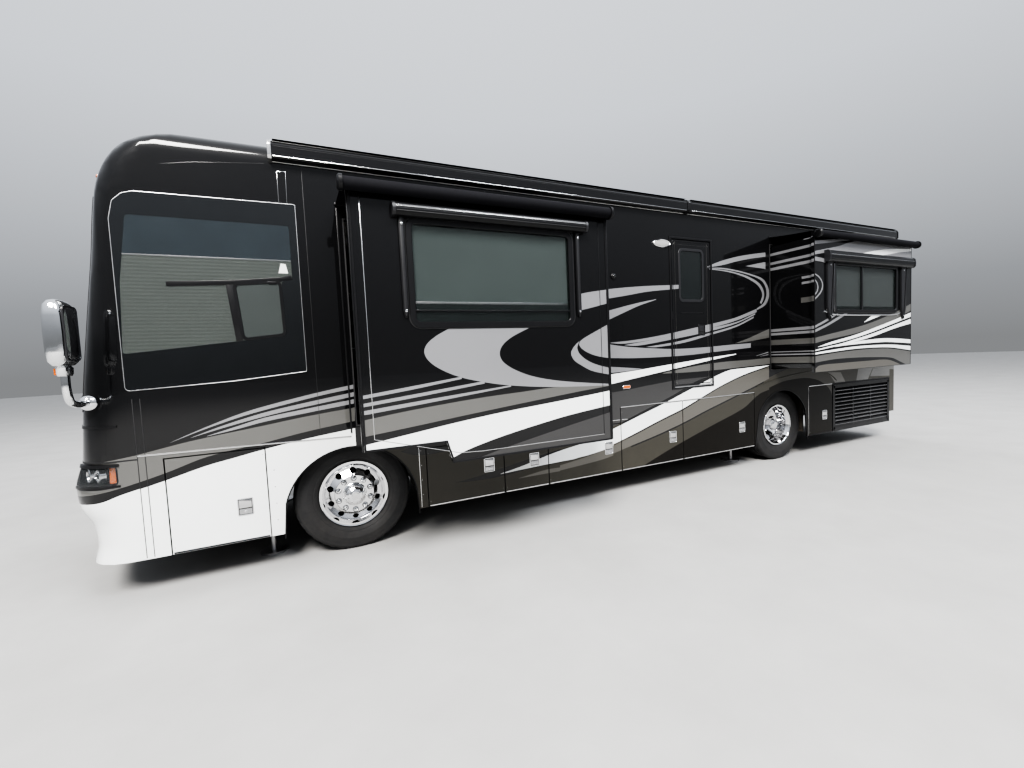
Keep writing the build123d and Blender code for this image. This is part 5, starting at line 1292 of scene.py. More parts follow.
# ------------------------------------------------------------------ lower doors: latches, drip mouldings
LATCH = {"front_service_door": [(0.842, 0.573)], "left_bay_door_1": [(-1.285, 0.605)], "left_bay_door_2": [(-1.800, 0.590)],
         "left_bay_door_3": [(-2.770, 0.585)], "left_bay_door_4": [(-3.750, 0.600)], "left_bay_door_5": [(-5.000, 0.585)],
         "left_rear_door": [(-6.844, 0.575)], "right_bay_door_1": [(-0.80, 0.60), (-2.15, 0.60)], "right_bay_door_2": [(-2.45, 0.60), (-3.80, 0.60)],
         "right_bay_door_3": [(-4.10, 0.60), (-5.10, 0.60)], "right_rear_door": [(-6.62, 0.60), (-8.50, 0.60)]}
for doors, to in ((LEFT_DOORS, L), (RIGHT_DOORS, Rm)):
    for name, x1, x0, zt in doors:
        if name == "radiator_door":
            continue
        d = Shape()
        for x, z in LATCH[name]:
            latch(d, x, z, to)
        b0, b1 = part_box(name)[0].z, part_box(name)[1].z
        # bright lower edge moulding, inner return flange and hinge leaves
        strip(d, [(x0 + 0.012, b0 + 0.010), (x1 - 0.012, b0 + 0.010)], to, 0.012, 0.005, "bright_trim" if "bay" in name else "satin_black")
        s_ = 1 if to is L else -1
        d.add(block(x0 + 0.03, x1 - 0.03, s_ * 1.246 if s_ > 0 else -1.252, s_ * 1.252 if s_ > 0 else -1.246, b0 + 0.03, b1 - 0.03, 0.002), "galvanised")
        for k in range(2):
            cx_ = x0 + (x1 - x0) * (0.25 + 0.5 * k)
            d.add(prism(rect(cx_ - 0.04, cx_ + 0.04, b1 - 0.030, b1 - 0.008, 0.004, 3), side(s_, 1.2515), -0.008, 0.0, 0.001), "steel", True)
        if name == "left_bay_door_4":
            strip(d, [(-2.966, 0.8943), (-3.050, 0.893)], to, 0.012, 0.005, "bright_trim")
        if len(LATCH[name]):
            screws(d, [(x0 + 0.020, b0 + 0.05), (x1 - 0.020, b0 + 0.05), (x0 + 0.020, b1 - 0.05), (x1 - 0.020, b1 - 0.05)], to, 0.003, 0.0010)
        d.make(name + "_fittings", name, slot="trim_chrome")
d = Shape()
rb0, rb1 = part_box("radiator_door")[0].z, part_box("radiator_door")[1].z
o = rect(-8.640, -7.050, rb0 + 0.010, rb1 - 0.010, 0.012, 4)
d.add(ring(o, inset(o, 0.055), L, -0.0005, 0.006, 0.002), "satin_black", True)
nsl = 10
zs0, zs1 = rb0 + 0.075, rb1 - 0.075
for k in range(nsl):
    zc = zs0 + (zs1 - zs0) * (k + 0.5) / nsl
    hh = (zs1 - zs0) / nsl
    d.add(block(-8.580, -7.110, 1.268, 1.2985, zc - hh * 0.30, zc - hh * 0.06, 0.004), "black_plastic", True)
    # a light strip along each louvre, a painted highlight
    d.add(prism(rect(-8.578, -7.112, zc - hh * 0.10, zc - hh * 0.02, 0.0015, 3), L, 0.0015, 0.0050, 0.0014), "alu_satin", True)
for xq in (-7.60, -8.09):
    d.add(prism(rect(xq - 0.010, xq + 0.010, zs0, zs1), L, -0.010, 0.0005, 0.001), "black_plastic")
latch(d, -7.080, 0.60, L, 0.046, 0.090)
d.make("radiator_louvres", "radiator_door", slot="paint_black")

# ------------------------------------------------------------------ egress door
e_ = Shape()
go = rounded([(EGRESS_GLASS[1], EGRESS_GLASS[2]), (EGRESS_GLASS[0], EGRESS_GLASS[2]), (EGRESS_GLASS[0], EGRESS_GLASS[3]), (EGRESS_GLASS[1], EGRESS_GLASS[3])], 0.045, 6)
e_.add(ring(inset(go, -0.024), inset(go, 0.008), L, -0.002, 0.0055, 0.002), "black_plastic", True)
o = inset(rc(EGRESS, -0.004), 0.0)
o = rounded(rc(EGRESS, -0.010), 0.02, 4)
e_.add(ring(o, inset(o, 0.012), L, -0.0005, 0.0035, 0.001), "satin_black", True)
o = inset(o, 0.045)
e_.add(ring(o, inset(o, 0.004), L, -0.0005, 0.0018, 0.0006), "paint_grey", True)
strip(e_, [(-3.93, 2.13), (-4.30, 2.13)], L, 0.010, 0.004, "satin_black")
ph = rect(-4.335, -4.215, 1.845, 1.985, 0.014, 4)
e_.add(ring(ph, inset(ph, 0.012), L, -0.0005, 0.007, 0.002), "satin_black", True)
# the handle's pocket is near black, partly painted shade
e_.add(prism(inset(ph, 0.011), L, -0.0005, 0.0015), "hole_black")
e_.add(prism(rect(-4.320, -4.230, 1.900, 1.970, 0.008, 4), L, 0.001, 0.0065, 0.002), "black_plastic", True)
e_.add(prism([(-4.275 + a, 1.872 + b) for a, b in circle(0.011, 18)], L, 0.001, 0.0075, 0.002), "black_plastic", True)
for zz in (1.40, 2.10, 2.85):
    e_.add(tube([(EGRESS[0], HALF_W, zz - 0.045), (EGRESS[0], HALF_W, zz + 0.045)], 0.0055, 12), "satin_black", True)
e_.make("egress_door_fittings", "egress_door", slot="trim_chrome")


# ------------------------------------------------------------------ slide-outs
def slide_window(sh, to, q, fw, bars=(), r=0.05, d=0.012):
    o = rounded(rc(q, 0.004), r, 6)
    sh.add(ring(inset(o, -fw), inset(o, 0.012), to, -0.0006, d, 0.004), "satin_black", True)
    sh.add(ring(inset(o, -fw - 0.006), inset(o, -fw + 0.002), to, -0.0006, d * 0.45, 0.001), "rubber", True)
    for a, b, ww in bars:
        strip(sh, [a, b], to, ww, d * 0.7, "satin_black", d0=-0.012)


FT, RT = side(1, F_FACE), side(1, R_FACE)
f = Shape()
slide_window(f, FT, F_GLASS, 0.036, bars=[((-0.46, 2.065), (-1.83, 2.065), 0.012)])
o = inset(F_FACE_OUT, 0.002)
f.add(ring(o, inset(o, 0.016), FT, -0.0005, 0.006, 0.002), "satin_black", True)
strip(f, [(-0.100, 2.88), (-0.100, 1.120), (-0.750, 0.936), (-0.950, 0.925), (-2.160, 0.925)], FT, 0.0055, 0.003, "bright_trim")
strip(f, [(-2.160, 0.925), (-2.160, 2.88)], FT, 0.006, 0.0026, "satin_black")
# end walls' corner mouldings and wiper seals
for x, s_ in ((-0.020, 1), (-2.250, -1)):
    f.add(block(min(x, x + s_ * 0.010), max(x, x + s_ * 0.010), F_FACE - 0.036, F_FACE + 0.004, 1.035 if s_ > 0 else 0.865, 2.985, 0.004), "satin_black", True)
f.add(block(-2.246, -0.024, F_FACE - 0.036, F_FACE - 0.004, 2.990, 2.998, 0.003), "satin_black", True)
f.make("front_slide_trim", "front_slide", slot="rubber_seal")
r_ = Shape()
slide_window(r_, RT, R_GLASS, 0.034, bars=[((-6.636, 2.11), (-6.636, 2.69), 0.036)])
strip(r_, [(-5.992, 2.735), (-5.992, 2.075)], RT, 0.007, 0.014, "bright_trim")
strip(r_, curve([(-5.78, 2.085), (-5.97, 2.045), (-6.40, 2.035), (-7.0, 2.035), (-7.52, 2.045), (-7.66, 2.10)], 6), RT, 0.016, 0.012, "bright_trim")
o = inset(R_FACE_OUT, 0.002)
r_.add(ring(o, inset(o, 0.004), RT, -0.0005, 0.003, 0.001), "satin_black", True)
for x, s_ in ((-5.590, 1), (-7.910, -1)):
    r_.add(block(min(x, x + s_ * 0.004), max(x, x + s_ * 0.004), R_FACE - 0.005, R_FACE + 0.002, 1.305, 3.095, 0.0015), "satin_black", True)
r_.make("rear_slide_trim", "rear_slide", slot="rubber_seal")


def awning_set(tag, body, face, roller, cas, arms, joint):
    """Topper cloth, roller, wind guards, window awning cassette and its arms."""
    x0, x1, ry, rz, rr = roller
    a = Shape()
    a.add(lathe([(0.0, 0.0), (rr * 0.92, 0.0), (rr, 0.006), (rr, x1 - x0 - 0.006), (rr * 0.92, x1 - x0), (0, x1 - x0)], (x0, ry, rz), (1, 0, 0), 40), "topper_cloth", True)
    for xx, s_ in ((x0, -1), (x1, 1)):
        cap = blob([(xx - s_ * 0.004, ry, rz, rr * 1.18, rr * 1.18, 2.4), (xx + s_ * 0.020, ry, rz, rr * 1.16, rr * 1.16, 2.4), (xx + s_ * 0.030, ry, rz, rr * 0.9, rr * 0.9, 2.4)], 36, order=(1, 2, 0))
        a.add(cap, "satin_black", True)
        a.add(block(min(xx, xx + s_ * 0.012), max(xx, xx + s_ * 0.012), face - 0.012, ry, rz - 0.030, rz + 0.016, 0.004), "satin_black", True)
    cx0, cx1, cz0, cz1, cd = cas
    prof = [(face - 0.0005, cz0), (face + cd * 0.70, cz0), (face + cd * 0.96, cz0 + 0.022), (face + cd, (cz0 + cz1) / 2), (face + cd * 0.90, cz1 - 0.020), (face + cd * 0.60, cz1), (face - 0.0005, cz1)]
    prof = rounded(prof, [0, 0.012, 0.010, 0.03, 0.012, 0.012, 0], 4)
    n = len(prof)
    a.add(([(x, y, z) for x in (cx0, cx1) for y, z in prof], [list(range(n))[::-1], [n + i for i in range(n)]] + [[i, (i + 1) % n, n + (i + 1) % n, n + i] for i in range(n)]), "satin_black", True)
    for z in (cz0 + 0.030, (cz0 + cz1) / 2 + 0.012):
        a.add(block(cx0 + 0.02, cx1 - 0.02, face + cd * 0.90, face + cd + 0.0035, z - 0.003, z + 0.003, 0.0015), "bright_trim" if z > (cz0 + cz1) / 2 else "rubber", True)
    for xx, s_ in ((cx0, -1), (cx1, 1)):
        big = [(face + (y - face) * 1.06, (cz0 + cz1) / 2 + (z - (cz0 + cz1) / 2) * 1.05) for y, z in prof]
        m = len(big)
        xa, xb = sorted((xx - s_ * 0.012, xx + s_ * 0.010))
        a.add(([(x, y, z) for x in (xa, xb) for y, z in big], [list(range(m))[::-1], [m + i for i in range(m)]] + [[i, (i + 1) % m, m + (i + 1) % m, m + i] for i in range(m)]), "black_plastic", True)
    a.make(tag + "_awning_rollers", body, slot="awning_black", replaces=(tag + "_awnings",))
    b = Shape()
    for ax_, wt_, wb, zt_, zb in arms:
        out = [(ax_ - wt_ / 2, zt_), (ax_ - wt_ / 2, zb + 1.1 * wt_), (ax_ - wb * 0.22, zb), (ax_ + wb * 0.22, zb), (ax_ + wt_ / 2, zb + 1.1 * wt_), (ax_ + wt_ / 2, zt_)]
        out = rounded(out, [0.01, 0.02, 0.01, 0.01, 0.02, 0.01], 4)
        to = side(1, face)
        b.add(prism(out, to, -0.0005, 0.020, 0.005), "satin_black", True)
        b.add(prism(inset(out, min(wb, wt_) * 0.24), to, 0.0195, 0.0245, 0.002), "black_plastic", True)
        for zz in (zt_ - 0.06, zb + 0.05):
            b.add(prism([(ax_ + u, zz + v) for u, v in circle(0.010, 16)], to, 0.019, 0.030, 0.003), "chrome", True)
    b.make(tag + "_awning_arms", body, slot="awning_black")


awning_set("front_slide", "front_slide", F_FACE, (-2.245, 0.015, 2.103, 2.935, 0.046), (-2.000, -0.330, 2.752, 2.850, 0.072), [(-0.385, 0.044, 0.040, 2.76, 2.010), (-1.925, 0.044, 0.040, 2.76, 2.010)], "front_slide_travel")
awning_set("rear_slide", "rear_slide", R_FACE, (-7.915, -5.585, 1.958, 3.050, 0.044), (-7.860, -5.800, 2.720, 2.860, 0.072), [(-5.890, 0.150, 0.070, 2.74, 1.975), (-7.660, 0.150, 0.070, 2.74, 1.975)], "rear_slide_travel")

# topper cloths: held at the coach wall's rail and on the roller
for tag, joint, x0, x1, y1, z0, z1 in (("front_slide", "front_slide_travel", -2.235, 0.005, 2.098, 3.052, 2.984), ("rear_slide", "rear_slide_travel", -7.905, -5.595, 1.955, 3.168, 3.096)):
    nx, ny = 40, 14
    y0 = HALF_W + 0.004
    vv, ff = [], []
    for lay in (0, 1):
        for j in range(ny + 1):
            t = j / ny
            for i in range(nx + 1):
                u = i / nx
                sag = -0.012 * math.sin(math.pi * t) * (0.6 + 0.4 * math.sin(math.pi * u)) + 0.0012 * math.sin(23 * u + 5 * t)
                vv.append((x0 + (x1 - x0) * u, y0 + (y1 - y0) * t, z0 + (z1 - z0) * t + sag - 0.0014 * lay))
    N = (nx + 1) * (ny + 1)
    for j in range(ny):
        for i in range(nx):
            q = [j * (nx + 1) + i, j * (nx + 1) + i + 1, (j + 1) * (nx + 1) + i + 1, (j + 1) * (nx + 1) + i]
            ff.append(q)
            ff.append([N + k for k in q[::-1]])
    rim = [i for i in range(nx + 1)] + [(j + 1) * (nx + 1) - 1 for j in range(1, ny + 1)] + [ny * (nx + 1) + i for i in range(nx - 1, -1, -1)] + [j * (nx + 1) for j in range(ny - 1, 0, -1)]
    for k in range(len(rim)):
        p, q = rim[k], rim[(k + 1) % len(rim)]
        ff.append([q, p, N + p, N + q])
    tp = Shape()
    tp.add((vv, ff), "topper_cloth", True)
    ob = tp.make(tag + "_topper", tag, slot="fabric_topper")
    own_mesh(ob)
    rail = Shape()
    rail.add(block(x0 - 0.01, x1 + 0.01, HALF_W - 0.001, HALF_W + 0.012, z0 - 0.012, z0 + 0.010, 0.003), "satin_black", True)
    rail.make(tag + "_topper_rail", "root", slot="awning_black")

# ------------------------------------------------------------------ nose fittings
def nose_patch(at, s0, s1, zs, off, thick, sy=1, ns=24):
    """A closed sheet following the nose between s0(z) and s1(z), its outer face off outside the skin."""
    verts, faces = [], []
    zl = list(zs)
    for lay in (0, 1):
        for z in zl:
            a, b = s0(z), s1(z)
            for i in range(ns + 1):
                (x, y, z2), nm = nose_point(a + (b - a) * i / ns, z, at)
                o = off - (thick if lay else 0)
                verts.append((x + nm[0] * o, sy * (y + nm[1] * o), z2))
    m, k = ns + 1, len(zl)
    N = m * k
    for j in range(k - 1):
        for i in range(ns):
            q = [j * m + i, j * m + i + 1, (j + 1) * m + i + 1, (j + 1) * m + i]
            faces.append(q)
            faces.append([N + v for v in q[::-1]])
    rim = list(range(m)) + [(j + 1) * m - 1 for j in range(1, k)] + [(k - 1) * m + i for i in range(ns - 1, -1, -1)] + [j * m for j in range(k - 2, 0, -1)]
    for i in range(len(rim)):
        p, q = rim[i], rim[(i + 1) % len(rim)]
        faces.append([q, p, N + p, N + q])
    return verts, faces


def const(v):
    return lambda z: v


def zr(a, b, n):
    return [a + (b - a) * i / n for i in range(n + 1)]


def mid(at, gap=0.0):
    return lambda z: nose_length(z, at) - gap


n_ = Shape()
for sy in (1, -1):
    n_.add(nose_patch(cap_at, lambda z: s_at_y(1.105, z), mid(cap_at, 0.006), zr(1.455, 2.955, 18), -0.006, 0.006, sy, 30), "glass_light", True)
n_.make("windshield_glass", "root", slot="dark_glass", replaces=("windshield",))
n_ = Shape()
for sy in (1, -1):
    n_.add(nose_patch(cap_at, lambda z: s_at_y(1.145, z), lambda z: s_at_y(1.088, z), zr(1.440, 2.970, 24), 0.0035, 0.010, sy, 4), "rubber", True)
    n_.add(nose_patch(cap_at, lambda z: s_at_y(1.145, z), mid(cap_at, -0.001), zr(1.420, 1.475, 2), 0.0035, 0.010, sy, 30), "rubber", True)
    n_.add(nose_patch(cap_at, lambda z: s_at_y(1.145, z), mid(cap_at, -0.001), zr(2.940, 2.990, 2), 0.0035, 0.010, sy, 30), "rubber", True)
    n_.add(nose_patch(cap_at, lambda z: s_at_y(0.014, z), mid(cap_at, -0.001), zr(1.455, 2.955, 12), 0.0010, 0.010, sy, 3), "rubber", True)
    # belt seam between the cap and the bumper, and a dark strip at the cap's step, a painted shadow line
    n_.add(nose_patch(cap_at, const(1.502), mid(cap_at, -0.001), zr(1.046, 1.056, 1), 0.0012, 0.012, sy, 60), "seam_black", True)
    n_.add(nose_patch(cap_at, const(1.60), mid(cap_at, -0.001), zr(1.300, 1.318, 2), 0.005, 0.008, sy, 60), "satin_black", True)
    # wipers
    base = nose_point(s_at_y(0.62, 1.40), 1.40, cap_at)[0]
    pv = (base[0] + 0.012, sy * base[1], 1.40)
    n_.add(lathe([(0, 0), (0.030, 0), (0.030, 0.016), (0.022, 0.030), (0, 0.032)], (base[0] - 0.004, sy * base[1], 1.40), (1, 0, 0.05), 24), "satin_black", True)
    pts = []
    for k in range(9):
        t = k / 8
        y, z = 0.62 - 0.48 * t, 1.40 + 0.26 * math.sin(t * 1.2)
        q = nose_point(s_at_y(y, z), z, cap_at)[0]
        pts.append((q[0] + 0.030, sy * q[1], z))
    n_.add(sweep(rect(-0.007, 0.007, -0.004, 0.004), pts), "satin_black", True)
    pts = []
    for k in range(13):
        t = k / 12
        y, z = 0.92 - 0.80 * t, 1.50 + 0.13 * t
        q = nose_point(s_at_y(y, z), z, cap_at)[0]
        pts.append((q[0] + 0.014, sy * q[1], z))
    n_.add(sweep(rect(-0.012, 0.012, -0.005, 0.008), pts), "rubber", True)
    n_.add(sweep(rect(0.010, 0.018, -0.006, 0.006), pts), "satin_black", True)
# clearance lamps over the windshield
for y in (-0.90, -0.16, 0.0, 0.16, 0.90):
    q = nose_point(s_at_y(abs(y), 3.20), 3.20, cap_at)[0]
    sg = math.copysign(1, y) if y else 1
    n_.add(blob([(q[0] - 0.012, y, 3.215, 0.052, 0.018, 3), (q[0] + 0.014, y, 3.212, 0.050, 0.016, 3), (q[0] + 0.022, y, 3.210, 0.040, 0.011, 2.5)], 28, order=(1, 2, 0)), "lens_amber", True)
n_.make("nose_trim", "root", slot="rubber_seal")
# roller shade half down behind each pane of the windshield
for sy, tag in ((1, "left"), (-1, "right")):
    n_ = Shape()
    n_.add(nose_patch(cap_at, lambda z: s_at_y(1.070, z), mid(cap_at, 0.03), zr(2.66, 2.935, 3), -0.022, 0.0016, sy, 24), "shade_light", True)
    ob = n_.make(f"windshield_shade_{tag}", "root", slot="fabric_shade")
    nose_length(2.80, cap_at) - 0.03 - s_at_y(1.070, 2.80)

# headlamps: dark bucket, projectors, indicator, clear cover, bezel
h_ = Shape()
for sy in (1, -1):
    S0, S1 = 1.622, 1.982
    lidf = lambda a, b, c, d, off, th, mat: h_.add(nose_patch(bumper_at, const(a), const(b), zr(c, d, 4), off, th, sy, 20), mat, True)
    lidf(S0, S1, 0.877, 1.018, -0.085, 0.010, "satin_black")
    for a, b in ((S0, S0 + 0.010), (S1 - 0.010, S1)):
        lidf(a, b, 0.877, 1.018, -0.002, 0.085, "satin_black")
    lidf(S0, S1, 0.877, 0.885, -0.002, 0.085, "satin_black")
    lidf(S0, S1, 1.008, 1.018, -0.002, 0.085, "black_plastic")
    lidf(S0 - 0.012, S1 + 0.012, 1.014, 1.034, 0.010, 0.018, "satin_black")
    lidf(S0 - 0.012, S1 + 0.012, 0.862, 0.878, 0.004, 0.010, "satin_black")
    lidf(S0 + 0.012, S0 + 0.060, 0.890, 1.004, -0.030, 0.010, "lens_amber")
    lidf(S0, S1, 0.876, 1.018, 0.0015, 0.004, "lens_clear")
    for s_c, rad in ((1.765, 0.040), (1.885, 0.044)):
        (x, y, z), nm = nose_point(s_c, 0.947, bumper_at)
        ax = (0.86, 0.51 * sy, 0)
        c = (x - nm[0] * 0.078, sy * (y - nm[1] * 0.078), z)
        h_.add(lathe([(rad + 0.012, 0.0), (rad + 0.012, 0.036), (rad + 0.006, 0.040), (rad, 0.030), (rad * 0.9, 0.0)], c, ax, 40), "chrome", True)
        h_.add(lathe([(rad * 0.92, 0.004), (rad * 0.90, 0.022), (rad * 0.62, 0.036), (rad * 0.3, 0.042), (0.0, 0.044)], c, ax, 36), "glass_light", True)
    # fog lamp in the bumper's corner
    (x, y, z), nm = nose_point(2.55, 0.50, bumper_at)
    c = (x + nm[0] * 0.007, sy * (y + nm[1] * 0.007), 0.50)
    ax = (nm[0], nm[1] * sy, 0)
    h_.add(lathe([(0.062, -0.012), (0.062, 0.012), (0.054, 0.018), (0.046, 0.012), (0.046, -0.012)], c, ax, 40, closed=True), "chrome", True)
    h_.add(lathe([(0.047, 0.001), (0.045, 0.0065), (0.020, 0.005), (0.0, 0.005)], c, ax, 36), "chrome", True)
    h_.add(lathe([(0.047, 0.010), (0.045, 0.012), (0.025, 0.017), (0.0, 0.018)], c, ax, 36), "lens_clear", True)
# tail lamps stand where the model's do
for sy in (1, -1):
    for k, (z0, z1, m) in enumerate(((1.300, 1.445, "lens_red"), (1.455, 1.600, "lens_amber"), (1.610, 1.760, "lens_red"))):
        o = rect(1.012, 1.148, z0, z1, 0.020, 5)
        h_.add(prism([(sy * a, b) for a, b in (o if sy > 0 else o)], across(-8.860, -1), -0.001, 0.012, 0.005), m, True)
    o = rect(1.000, 1.160, 1.288, 1.772, 0.026, 6)
    h_.add(ring([(sy * a, b) for a, b in inset(o, -0.006)], [(sy * a, b) for a, b in inset(o, 0.010)], across(-8.860, -1), -0.001, 0.010, 0.003), "chrome", True)
h_.make("lamp_units", "root", slot="lamp_lens", replaces=("lamps",))

# grille: bars across the bumper's middle
g_ = Shape()
for sy in (1, -1):
    far = lambda z: nose_length(z, bumper_at) - 0.66
    # a near-black patch behind the bars, painted shade of the grille's opening
    g_.add(nose_patch(bumper_at, far, mid(bumper_at, -0.001), zr(0.440, 0.665, 4), 0.0022, 0.006, sy, 24), "hole_black", True)
    for z in (0.470, 0.515, 0.560, 0.605, 0.645):
        g_.add(nose_patch(bumper_at, far, mid(bumper_at, -0.001), [z - 0.007, z - 0.003, z + 0.003, z + 0.007], 0.011, 0.010, sy, 24), "bright_trim", True)
    g_.add(nose_patch(bumper_at, lambda z: far(z) - 0.016, far, zr(0.428, 0.677, 4), 0.010, 0.012, sy, 2), "bright_trim", True)
    for z in (0.428, 0.672):
        g_.add(nose_patch(bumper_at, lambda z: far(z) - 0.016, mid(bumper_at, -0.001), [z, z + 0.010], 0.010, 0.012, sy, 24), "bright_trim", True)
    # upper grille strip in the cap, on a near-black patch painted as the shade of its opening
    far2 = lambda z: nose_length(z, cap_at) - 0.72
    g_.add(nose_patch(cap_at, far2, mid(cap_at, -0.001), zr(1.120, 1.255, 3), 0.0020, 0.006, sy, 24), "hole_black", True)
    for z in (1.140, 1.168, 1.196, 1.224):
        g_.add(nose_patch(cap_at, far2, mid(cap_at, -0.001), [z - 0.006, z, z + 0.006], 0.010, 0.009, sy, 24), "bright_trim", True)
    # licence plate carrier, left blank
    g_.add(nose_patch(bumper_at, lambda z: nose_length(z, bumper_at) - 0.155, mid(bumper_at, -0.001), zr(0.325, 0.425, 2), 0.010, 0.008, sy, 6), "black_plastic", True)
    g_.add(nose_patch(bumper_at, lambda z: nose_length(z, bumper_at) - 0.150, mid(bumper_at, -0.001), zr(0.330, 0.420, 2), 0.012, 0.002, sy, 6), "white_plastic", True)
g_.make("grille_bars", "root", slot="trim_chrome")

# ------------------------------------------------------------------ mirrors
m_ = Shape()
for sy in (1, -1):
    cx, cy = 1.765, sy * 1.520
    secs = []
    for z, sx_, sy_, e in ((1.752, 0.018, 0.060, 2.2), (1.760, 0.040, 0.092, 2.6), (1.785, 0.056, 0.112, 3.0), (1.85, 0.063, 0.118, 3.2), (1.97, 0.065, 0.120, 3.2), (2.08, 0.062, 0.118, 3.2), (2.150, 0.054, 0.110, 3.0), (2.178, 0.038, 0.090, 2.6), (2.188, 0.016, 0.056, 2.2)):
        secs.append((z, cx, cy, sx_, sy_, e))
    m_.add(blob(secs, 48), "chrome", True)
    rim = [(cy + a, z) for a, z in rounded([(-0.098, 1.790), (0.098, 1.790), (0.098, 2.150), (-0.098, 2.150)], 0.035, 6)]
    m_.add(ring(rim, inset(rim, 0.008), across(1.712, -1), -0.006, 0.006, 0.002), "black_plastic", True)
    m_.add(prism(inset(rim, 0.007), across(1.712, -1), -0.004, 0.002), "mirror_face")
    m_.add(prism(rect(cy - 0.088, cy + 0.088, 1.867, 1.872), across(1.712, -1), 0.001, 0.004), "black_plastic")
    # lower lamp pod and arm
    m_.add(blob([(1.690, cx, cy, 0.030, 0.052, 2.4), (1.705, cx, cy, 0.036, 0.060, 2.6), (1.745, cx, cy, 0.038, 0.062, 2.6), (1.756, cx, cy, 0.030, 0.052, 2.4)], 36), "chrome", True)
    m_.add(blob([(1.700, cx + 0.030, cy, 0.012, 0.050, 2.6), (1.742, cx + 0.030, cy, 0.012, 0.050, 2.6)], 30), "lens_amber", True)
    pts = curve([(cx, cy, 1.70), (cx, cy, 1.60), (cx - 0.004, cy - sy * 0.02, 1.525), (cx - 0.008, cy - sy * 0.09, 1.496), (cx - 0.012, sy * 1.335, 1.492), (cx - 0.02, sy * 1.29, 1.492)], 6)
    m_.add(tube(pts, 0.024, 20), "chrome", True)
    m_.add(lathe([(0.0, 0), (0.052, 0), (0.052, 0.010), (0.040, 0.022), (0.026, 0.030), (0, 0.030)], (cx - 0.02, sy * 1.283, 1.492), (0, sy, 0), 32), "chrome", True)
m_.make("mirror_heads", "root", slot="chrome", replaces=("mirrors",))

# ------------------------------------------------------------------ tyres and wheels
AXZ, FX, RX = 0.503, 0.0, -5.905


def tyre(x, y, n=144):
    """A highway tyre: ribbed tread with zigzag grooves, notched shoulders, ringed sidewalls."""
    half = [(0.2865, 0.0995), (0.3000, 0.1000), (0.3030, 0.1070), (0.315, 0.120), (0.330, 0.1272), (0.3345, 0.1302), (0.340, 0.1325), (0.3445, 0.1318), (0.352, 0.1355), (0.372, 0.1422), (0.392, 0.1458), (0.398, 0.1474), (0.407, 0.1476), (0.413, 0.1462),
            (0.430, 0.1462), (0.452, 0.1430), (0.470, 0.1385), (0.4745, 0.1392), (0.479, 0.1375), (0.488, 0.1320), (0.4965, 0.1268), (0.5015, 0.1190), (0.5040, 0.1100)]
    tread = [(0.5048, 0.088), (0.4915, 0.085), (0.4915, 0.077), (0.5055, 0.074), (0.5058, 0.036), (0.4920, 0.033), (0.4920, 0.024), (0.5060, 0.021)]
    prof = [(r, -h, 0) for r, h in half] + [(r, -h, 1) for r, h in tread] + [(r, h, 1) for r, h in tread[::-1]] + [(r, h, 0) for r, h in half[::-1]]
    k = len(prof)
    verts, faces = [], []
    for i in range(n):
        t = 2 * math.pi * i / n
        zig = 0.0022 * (1 if i % 2 else -1)
        notch = 0.0065 if i % 4 == 0 else 0.0
        for j, (r, h, kind) in enumerate(prof):
            hh, rr = h, r
            if kind:
                hh += zig
            if r in (0.5015, 0.5040, 0.4965):
                rr -= notch
            verts.append((x + rr * math.sin(t), y + hh, AXZ + rr * math.cos(t)))
    for i in range(n):
        i2 = (i + 1) % n
        for j in range(k):
            j2 = (j + 1) % k
            faces.append([i * k + j, i2 * k + j, i2 * k + j2, i * k + j2])
    return verts, faces


def lug(c, axis, sy):
    """A capped wheel nut on its flange."""
    return lathe([(0.0, 0), (0.0205, 0), (0.0205, 0.004), (0.0165, 0.006), (0.0165, 0.026), (0.0145, 0.032), (0.010, 0.037), (0.0, 0.0385)], c, axis, 12)


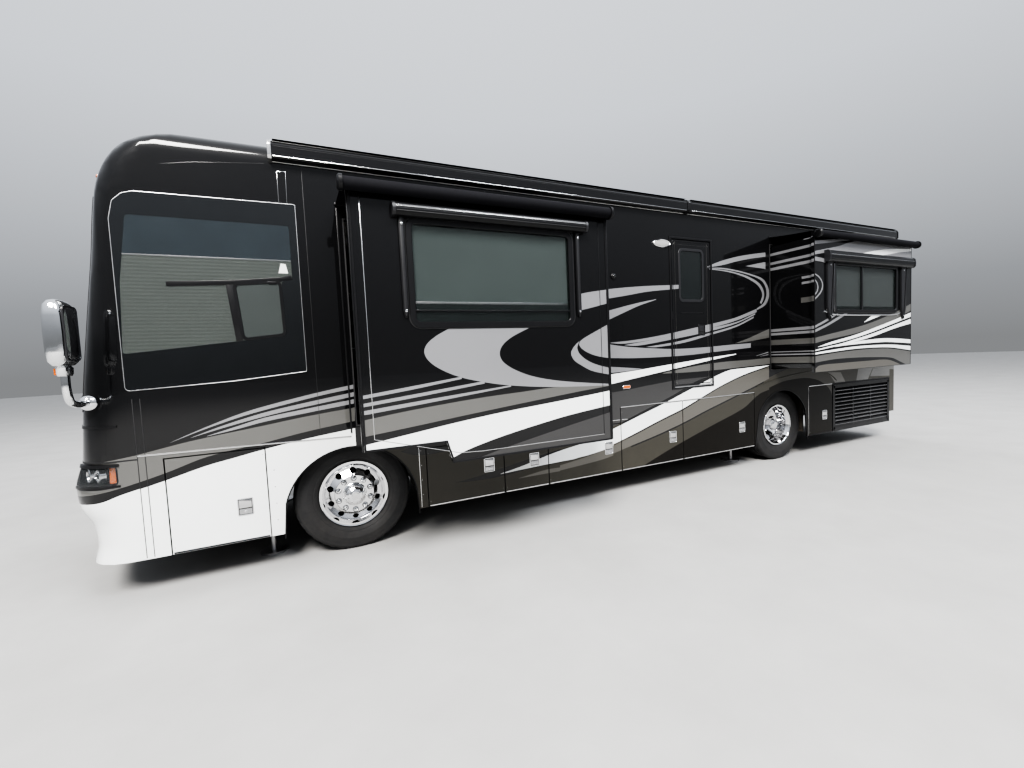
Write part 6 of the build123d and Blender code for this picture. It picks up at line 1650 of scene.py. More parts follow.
for q, sy, ys, x in (("front_left", 1, (1.055,), FX), ("front_right", -1, (1.055,), FX), ("rear_left", 1, (1.055, 0.711), RX), ("rear_right", -1, (1.055, 0.711), RX)):
    body = q + ("_wheel" if q.startswith("front") else "_wheels")
    t_ = Shape()
    for y in ys:
        t_.add(tyre(x, sy * y), "tyre_rubber", True)
    t_.make(q + "_tread", body, slot="tyre", replaces=(q + ("_tyre" if q.startswith("front") else "_tyres"),), sharp=30)
    d = Shape()
    yf = 1.183 if q.startswith("front") else 0.9005
    rr_ = 0.1429
    for k in range(10):
        a = math.radians(36 * k + 0.0)
        c = (x + rr_ * math.sin(a), sy * (yf - 0.001), AXZ + rr_ * math.cos(a))
        d.add(lug(c, (0, sy, 0), sy), "chrome", True)
        # a dark washer under each nut, its tone partly painted shade at the nut's foot
        d.add(lathe([(0.0200, 0.0), (0.0262, 0.0), (0.0256, 0.0022), (0.0200, 0.0026)], c, (0, sy, 0), 24, closed=True), "steel_dark", True)
    # a dark ring at the hub disc's edge, painted shade of its groove
    d.add(lathe([(0.1672, 0.0), (0.1702, 0.0), (0.1702, 0.0014), (0.1672, 0.0018)], (x, sy * (yf - 0.0004), AXZ), (0, sy, 0), 96, closed=True), "steel_dark", True)
    # polished lip ring, hub band and bolts, valve stem
    yo = 1.055 + 0.114
    d.add(lathe([(0.2990, 0.0), (0.3005, 0.006), (0.2975, 0.011), (0.2930, 0.009), (0.2925, 0.0)], (x, sy * yo, AXZ), (0, sy, 0), 120, closed=True), "chrome", True)
    if q.startswith("front"):
        d.add(lathe([(0.0870, 0.0), (0.1040, 0.0), (0.1040, 0.006), (0.0960, 0.013), (0.0900, 0.014), (0.0870, 0.010)], (x, sy * 1.1828, AXZ), (0, sy, 0), 72, closed=True), "chrome", True)
        d.add(lathe([(0.0870, 0.0), (0.0915, 0.0), (0.0915, 0.008), (0.0870, 0.010)], (x, sy * 1.228, AXZ), (0, sy, 0), 72, closed=True), "bright_trim", True)
        d.add(lathe([(0.0, 0.0), (0.034, 0.0), (0.032, 0.004), (0.0, 0.0052)], (x, sy * 1.2765, AXZ), (0, sy, 0), 48), "bright_trim", True)
        for k in range(8):
            a = math.radians(45 * k + 10)
            c = (x + 0.060 * math.sin(a), sy * 1.268, AXZ + 0.060 * math.cos(a))
            d.add(lathe([(0, 0), (0.0065, 0), (0.0065, 0.006), (0, 0.0065)], c, (0, sy, 0), 6), "steel", True)
    else:
        for k in range(8):
            a = math.radians(45 * k)
            c = (x + 0.070 * math.sin(a), sy * 1.136, AXZ + 0.070 * math.cos(a))
            d.add(lathe([(0, 0), (0.009, 0), (0.009, 0.010), (0, 0.0115)], c, (0, sy, 0), 6), "steel", True)
    va = math.radians(100)
    v0 = (x + 0.245 * math.sin(va), sy * (yf + 0.004), AXZ + 0.245 * math.cos(va))
    d.add(tube([v0, (v0[0], v0[1] + sy * 0.030, v0[2]), (v0[0] * 1.0, v0[1] + sy * 0.055, v0[2])], 0.0045, 12), "steel", True)
    d.make(q + "_wheel_fittings", body, slot="chrome")

# ------------------------------------------------------------------ roof edge boxes, roof units
b_ = Shape()
for sy, spans in ((1, ((0.478, -4.020), (-4.040, -8.740))), (-1, ((0.478, -5.600),))):
    for x1, x0 in spans:
        for z, hh, mat in ((3.362, 0.006, "bright_trim"), (3.440, 0.003, "seam_black")):
            b_.add(block(x0 + 0.03, x1 - 0.03, min(sy * 1.360, sy * 1.3675), max(sy * 1.360, sy * 1.3675), z - hh / 2, z + hh / 2, 0.0014), mat, True)
        for xe, sg in ((x1, 1), (x0, -1)):
            pr = rounded([(1.292, 3.338), (1.352, 3.344), (1.371, 3.364), (1.371, 3.452), (1.356, 3.488), (1.300, 3.508)], [0.006, 0.012, 0.012, 0.012, 0.02, 0.01], 4)
            pr = [(sy * a, b) for a, b in pr]
            b_.add(prism(pr, across(xe, sg), -0.018, 0.010, 0.005), "bright_trim" if xe in (0.478,) else "satin_black", True)
        for z in (3.475, 3.500):
            b_.add(block(x0 + 0.03, x1 - 0.03, min(sy * 1.300, sy * 1.352), max(sy * 1.300, sy * 1.352), z - 0.0015, z + 0.0015, 0.001) if z > 3.49 else block(x0 + 0.03, x1 - 0.03, min(sy * 1.350, sy * 1.3615), max(sy * 1.350, sy * 1.3615), z - 0.003, z + 0.003, 0.0014), "satin_black", True)
b_.make("roof_edge_box_trim", "root", slot="awning_black")
u_ = Shape()
for xc_ in (-0.700, -3.900, -6.900):
    zt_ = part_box("roof_air_conditioners")[1].z
    za = zt_ - 0.285
    u_.add(blob([(za + 0.002, xc_, 0, 0.522, 0.368, 7), (za + 0.06, xc_, 0, 0.520, 0.366, 7), (za + 0.17, xc_, 0, 0.508, 0.354, 6), (za + 0.245, xc_, 0, 0.486, 0.334, 5.5), (za + 0.277, xc_, 0, 0.450, 0.300, 5), (za + 0.286, xc_, 0, 0.380, 0.240, 4.5)], 64), "black_plastic", True)
    # vent slots, fan opening and front slots are near-black plates, painted shade of openings the cover doesn't cut
    for k in range(9):
        y = -0.20 + 0.05 * k
        u_.add(prism(rect(xc_ - 0.30, xc_ - 0.05, y - 0.010, y + 0.010, 0.008, 4), flat(za + 0.284), 0.0, 0.006, 0.002), "hole_black", True)
    u_.add(lathe([(0.165, 0.0), (0.170, 0.006), (0.160, 0.010), (0.150, 0.004)], (xc_ + 0.20, 0, za + 0.283), (0, 0, 1), 48, closed=True), "satin_black", True)
    u_.add(lathe([(0.0, 0.0), (0.148, 0.0), (0.148, 0.003), (0.0, 0.004)], (xc_ + 0.20, 0, za + 0.283), (0, 0, 1), 48), "hole_black", True)
    for k in range(4):
        a = math.pi * k / 4
        u_.add(sweep(rect(-0.002, 0.002, -0.004, 0.004), [(xc_ + 0.20 - 0.155 * math.cos(a), -0.155 * math.sin(a), za + 0.290), (xc_ + 0.20 + 0.155 * math.cos(a), 0.155 * math.sin(a), za + 0.290)]), "steel", True)
    for k in range(7):
        z = za + 0.055 + 0.018 * k
        u_.add(block(xc_ - 0.532, xc_ - 0.500, -0.24, 0.24, z - 0.004, z + 0.004, 0.002), "hole_black", True)
u_.make("roof_unit_covers", "root", slot="roof_plastic", replaces=("roof_air_conditioners",))


def crown(y):
    return math.sqrt(36.0 - y * y) - 2.380


v_ = Shape()
for x, y in ((-2.30, 0.45), (-5.40, -0.40), (-8.00, 0.35)):
    z = crown(y)
    v_.add(blob([(z - 0.006, x, y, 0.225, 0.225, 8), (z + 0.030, x, y, 0.222, 0.222, 8), (z + 0.036, x, y, 0.200, 0.200, 7)], 48), "white_plastic", True)
    v_.add(blob([(z + 0.034, x, y, 0.190, 0.190, 6), (z + 0.062, x, y, 0.186, 0.186, 5), (z + 0.078, x, y, 0.150, 0.150, 4)], 48), "glass_dark", True)
v_.add(blob([(crown(0.0) - 0.004, -5.05, 0.32, 0.24, 0.24, 2), (crown(0) + 0.02, -5.05, 0.32, 0.24, 0.24, 2), (crown(0) + 0.11, -5.05, 0.32, 0.215, 0.215, 2), (crown(0) + 0.20, -5.05, 0.32, 0.150, 0.150, 2), (crown(0) + 0.235, -5.05, 0.32, 0.070, 0.070, 2), (crown(0) + 0.242, -5.05, 0.32, 0.015, 0.015, 2)], 48), "white_plastic", True)
for x, y in ((-1.55, -0.62), (-4.75, -0.55), (-7.6, -0.6)):
    z = crown(y)
    v_.add(lathe([(0.0, 0.0), (0.052, 0.0), (0.050, 0.05), (0.062, 0.052), (0.062, 0.070), (0.040, 0.086), (0, 0.088)], (x, y, z - 0.004), (0, 0, 1), 32), "white_plastic", True)
for x in (-2.0, -5.9):
    pts = [(x, -0.85 + 0.17 * k, crown(-0.85 + 0.17 * k) + 0.002) for k in range(11)]
    v_.add(sweep(rect(-0.001, 0.003, -0.020, 0.020), pts), "white_plastic", True)
for k in range(2):
    z = crown(0.72)
    v_.add(block(-4.55 + 1.05 * k - 0.48, -4.55 + 1.05 * k + 0.48, 0.52, 0.98, crown(0.98) + 0.020, crown(0.98) + 0.046, 0.006), "alu_satin", True)
    v_.add(block(-4.55 + 1.05 * k - 0.46, -4.55 + 1.05 * k + 0.46, 0.54, 0.96, crown(0.98) + 0.045, crown(0.98) + 0.0475, 0.001), "glass_dark", True)
    for xx in (-0.4, 0.4):
        v_.add(block(-4.55 + 1.05 * k + xx - 0.02, -4.55 + 1.05 * k + xx + 0.02, 0.55, 0.95, crown(0.55) - 0.02, crown(0.98) + 0.022, 0.003), "steel", True)
v_.make("roof_fittings", "root", slot="roof_plastic")

# ------------------------------------------------------------------ rear cap
def rear_map(sy):
    """(u, z): u runs back from the side wall's end, round the corner and across to the middle."""
    def to(u, z, d=0.0):
        e = -8.660 - u
        if e < 0.120:
            return (-8.660 - e, sy * (HALF_W + d), z)
        if e < 0.120 + 0.080 * math.pi / 2:
            a = (e - 0.120) / 0.080
            return (-8.780 - (0.080 + d) * math.sin(a), sy * (1.215 + (0.080 + d) * math.cos(a)), z)
        return (-8.860 - d, sy * max(1.215 - (e - 0.120 - 0.080 * math.pi / 2), 0.0), z)
    return to


U0 = -8.660 - (0.120 + 0.080 * math.pi / 2 + 1.215)


def u_at(y):
    return U0 + y


REAR_R = []
for c, t, b in TAIL:
    lo = b[-1][1]
    REAR_R.append((COLOUR[c], curve(t + [(-9.45, t[-1][1] - 0.015), (-10.3, t[-1][1] - 0.020)], 5) + curve(b[:1] + b[1:] + [(-9.45, lo if lo < 0.2 else lo - 0.02), (-10.3, lo if lo < 0.2 else lo - 0.03)], 5)[::-1]))
BEND = [-8.780 - 0.080 * math.pi / 2 * k / 10 for k in range(11)]


def crossed(poly):
    """A closed outline with a point wherever it crosses one of the corner's lines."""
    out = []
    for i, a in enumerate(poly):
        b = poly[(i + 1) % len(poly)]
        out.append(a)
        ts = sorted((x - a[0]) / (b[0] - a[0]) for x in BEND if abs(b[0] - a[0]) > 1e-9 and 1e-6 < (x - a[0]) / (b[0] - a[0]) < 1 - 1e-6)
        out += [(a[0] + (b[0] - a[0]) * t, a[1] + (b[1] - a[1]) * t) for t in ts]
    return out


REAR_R = [(c, crossed(r)) for c, r in REAR_R]
eh = [(U0 - 0.01, 0.548), (u_at(0.632), 0.548), (u_at(0.632), 1.192), (U0 - 0.01, 1.192)]
tl = rect(u_at(1.005), u_at(1.155), 1.293, 1.767)
rgrid = [(x, z) for x in BEND for z in np.arange(0.50, 3.30, 0.06)]
for sy in (1, -1):
    v, f, colour = cut_flat(crossed([(U0, 0.462), (-8.661, 0.462), (-8.661, 3.338), (-8.80, 3.338), (-8.80, 3.20), (U0, 3.20)]), [eh, tl], REAR_R, extra=rgrid)
    s9 = Shape()
    for c, part in skin(v, f, colour, rear_map(sy), 0.0002, 0.0012).items():
        s9.add(part, c)
    s9.make(f"rear_cap_paint_{'left' if sy > 0 else 'right'}", "root", slot="paint_black")

BK = across(-8.860, -1)
k_ = Shape()
# joint lines, clearance lamps, rear camera, plate carrier, lower reflectors, window-less upper panel moulding
o = rect(-0.628, 0.628, 0.552, 1.188, 0.032, 6)
k_.add(ring(inset(o, -0.012), o, BK, -0.001, 0.006, 0.002), "satin_black", True)
for y in (-0.95, -0.16, 0.0, 0.16, 0.95):
    q_ = rect(y - 0.052, y + 0.052, 3.150, 3.180, 0.013, 5)
    k_.add(ring(inset(q_, -0.005), inset(q_, 0.002), BK, -0.0005, 0.006, 0.002), "chrome", True)
    k_.add(prism(q_, BK, -0.0005, 0.014, 0.006), "lens_red", True)
k_.add(blob([(-8.858, 0.0, 2.96, 0.050, 0.036, 3), (-8.880, 0.0, 2.96, 0.048, 0.034, 3), (-8.902, 0.0, 2.955, 0.036, 0.024, 2.6)], 36, order=(1, 2, 0)), "black_plastic", True)
k_.add(lathe([(0, 0), (0.014, 0), (0.013, 0.004), (0, 0.007)], (-8.900, 0.0, 2.952), (-1, 0, -0.2), 24), "glass_dark", True)
o = rect(-0.90, 0.90, 1.88, 2.86, 0.06, 7)
k_.add(ring(o, inset(o, 0.012), BK, -0.0005, 0.005, 0.002), "satin_black", True)
k_.add(prism(inset(o, 0.011), BK, -0.0005, 0.0018), "glass_dark", True)
for y in (-0.96, 0.96):
    q_ = rect(y - 0.055, y + 0.055, 0.520, 0.560, 0.006, 3)
    k_.add(prism(q_, BK, -0.0005, 0.008, 0.003), "lens_red", True)
k_.add(block(-8.905, -8.850, -1.20, 1.20, 0.462, 0.505, 0.010), "bright_trim", True)
k_.make("rear_fittings", "root", slot="trim_chrome")
e1 = Shape()
o = rect(-0.606, 0.606, 0.574, 1.166, 0.026, 6)
e1.add(ring(o, inset(o, 0.010), BK, -0.0005, 0.004, 0.0015), "paint_grey", True)
for k in range(9):
    z = 0.640 + 0.042 * k
    for y0_, y1_ in ((-0.54, -0.03), (0.03, 0.54)):
        # a near-black slot behind each louvre, painted shade of the opening
        e1.add(prism(rect(y0_, y1_, z - 0.012, z + 0.012, 0.011, 5), BK, -0.0005, 0.0008), "hole_black", True)
        e1.add(prism(rect(y0_ + 0.004, y1_ - 0.004, z + 0.002, z + 0.014, 0.005, 4), BK, 0.0002, 0.010, 0.004), "satin_black", True)
for y in (-0.48, 0.48):
    latch(e1, y, 1.098, BK, 0.10, 0.075)
e1.add(prism(rect(-0.160, 0.160, 1.045, 1.150, 0.008, 4), BK, -0.0005, 0.0045, 0.002), "black_plastic", True)
e1.add(prism(rect(-0.152, 0.152, 1.052, 1.143, 0.006, 4), BK, 0.004, 0.0062, 0.0008), "white_plastic", True)
e1.make("engine_door_fittings", "engine_door", slot="trim_chrome")

# ------------------------------------------------------------------ curb side
c_ = Shape()
for q in RIGHT_GLASS:
    o = rounded(rc(q, 0.0), 0.05, 6)
    c_.add(ring(inset(o, -0.032), inset(o, 0.008), Rm, -0.002, 0.006, 0.002), "satin_black", True)
    xm = (q[0] + q[1]) / 2
    if q[0] - q[1] > 0.8:
        c_.add(prism(rect(xm - 0.014, xm + 0.014, q[2] + 0.004, q[3] - 0.004), Rm, -0.010, 0.004, 0.002), "satin_black", True)
        c_.add(prism(rect(xm - 0.060, xm - 0.030, (q[2] + q[3]) / 2 - 0.03, (q[2] + q[3]) / 2 + 0.03, 0.006, 4), Rm, -0.004, 0.008, 0.003), "black_plastic", True)
o = [(0.700, 0.300), (1.400, 0.300), (1.400, 2.772), (0.700, 2.772)]
strip(c_, [(1.407, 0.31), (1.407, 2.774), (0.698, 2.774), (0.698, 0.31)], Rm, 0.020, 0.006, "satin_black")
for a, b in (((-0.655, 1.040), (-2.295, 1.040)), ((-2.305, 1.040), (-3.945, 1.040)), ((-3.955, 1.040), (-5.245, 1.040)), ((-6.465, 1.040), (-8.645, 1.040)), ((0.66, 1.062), (0.02, 1.048))):
    strip(c_, [a, b], Rm, 0.012, 0.005, "bright_trim")
for x, z in ((-3.05, 1.270), (-8.45, 1.270), (-5.95, 1.270)):
    o = rect(x - 0.052, x + 0.052, z - 0.016, z + 0.016, 0.014, 5)
    c_.add(ring(inset(o, -0.005), inset(o, 0.002), Rm, -0.0005, 0.006, 0.002), "chrome", True)
    c_.add(prism(o, Rm, -0.0005, 0.010, 0.005), "lens_amber", True)
ov = [(0.56 + a * 8.0, 2.960 + b * 2.9) for a, b in circle(0.0165, 40)]
c_.add(ring(ov, inset(ov, 0.013), Rm, -0.0005, 0.020, 0.006), "chrome", True)
c_.add(prism(inset(ov, 0.012), Rm, -0.0005, 0.014, 0.006), "lens_white", True)
# grab rail beside the door, awning arms, outside sockets
pts = curve([(0.640, -1.296, 1.02), (0.640, -1.330, 1.04), (0.640, -1.345, 1.12), (0.640, -1.345, 1.80), (0.640, -1.330, 1.90), (0.640, -1.296, 1.92)], 5)
c_.add(tube(pts, 0.013, 16), "chrome", True)
for z in (1.02, 1.92):
    c_.add(lathe([(0, 0), (0.028, 0), (0.028, 0.004), (0.016, 0.012), (0, 0.013)], (0.640, -1.2945, z), (0, -1, 0), 28), "chrome", True)
for xx in (0.400, -5.520):
    c_.add(block(xx - 0.030, xx + 0.030, -1.324, -1.294, 1.15, 3.345, 0.006), "satin_black", True)
    c_.add(block(xx - 0.018, xx + 0.018, -1.330, -1.320, 1.22, 3.30, 0.003), "bright_trim", True)
    c_.add(block(xx - 0.036, xx + 0.036, -1.328, -1.294, 1.135, 1.20, 0.006), "black_plastic", True)
for x, z in ((-7.9, 1.30),):
    o = rect(x - 0.065, x + 0.065, z - 0.055, z + 0.055, 0.012, 4)
    c_.add(prism(o, Rm, -0.0005, 0.008, 0.003), "satin_black", True)
    c_.add(ring(inset(o, 0.014), inset(o, 0.017), Rm, 0.007, 0.0085), "seam_black")
for xs_ in (1.4985, 1.452):
    strip(c_, [(xs_, 1.500), (xs_, 0.30)], Rm, 0.0055, 0.0014, "seam_black")
strip(c_, curve([(-5.300, 1.120), (-5.50, 1.160), (-5.965, 1.222), (-6.554, 1.262), (-6.90, 1.220), (-7.043, 1.157), (-7.152, 1.085)], 6), Rm, 0.012, 0.009, "paint_taupe")
# exhaust tip under the tail
c_.add(lathe([(0.0, 0.0), (0.058, 0.0), (0.062, 0.010), (0.062, 0.18), (0.056, 0.184), (0.054, 0.05), (0.0, 0.05)], (-8.30, -0.95, 0.43), (-0.35, -0.75, -0.05), 40), "chrome", True)
c_.make("right_wall_trim", "root", slot="trim_chrome")
d = Shape()
go = rounded(rc(ENTRY_GLASS, 0.0), 0.05, 6)
d.add(ring(inset(go, -0.026), inset(go, 0.008), Rm, -0.002, 0.006, 0.002), "satin_black", True)
o = rounded(rc(ENTRY, -0.010), 0.025, 5)
d.add(ring(o, inset(o, 0.010), Rm, -0.0005, 0.0035, 0.001), "satin_black", True)
d.add(ring(inset(o, 0.05), inset(o, 0.054), Rm, -0.0005, 0.0018, 0.0006), "paint_grey", True)
ph = rect(0.745, 0.870, 1.36, 1.52, 0.014, 4)
d.add(ring(ph, inset(ph, 0.012), Rm, -0.0005, 0.007, 0.002), "chrome", True)
# the handle's pocket is near black, partly painted shade
d.add(prism(inset(ph, 0.011), Rm, -0.0005, 0.0015), "hole_black")
d.add(prism(rect(0.760, 0.855, 1.420, 1.505, 0.008, 4), Rm, 0.001, 0.0065, 0.002), "bright_trim", True)
d.add(prism([(0.808 + a, 1.388 + b) for a, b in circle(0.011, 18)], Rm, 0.001, 0.0075, 0.002), "chrome", True)
strip(d, [(0.76, 0.62), (1.34, 0.62)], Rm, 0.060, 0.003, "alu_satin")
for zz in (0.70, 1.60, 2.50):
    d.add(tube([(ENTRY[0], -HALF_W, zz - 0.05), (ENTRY[0], -HALF_W, zz + 0.05)], 0.0055, 12), "satin_black", True)
d.make("entry_door_fittings", "entry_door", slot="trim_chrome")
st = Shape()
b0, b1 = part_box("entry_step")
zt_ = b1.z
for k in range(9):
    y = b0.y - SHIFT[1] + 0.03 + (b1.y - b0.y - 0.06) * k / 8
    st.add(block(b0.x - SHIFT[0] + 0.02, b1.x - SHIFT[0] - 0.02, y - 0.006, y + 0.006, zt_ - 0.001, zt_ + 0.003, 0.0012), "rubber", True)
st.make("entry_step_treads", "entry_step", slot="step_aluminium")


def blind(name, body, outline, to, mat, panes=(), d=0.0014, d0=0.0):
    """A roller blind's cloth as one sheet, panes being parts of it in another tone."""
    v, f, colour = cut_flat(outline, [], list(panes))
    colour = np.array([c or mat for c in colour], object)
    b = Shape()
    for c, part in skin(v, f, colour, to, d0, d0 + d).items():
        b.add(part, c)
    ob = b.make(name, body, slot="fabric_shade")
    return ob


blind("cab_window_blind", "root", CW_BLIND, L, "shade_cloth", [("shade_dim", [(0.480, 1.952), (0.764, 1.934), (0.784, 2.346), (0.480, 2.374)])], d=0.0010, d0=0.0006)
for k, q in enumerate(RIGHT_GLASS):
    blind(f"curb_window_blind_{k + 1}", "root", rc(q, -0.012), side(-1, HALF_W - 0.026), "shade_cloth")
q = F_GLASS
blind("front_slide_blind", "front_slide", rect(q[1] + 0.012, q[0] - 0.012, 2.13, q[3] - 0.012), side(1, F_FACE - 0.026), "shade_light")
bl = Shape()
# a near-black sheet below the blind, painted shade of the inside, and the blind's rail
bl.add(prism(rect(q[1] + 0.012, q[0] - 0.012, q[2] + 0.012, 2.118), side(1, F_FACE - 0.028), 0.0, 0.001), "glass_dark", True)
bl.add(block(q[1] + 0.012, q[0] - 0.012, F_FACE - 0.030, F_FACE - 0.022, 2.119, 2.137, 0.003), "alu_satin", True)
bl.make("front_slide_blind_rail", "front_slide", slot="dark_glass")
q = R_GLASS
# the rear slide-out's blind is drawn dark, painted shade of the unlit inside
blind("rear_slide_blind", "rear_slide", rect(q[1] + 0.012, q[0] - 0.012, q[2] + 0.055, q[3] - 0.012), side(1, R_FACE - 0.028), "shade_dark")
# a near-black sheet behind each door's glass, painted shade of the inside
for tag, gq, to in (("egress_door", EGRESS_GLASS, side(1, HALF_W - 0.026)), ("entry_door", ENTRY_GLASS, side(-1, HALF_W - 0.026))):
    bl = Shape()
    bl.add(prism(rc(gq, -0.012), to, 0.0, 0.0015), "glass_dark", True)
    bl.make(tag + "_inner_pane", tag, slot="dark_glass")

# ------------------------------------------------------------------ cab: wheel, dash fittings, seats
C0 = Vector((0.985, 0.660, 1.705))
AX = Vector((-0.62, 0, 0.785)).normalized()
ux = Vector((0, 1, 0))
uz = AX.cross(ux)


def on_wheel(part):
    return [tuple(C0 + ux * p[0] + uz * p[1] + AX * p[2]) for p in part[0]], part[1]


sw = Shape()
R_W = 0.225
n1, n2 = 96, 16
vv, ff = [], []
for i in range(n1):
    a = 2 * math.pi * i / n1
    for j in range(n2):
        b = 2 * math.pi * j / n2
        rt = 0.0155 + (0.0012 if (i % 4 < 2 and math.sin(b) < 0) else 0.0)
        r = R_W - 0.014 + rt * math.cos(b)
        vv.append((r * math.cos(a), r * math.sin(a), rt * math.sin(b)))
for i in range(n1):
    for j in range(n2):
        ff.append([i * n2 + j, ((i + 1) % n1) * n2 + j, ((i + 1) % n1) * n2 + (j + 1) % n2, i * n2 + (j + 1) % n2])
sw.add(on_wheel((vv, ff)), "leather_dark", True)
for a in (200, 340, 90):
    ca, sa = math.cos(math.radians(a)), math.sin(math.radians(a))
    pts = [tuple(C0 + ux * (ca * r) + uz * (sa * r) + AX * h) for r, h in ((0.04, -0.030), (0.10, -0.022), (0.16, -0.010), (0.212, 0.0))]
    sw.add(sweep([(a_ * 1.0, b_) for a_, b_ in rect(-0.006, 0.006, -0.020, 0.020, 0.005, 3)], pts), "alu_satin", True)
sw.add(on_wheel(blob([(-0.050, 0, 0, 0.060, 0.050, 3), (-0.020, 0, 0, 0.085, 0.070, 3), (0.000, 0, 0, 0.083, 0.068, 3), (0.012, 0, 0, 0.060, 0.050, 2.6), (0.016, 0, 0, 0.025, 0.020, 2.2)], 48)), "black_plastic", True)
sw.make("steering_wheel_rim", "steering_wheel", slot="cab_plastic", replaces=("steering_wheel",))

dsh = Shape()
db0, db1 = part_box("dashboard")
dx1, dz1 = db1.x - SHIFT[0], db1.z
dx0 = db0.x - SHIFT[0]
dsh.add(blob([(dz1 - 0.01, (dx0 + dx1) / 2 + 0.04, 0.66, 0.13, 0.26, 4), (dz1 + 0.05, (dx0 + dx1) / 2 + 0.04, 0.66, 0.12, 0.25, 4), (dz1 + 0.085, (dx0 + dx1) / 2 + 0.05, 0.66, 0.09, 0.22, 3.5)], 44), "leather_dark", True)
dsh.make("dash_cowl", "root", slot="cab_plastic")


def cushion(x0, x1, y0, y1, z0, z1, face, crown_h, roll, seams, name, mat="leather", n=44):
    """A stuffed pad: rounded box, crowned on one face, with stitched grooves running into its edges."""
    cx, cy, cz = (x0 + x1) / 2, (y0 + y1) / 2, (z0 + z1) / 2
    hx, hy, hz = (x1 - x0) / 2, (y1 - y0) / 2, (z1 - z0) / 2
    bm = bmesh.new()
    bmesh.ops.create_cube(bm, size=2.0)
    bmesh.ops.subdivide_edges(bm, edges=bm.edges[:], cuts=n // 2, use_grid_fill=True)
    ax = {"x": 0, "z": 2}[face[1]]
    sg = 1 if face[0] == "+" else -1
    for v in bm.verts:
        p = np.array(v.co)
        e = 5.0
        m = (abs(p[0]) ** e + abs(p[1]) ** e + abs(p[2]) ** e) ** (1 / e)
        q = p / max(m, 1e-6)
        c = [cx + hx * q[0], cy + hy * q[1], cz + hz * q[2]]
        other = [k for k in (0, 1, 2) if k != ax]
        u, w_ = q[other[0]], q[other[1]]
        if sg * q[ax] > 0.2:
            up = crown_h * max(1 - u * u, 0) * max(1 - w_ * w_, 0)
            up += roll * (max(0, abs(q[1]) - 0.55) / 0.45) * max(1 - abs(u if other[0] != 1 else w_) ** 4, 0)
            for kind, pos in seams:
                dd = abs((q[1] if kind == "y" else (q[0] if ax == 2 else q[2])) - pos)
                up -= 0.010 * math.exp(-(dd / 0.035) ** 2)
                up += 0.0022 * math.exp(-((dd - 0.075) / 0.035) ** 2)
            up += 0.0015 * math.sin(9 * u + 4 * w_) * math.sin(7 * w_)
            c[ax] += sg * up
        v.co = c
    bm.normal_update()
    part = [tuple(v.co) for v in bm.verts], [[v.index for v in f.verts] for f in bm.faces]
    bm.verts.index_update()
    part = [tuple(v.co) for v in bm.verts], [[v.index for v in f.verts] for f in bm.faces]
    bm.free()
    s = Shape()
    s.add(part, mat, True)
    ob = s.make(name, "root", slot="seat_leather", sharp=70)
    return ob


for sy, tag in ((1, "driver"), (-1, "passenger")):
    yc = sy * 0.660
    cushion(0.27, 0.79, yc - 0.27, yc + 0.27, 1.425, 1.575, "+z", 0.020, 0.022, [("y", -0.56), ("y", 0.56), ("x", 0.1), ("x", -0.45)], tag + "_seat_cushion")
    cushion(0.235, 0.365, yc - 0.26, yc + 0.26, 1.555, 2.165, "+x", 0.026, 0.026, [("y", -0.56), ("y", 0.56), ("z", 0.0), ("z", 0.5), ("z", -0.5)], tag + "_seat_back")
    cushion(0.255, 0.350, yc - 0.15, yc + 0.15, 2.205, 2.375, "+x", 0.014, 0.0, [("z", 0.0)], tag + "_headrest")
    fr = Shape()
    fr.add(block(0.245, 0.270, yc - 0.235, yc + 0.235, 1.50, 2.10, 0.010), "black_plastic", True)
    for yy in (-0.07, 0.07):
        fr.add(tube([(0.300, yc + yy, 2.13), (0.300, yc + yy, 2.24)], 0.007, 12), "chrome", True)
    for yy in (-1, 1):
        fr.add(blob([(0.335, yc + yy * 0.305, 1.735, 0.026, 0.024, 3), (0.36, yc + yy * 0.305, 1.740, 0.031, 0.029, 3), (0.62, yc + yy * 0.305, 1.750, 0.030, 0.028, 3), (0.655, yc + yy * 0.305, 1.748, 0.022, 0.020, 2.5)], 28, order=(1, 2, 0)), "leather_dark", True)
        fr.add(block(0.325, 0.365, yc + yy * 0.275 - 0.012, yc + yy * 0.275 + 0.012, 1.56, 1.745, 0.006), "black_plastic", True)
    fr.add(block(0.33, 0.73, yc - 0.20, yc + 0.20, 1.395, 1.430, 0.010), "black_plastic", True)
    fr.add(blob([(1.152, 0.53, yc, 0.200, 0.180, 4), (1.175, 0.53, yc, 0.190, 0.170, 4), (1.20, 0.53, yc, 0.090, 0.090, 3), (1.38, 0.53, yc, 0.100, 0.100, 3), (1.400, 0.53, yc, 0.170, 0.160, 4)], 40), "satin_black", True)
    fr.make(tag + "_seat_frame", "root", slot="cab_plastic", replaces=("cab_seats",) if sy > 0 else ())

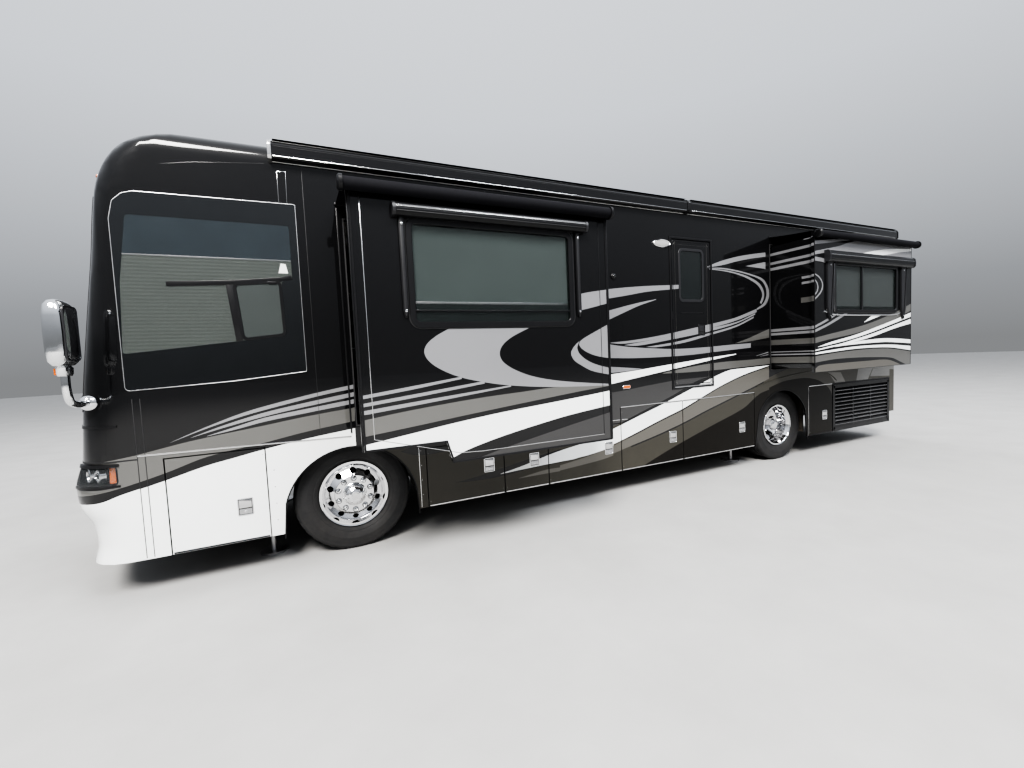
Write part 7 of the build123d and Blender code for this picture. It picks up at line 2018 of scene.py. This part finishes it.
# ------------------------------------------------------------------ underside
un = Shape()
for sy in (1, -1):
    for x in (FX, RX + 0.30, RX - 0.30):
        r0 = 0.112 if x == FX else 0.127
        z0, z1 = (0.50, 0.74) if x == FX else (0.56, 0.74)
        prof = []
        for k in range(4):
            a, b = z0 + (z1 - z0) * k / 4, z0 + (z1 - z0) * (k + 1) / 4
            prof += [(r0 + 0.002, a), (r0 + 0.018, (a * 2 + b) / 3), (r0 + 0.018, (a + 2 * b) / 3), (r0 + 0.002, b - 0.002)]
        prof = [(r0 - 0.01, z0)] + prof + [(r0 - 0.01, z1)]
        un.add(lathe([(r, z) for r, z in prof], (x, sy * 0.430, 0), (0, 0, 1), 40, closed=True), "rubber", True)
    # air tanks and brake lines along the rails
    for x in (-1.30, -2.05):
        un.add(lathe([(0.0, 0.0), (0.07, 0.006), (0.105, 0.03), (0.11, 0.06), (0.11, 0.54), (0.105, 0.57), (0.07, 0.594), (0.0, 0.60)], (x - 0.3, sy * 0.22, 0.86), (1, 0, 0), 36), "chassis_black", True)
    pts = [(1.2 - 0.5 * k, sy * (0.382 - 0.006 * (k % 2)), 0.80 + 0.01 * (k % 3)) for k in range(19)]
    un.add(tube(pts, 0.010, 8), "rubber", True)
un.add(tube([(-5.72, 0, 0.56), (-6.90, 0, 0.72)] [::-1], 0.055, 20), "steel", True)
un.add(lathe([(0, 0), (0.10, 0), (0.11, 0.02), (0.11, 0.05), (0, 0.06)], (-6.10, 0, 0.545), (-1, 0, 0.12), 36), "cast_iron", True)
for sy in (1, -1):
    for k in range(22):
        un.add(lathe([(0, 0), (0.012, 0), (0.012, 0.006), (0, 0.0075)], (1.3 - 0.44 * k, sy * 0.4705, 0.82 + 0.14 * (k % 2)), (0, sy, 0), 6), "steel", True)
un.make("underside_fittings", "root", slot="chassis_black")

# ------------------------------------------------------------------ finishes of the model's own pieces
WEAR = {
    "left_side_wall": "paint_black", "right_side_wall": "paint_black", "rear_cap": "paint_black", "roof": "paint_roof",
    "front_slide_box": "paint_black", "rear_slide_box": "paint_black", "egress_door": "paint_black", "entry_door": "paint_black",
    "engine_door": "paint_taupe", "basement_pan": "chassis_black", "wheel_housings": "chassis_black",
    "chassis_frame": "chassis_black", "front_axle": "chassis_black", "rear_axle": "chassis_black", "left_knuckle": "cast_iron",
    "right_knuckle": "cast_iron", "engine_block": "cast_iron", "house_floor": "black_plastic", "dashboard": "black_plastic",
    "levelling_jacks": "steel", "roof_edge_awnings": "paint_black", "front_slide_awnings": "satin_black",
    "rear_slide_awnings": "satin_black", "roof_air_conditioners": "black_plastic", "mirrors": "chrome", "entry_step": "alu_satin",
    "steering_wheel": "black_plastic",
}
for q in ("front_left", "front_right"):
    WEAR[q + "_tyre"], WEAR[q + "_rim"] = "rubber", "alu_polished"
for q in ("rear_left", "rear_right"):
    WEAR[q + "_tyres"], WEAR[q + "_rims"] = "rubber", "alu_polished"
for name, *_ in LEFT_DOORS + RIGHT_DOORS:
    WEAR[name] = "paint_black"
WEAR["radiator_door"] = "satin_black"
WEAR.update({"side_windows": "glass_light", "front_slide_window": "glass_light", "rear_slide_window": "glass_light",
             "egress_door_glass": "glass_tint", "entry_door_glass": "glass_tint", "windshield": "glass_light"})
for name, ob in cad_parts.items():
    m = MATS[WEAR.get(name, "black_plastic")]
    for slot_ in ob.material_slots:
        slot_.material = m
    if not ob.material_slots:
        ob.data.materials.append(m)

# ------------------------------------------------------------------ camera, light, floor
cam_data = bpy.data.cameras.new("camera")
cam = bpy.data.objects.new("camera", cam_data)
SC.collection.objects.link(cam)
cam.matrix_world = Matrix(((-0.90614504, -0.06738366, 0.41756509, 3.6991), (0.42045151, -0.03599032, 0.90660092, 5.1394),
                           (-0.04606178, 0.9970778, 0.06094401, 1.6799), (0, 0, 0, 1)))
cam_data.sensor_width = 36
cam_data.lens = 15.47
cam_data.clip_end = 400
SC.camera = cam

world = bpy.data.worlds.new("studio")
SC.world = world
world.use_nodes = True
wt = world.node_tree
wt.nodes.clear()
wo = wt.nodes.new("ShaderNodeOutputWorld")
bg = wt.nodes.new("ShaderNodeBackground")
tc = wt.nodes.new("ShaderNodeTexCoord")
sep = wt.nodes.new("ShaderNodeSeparateXYZ")
rmp = wt.nodes.new("ShaderNodeValToRGB")
wt.links.new(tc.outputs["Generated"], sep.inputs[0])
wt.links.new(sep.outputs[2], rmp.inputs[0])
e = rmp.color_ramp.elements
e[0].position, e[0].color = 0.0, (0.20, 0.205, 0.21, 1)
e[1].position, e[1].color = 1.0, (0.92, 0.95, 1.0, 1)
m1 = e.new(0.10); m1.color = (0.26, 0.27, 0.285, 1)
m2 = e.new(0.45); m2.color = (0.62, 0.65, 0.70, 1)
wt.links.new(rmp.outputs[0], bg.inputs[0])
bg.inputs[1].default_value = 0.85
wt.links.new(bg.outputs[0], wo.inputs[0])


def lamp(name, at, to, size, power, colour=(1, 1, 1)):
    d = bpy.data.lights.new(name, "AREA")
    d.shape, d.size, d.size_y = "RECTANGLE", size[0], size[1]
    d.energy, d.color = power, colour
    o = bpy.data.objects.new(name, d)
    SC.collection.objects.link(o)
    o.location = at
    o.rotation_euler = (Vector(to) - Vector(at)).to_track_quat("-Z", "Y").to_euler()
    return o


lamp("key", (10.0, 15.0, 19.0), (-0.5, 0.5, 1.2), (8, 8), 8800, (1.0, 0.975, 0.94))
lamp("fill", (-6.0, 14.0, 19.0), (-2.0, 0.5, 1.5), (12, 6), 3200, (0.93, 0.96, 1.0))
lamp("back", (-4.0, -14.0, 11.0), (0.0, 0.0, 2.0), (14, 6), 1500, (0.95, 0.97, 1.0))

fm = Nodes("studio_floor")
fn = fm.noise(1.5, 5.0, 0.6)
fm.set(Base_Color=fm.mix(fm.range(fn, 0.3, 0.7), (0.33, 0.326, 0.318), (0.37, 0.366, 0.358)), Roughness=0.85)
fm.set(Normal=fm.bump(fm.noise(90, 3.0), 0.06, 0.002))
me = bpy.data.meshes.new("studio_floor")
n = 48
R0 = 60.0
me.from_pydata([(R0 * math.cos(2 * math.pi * i / n), R0 * math.sin(2 * math.pi * i / n), -0.001) for i in range(n)], [], [list(range(n))])
me.materials.append(fm.mat)
fl = bpy.data.objects.new("studio_floor", me)
SC.collection.objects.link(fl)
SC.view_settings.view_transform = "AgX"
SC.view_settings.look = "AgX - High Contrast"
SC.view_settings.exposure = 0.42
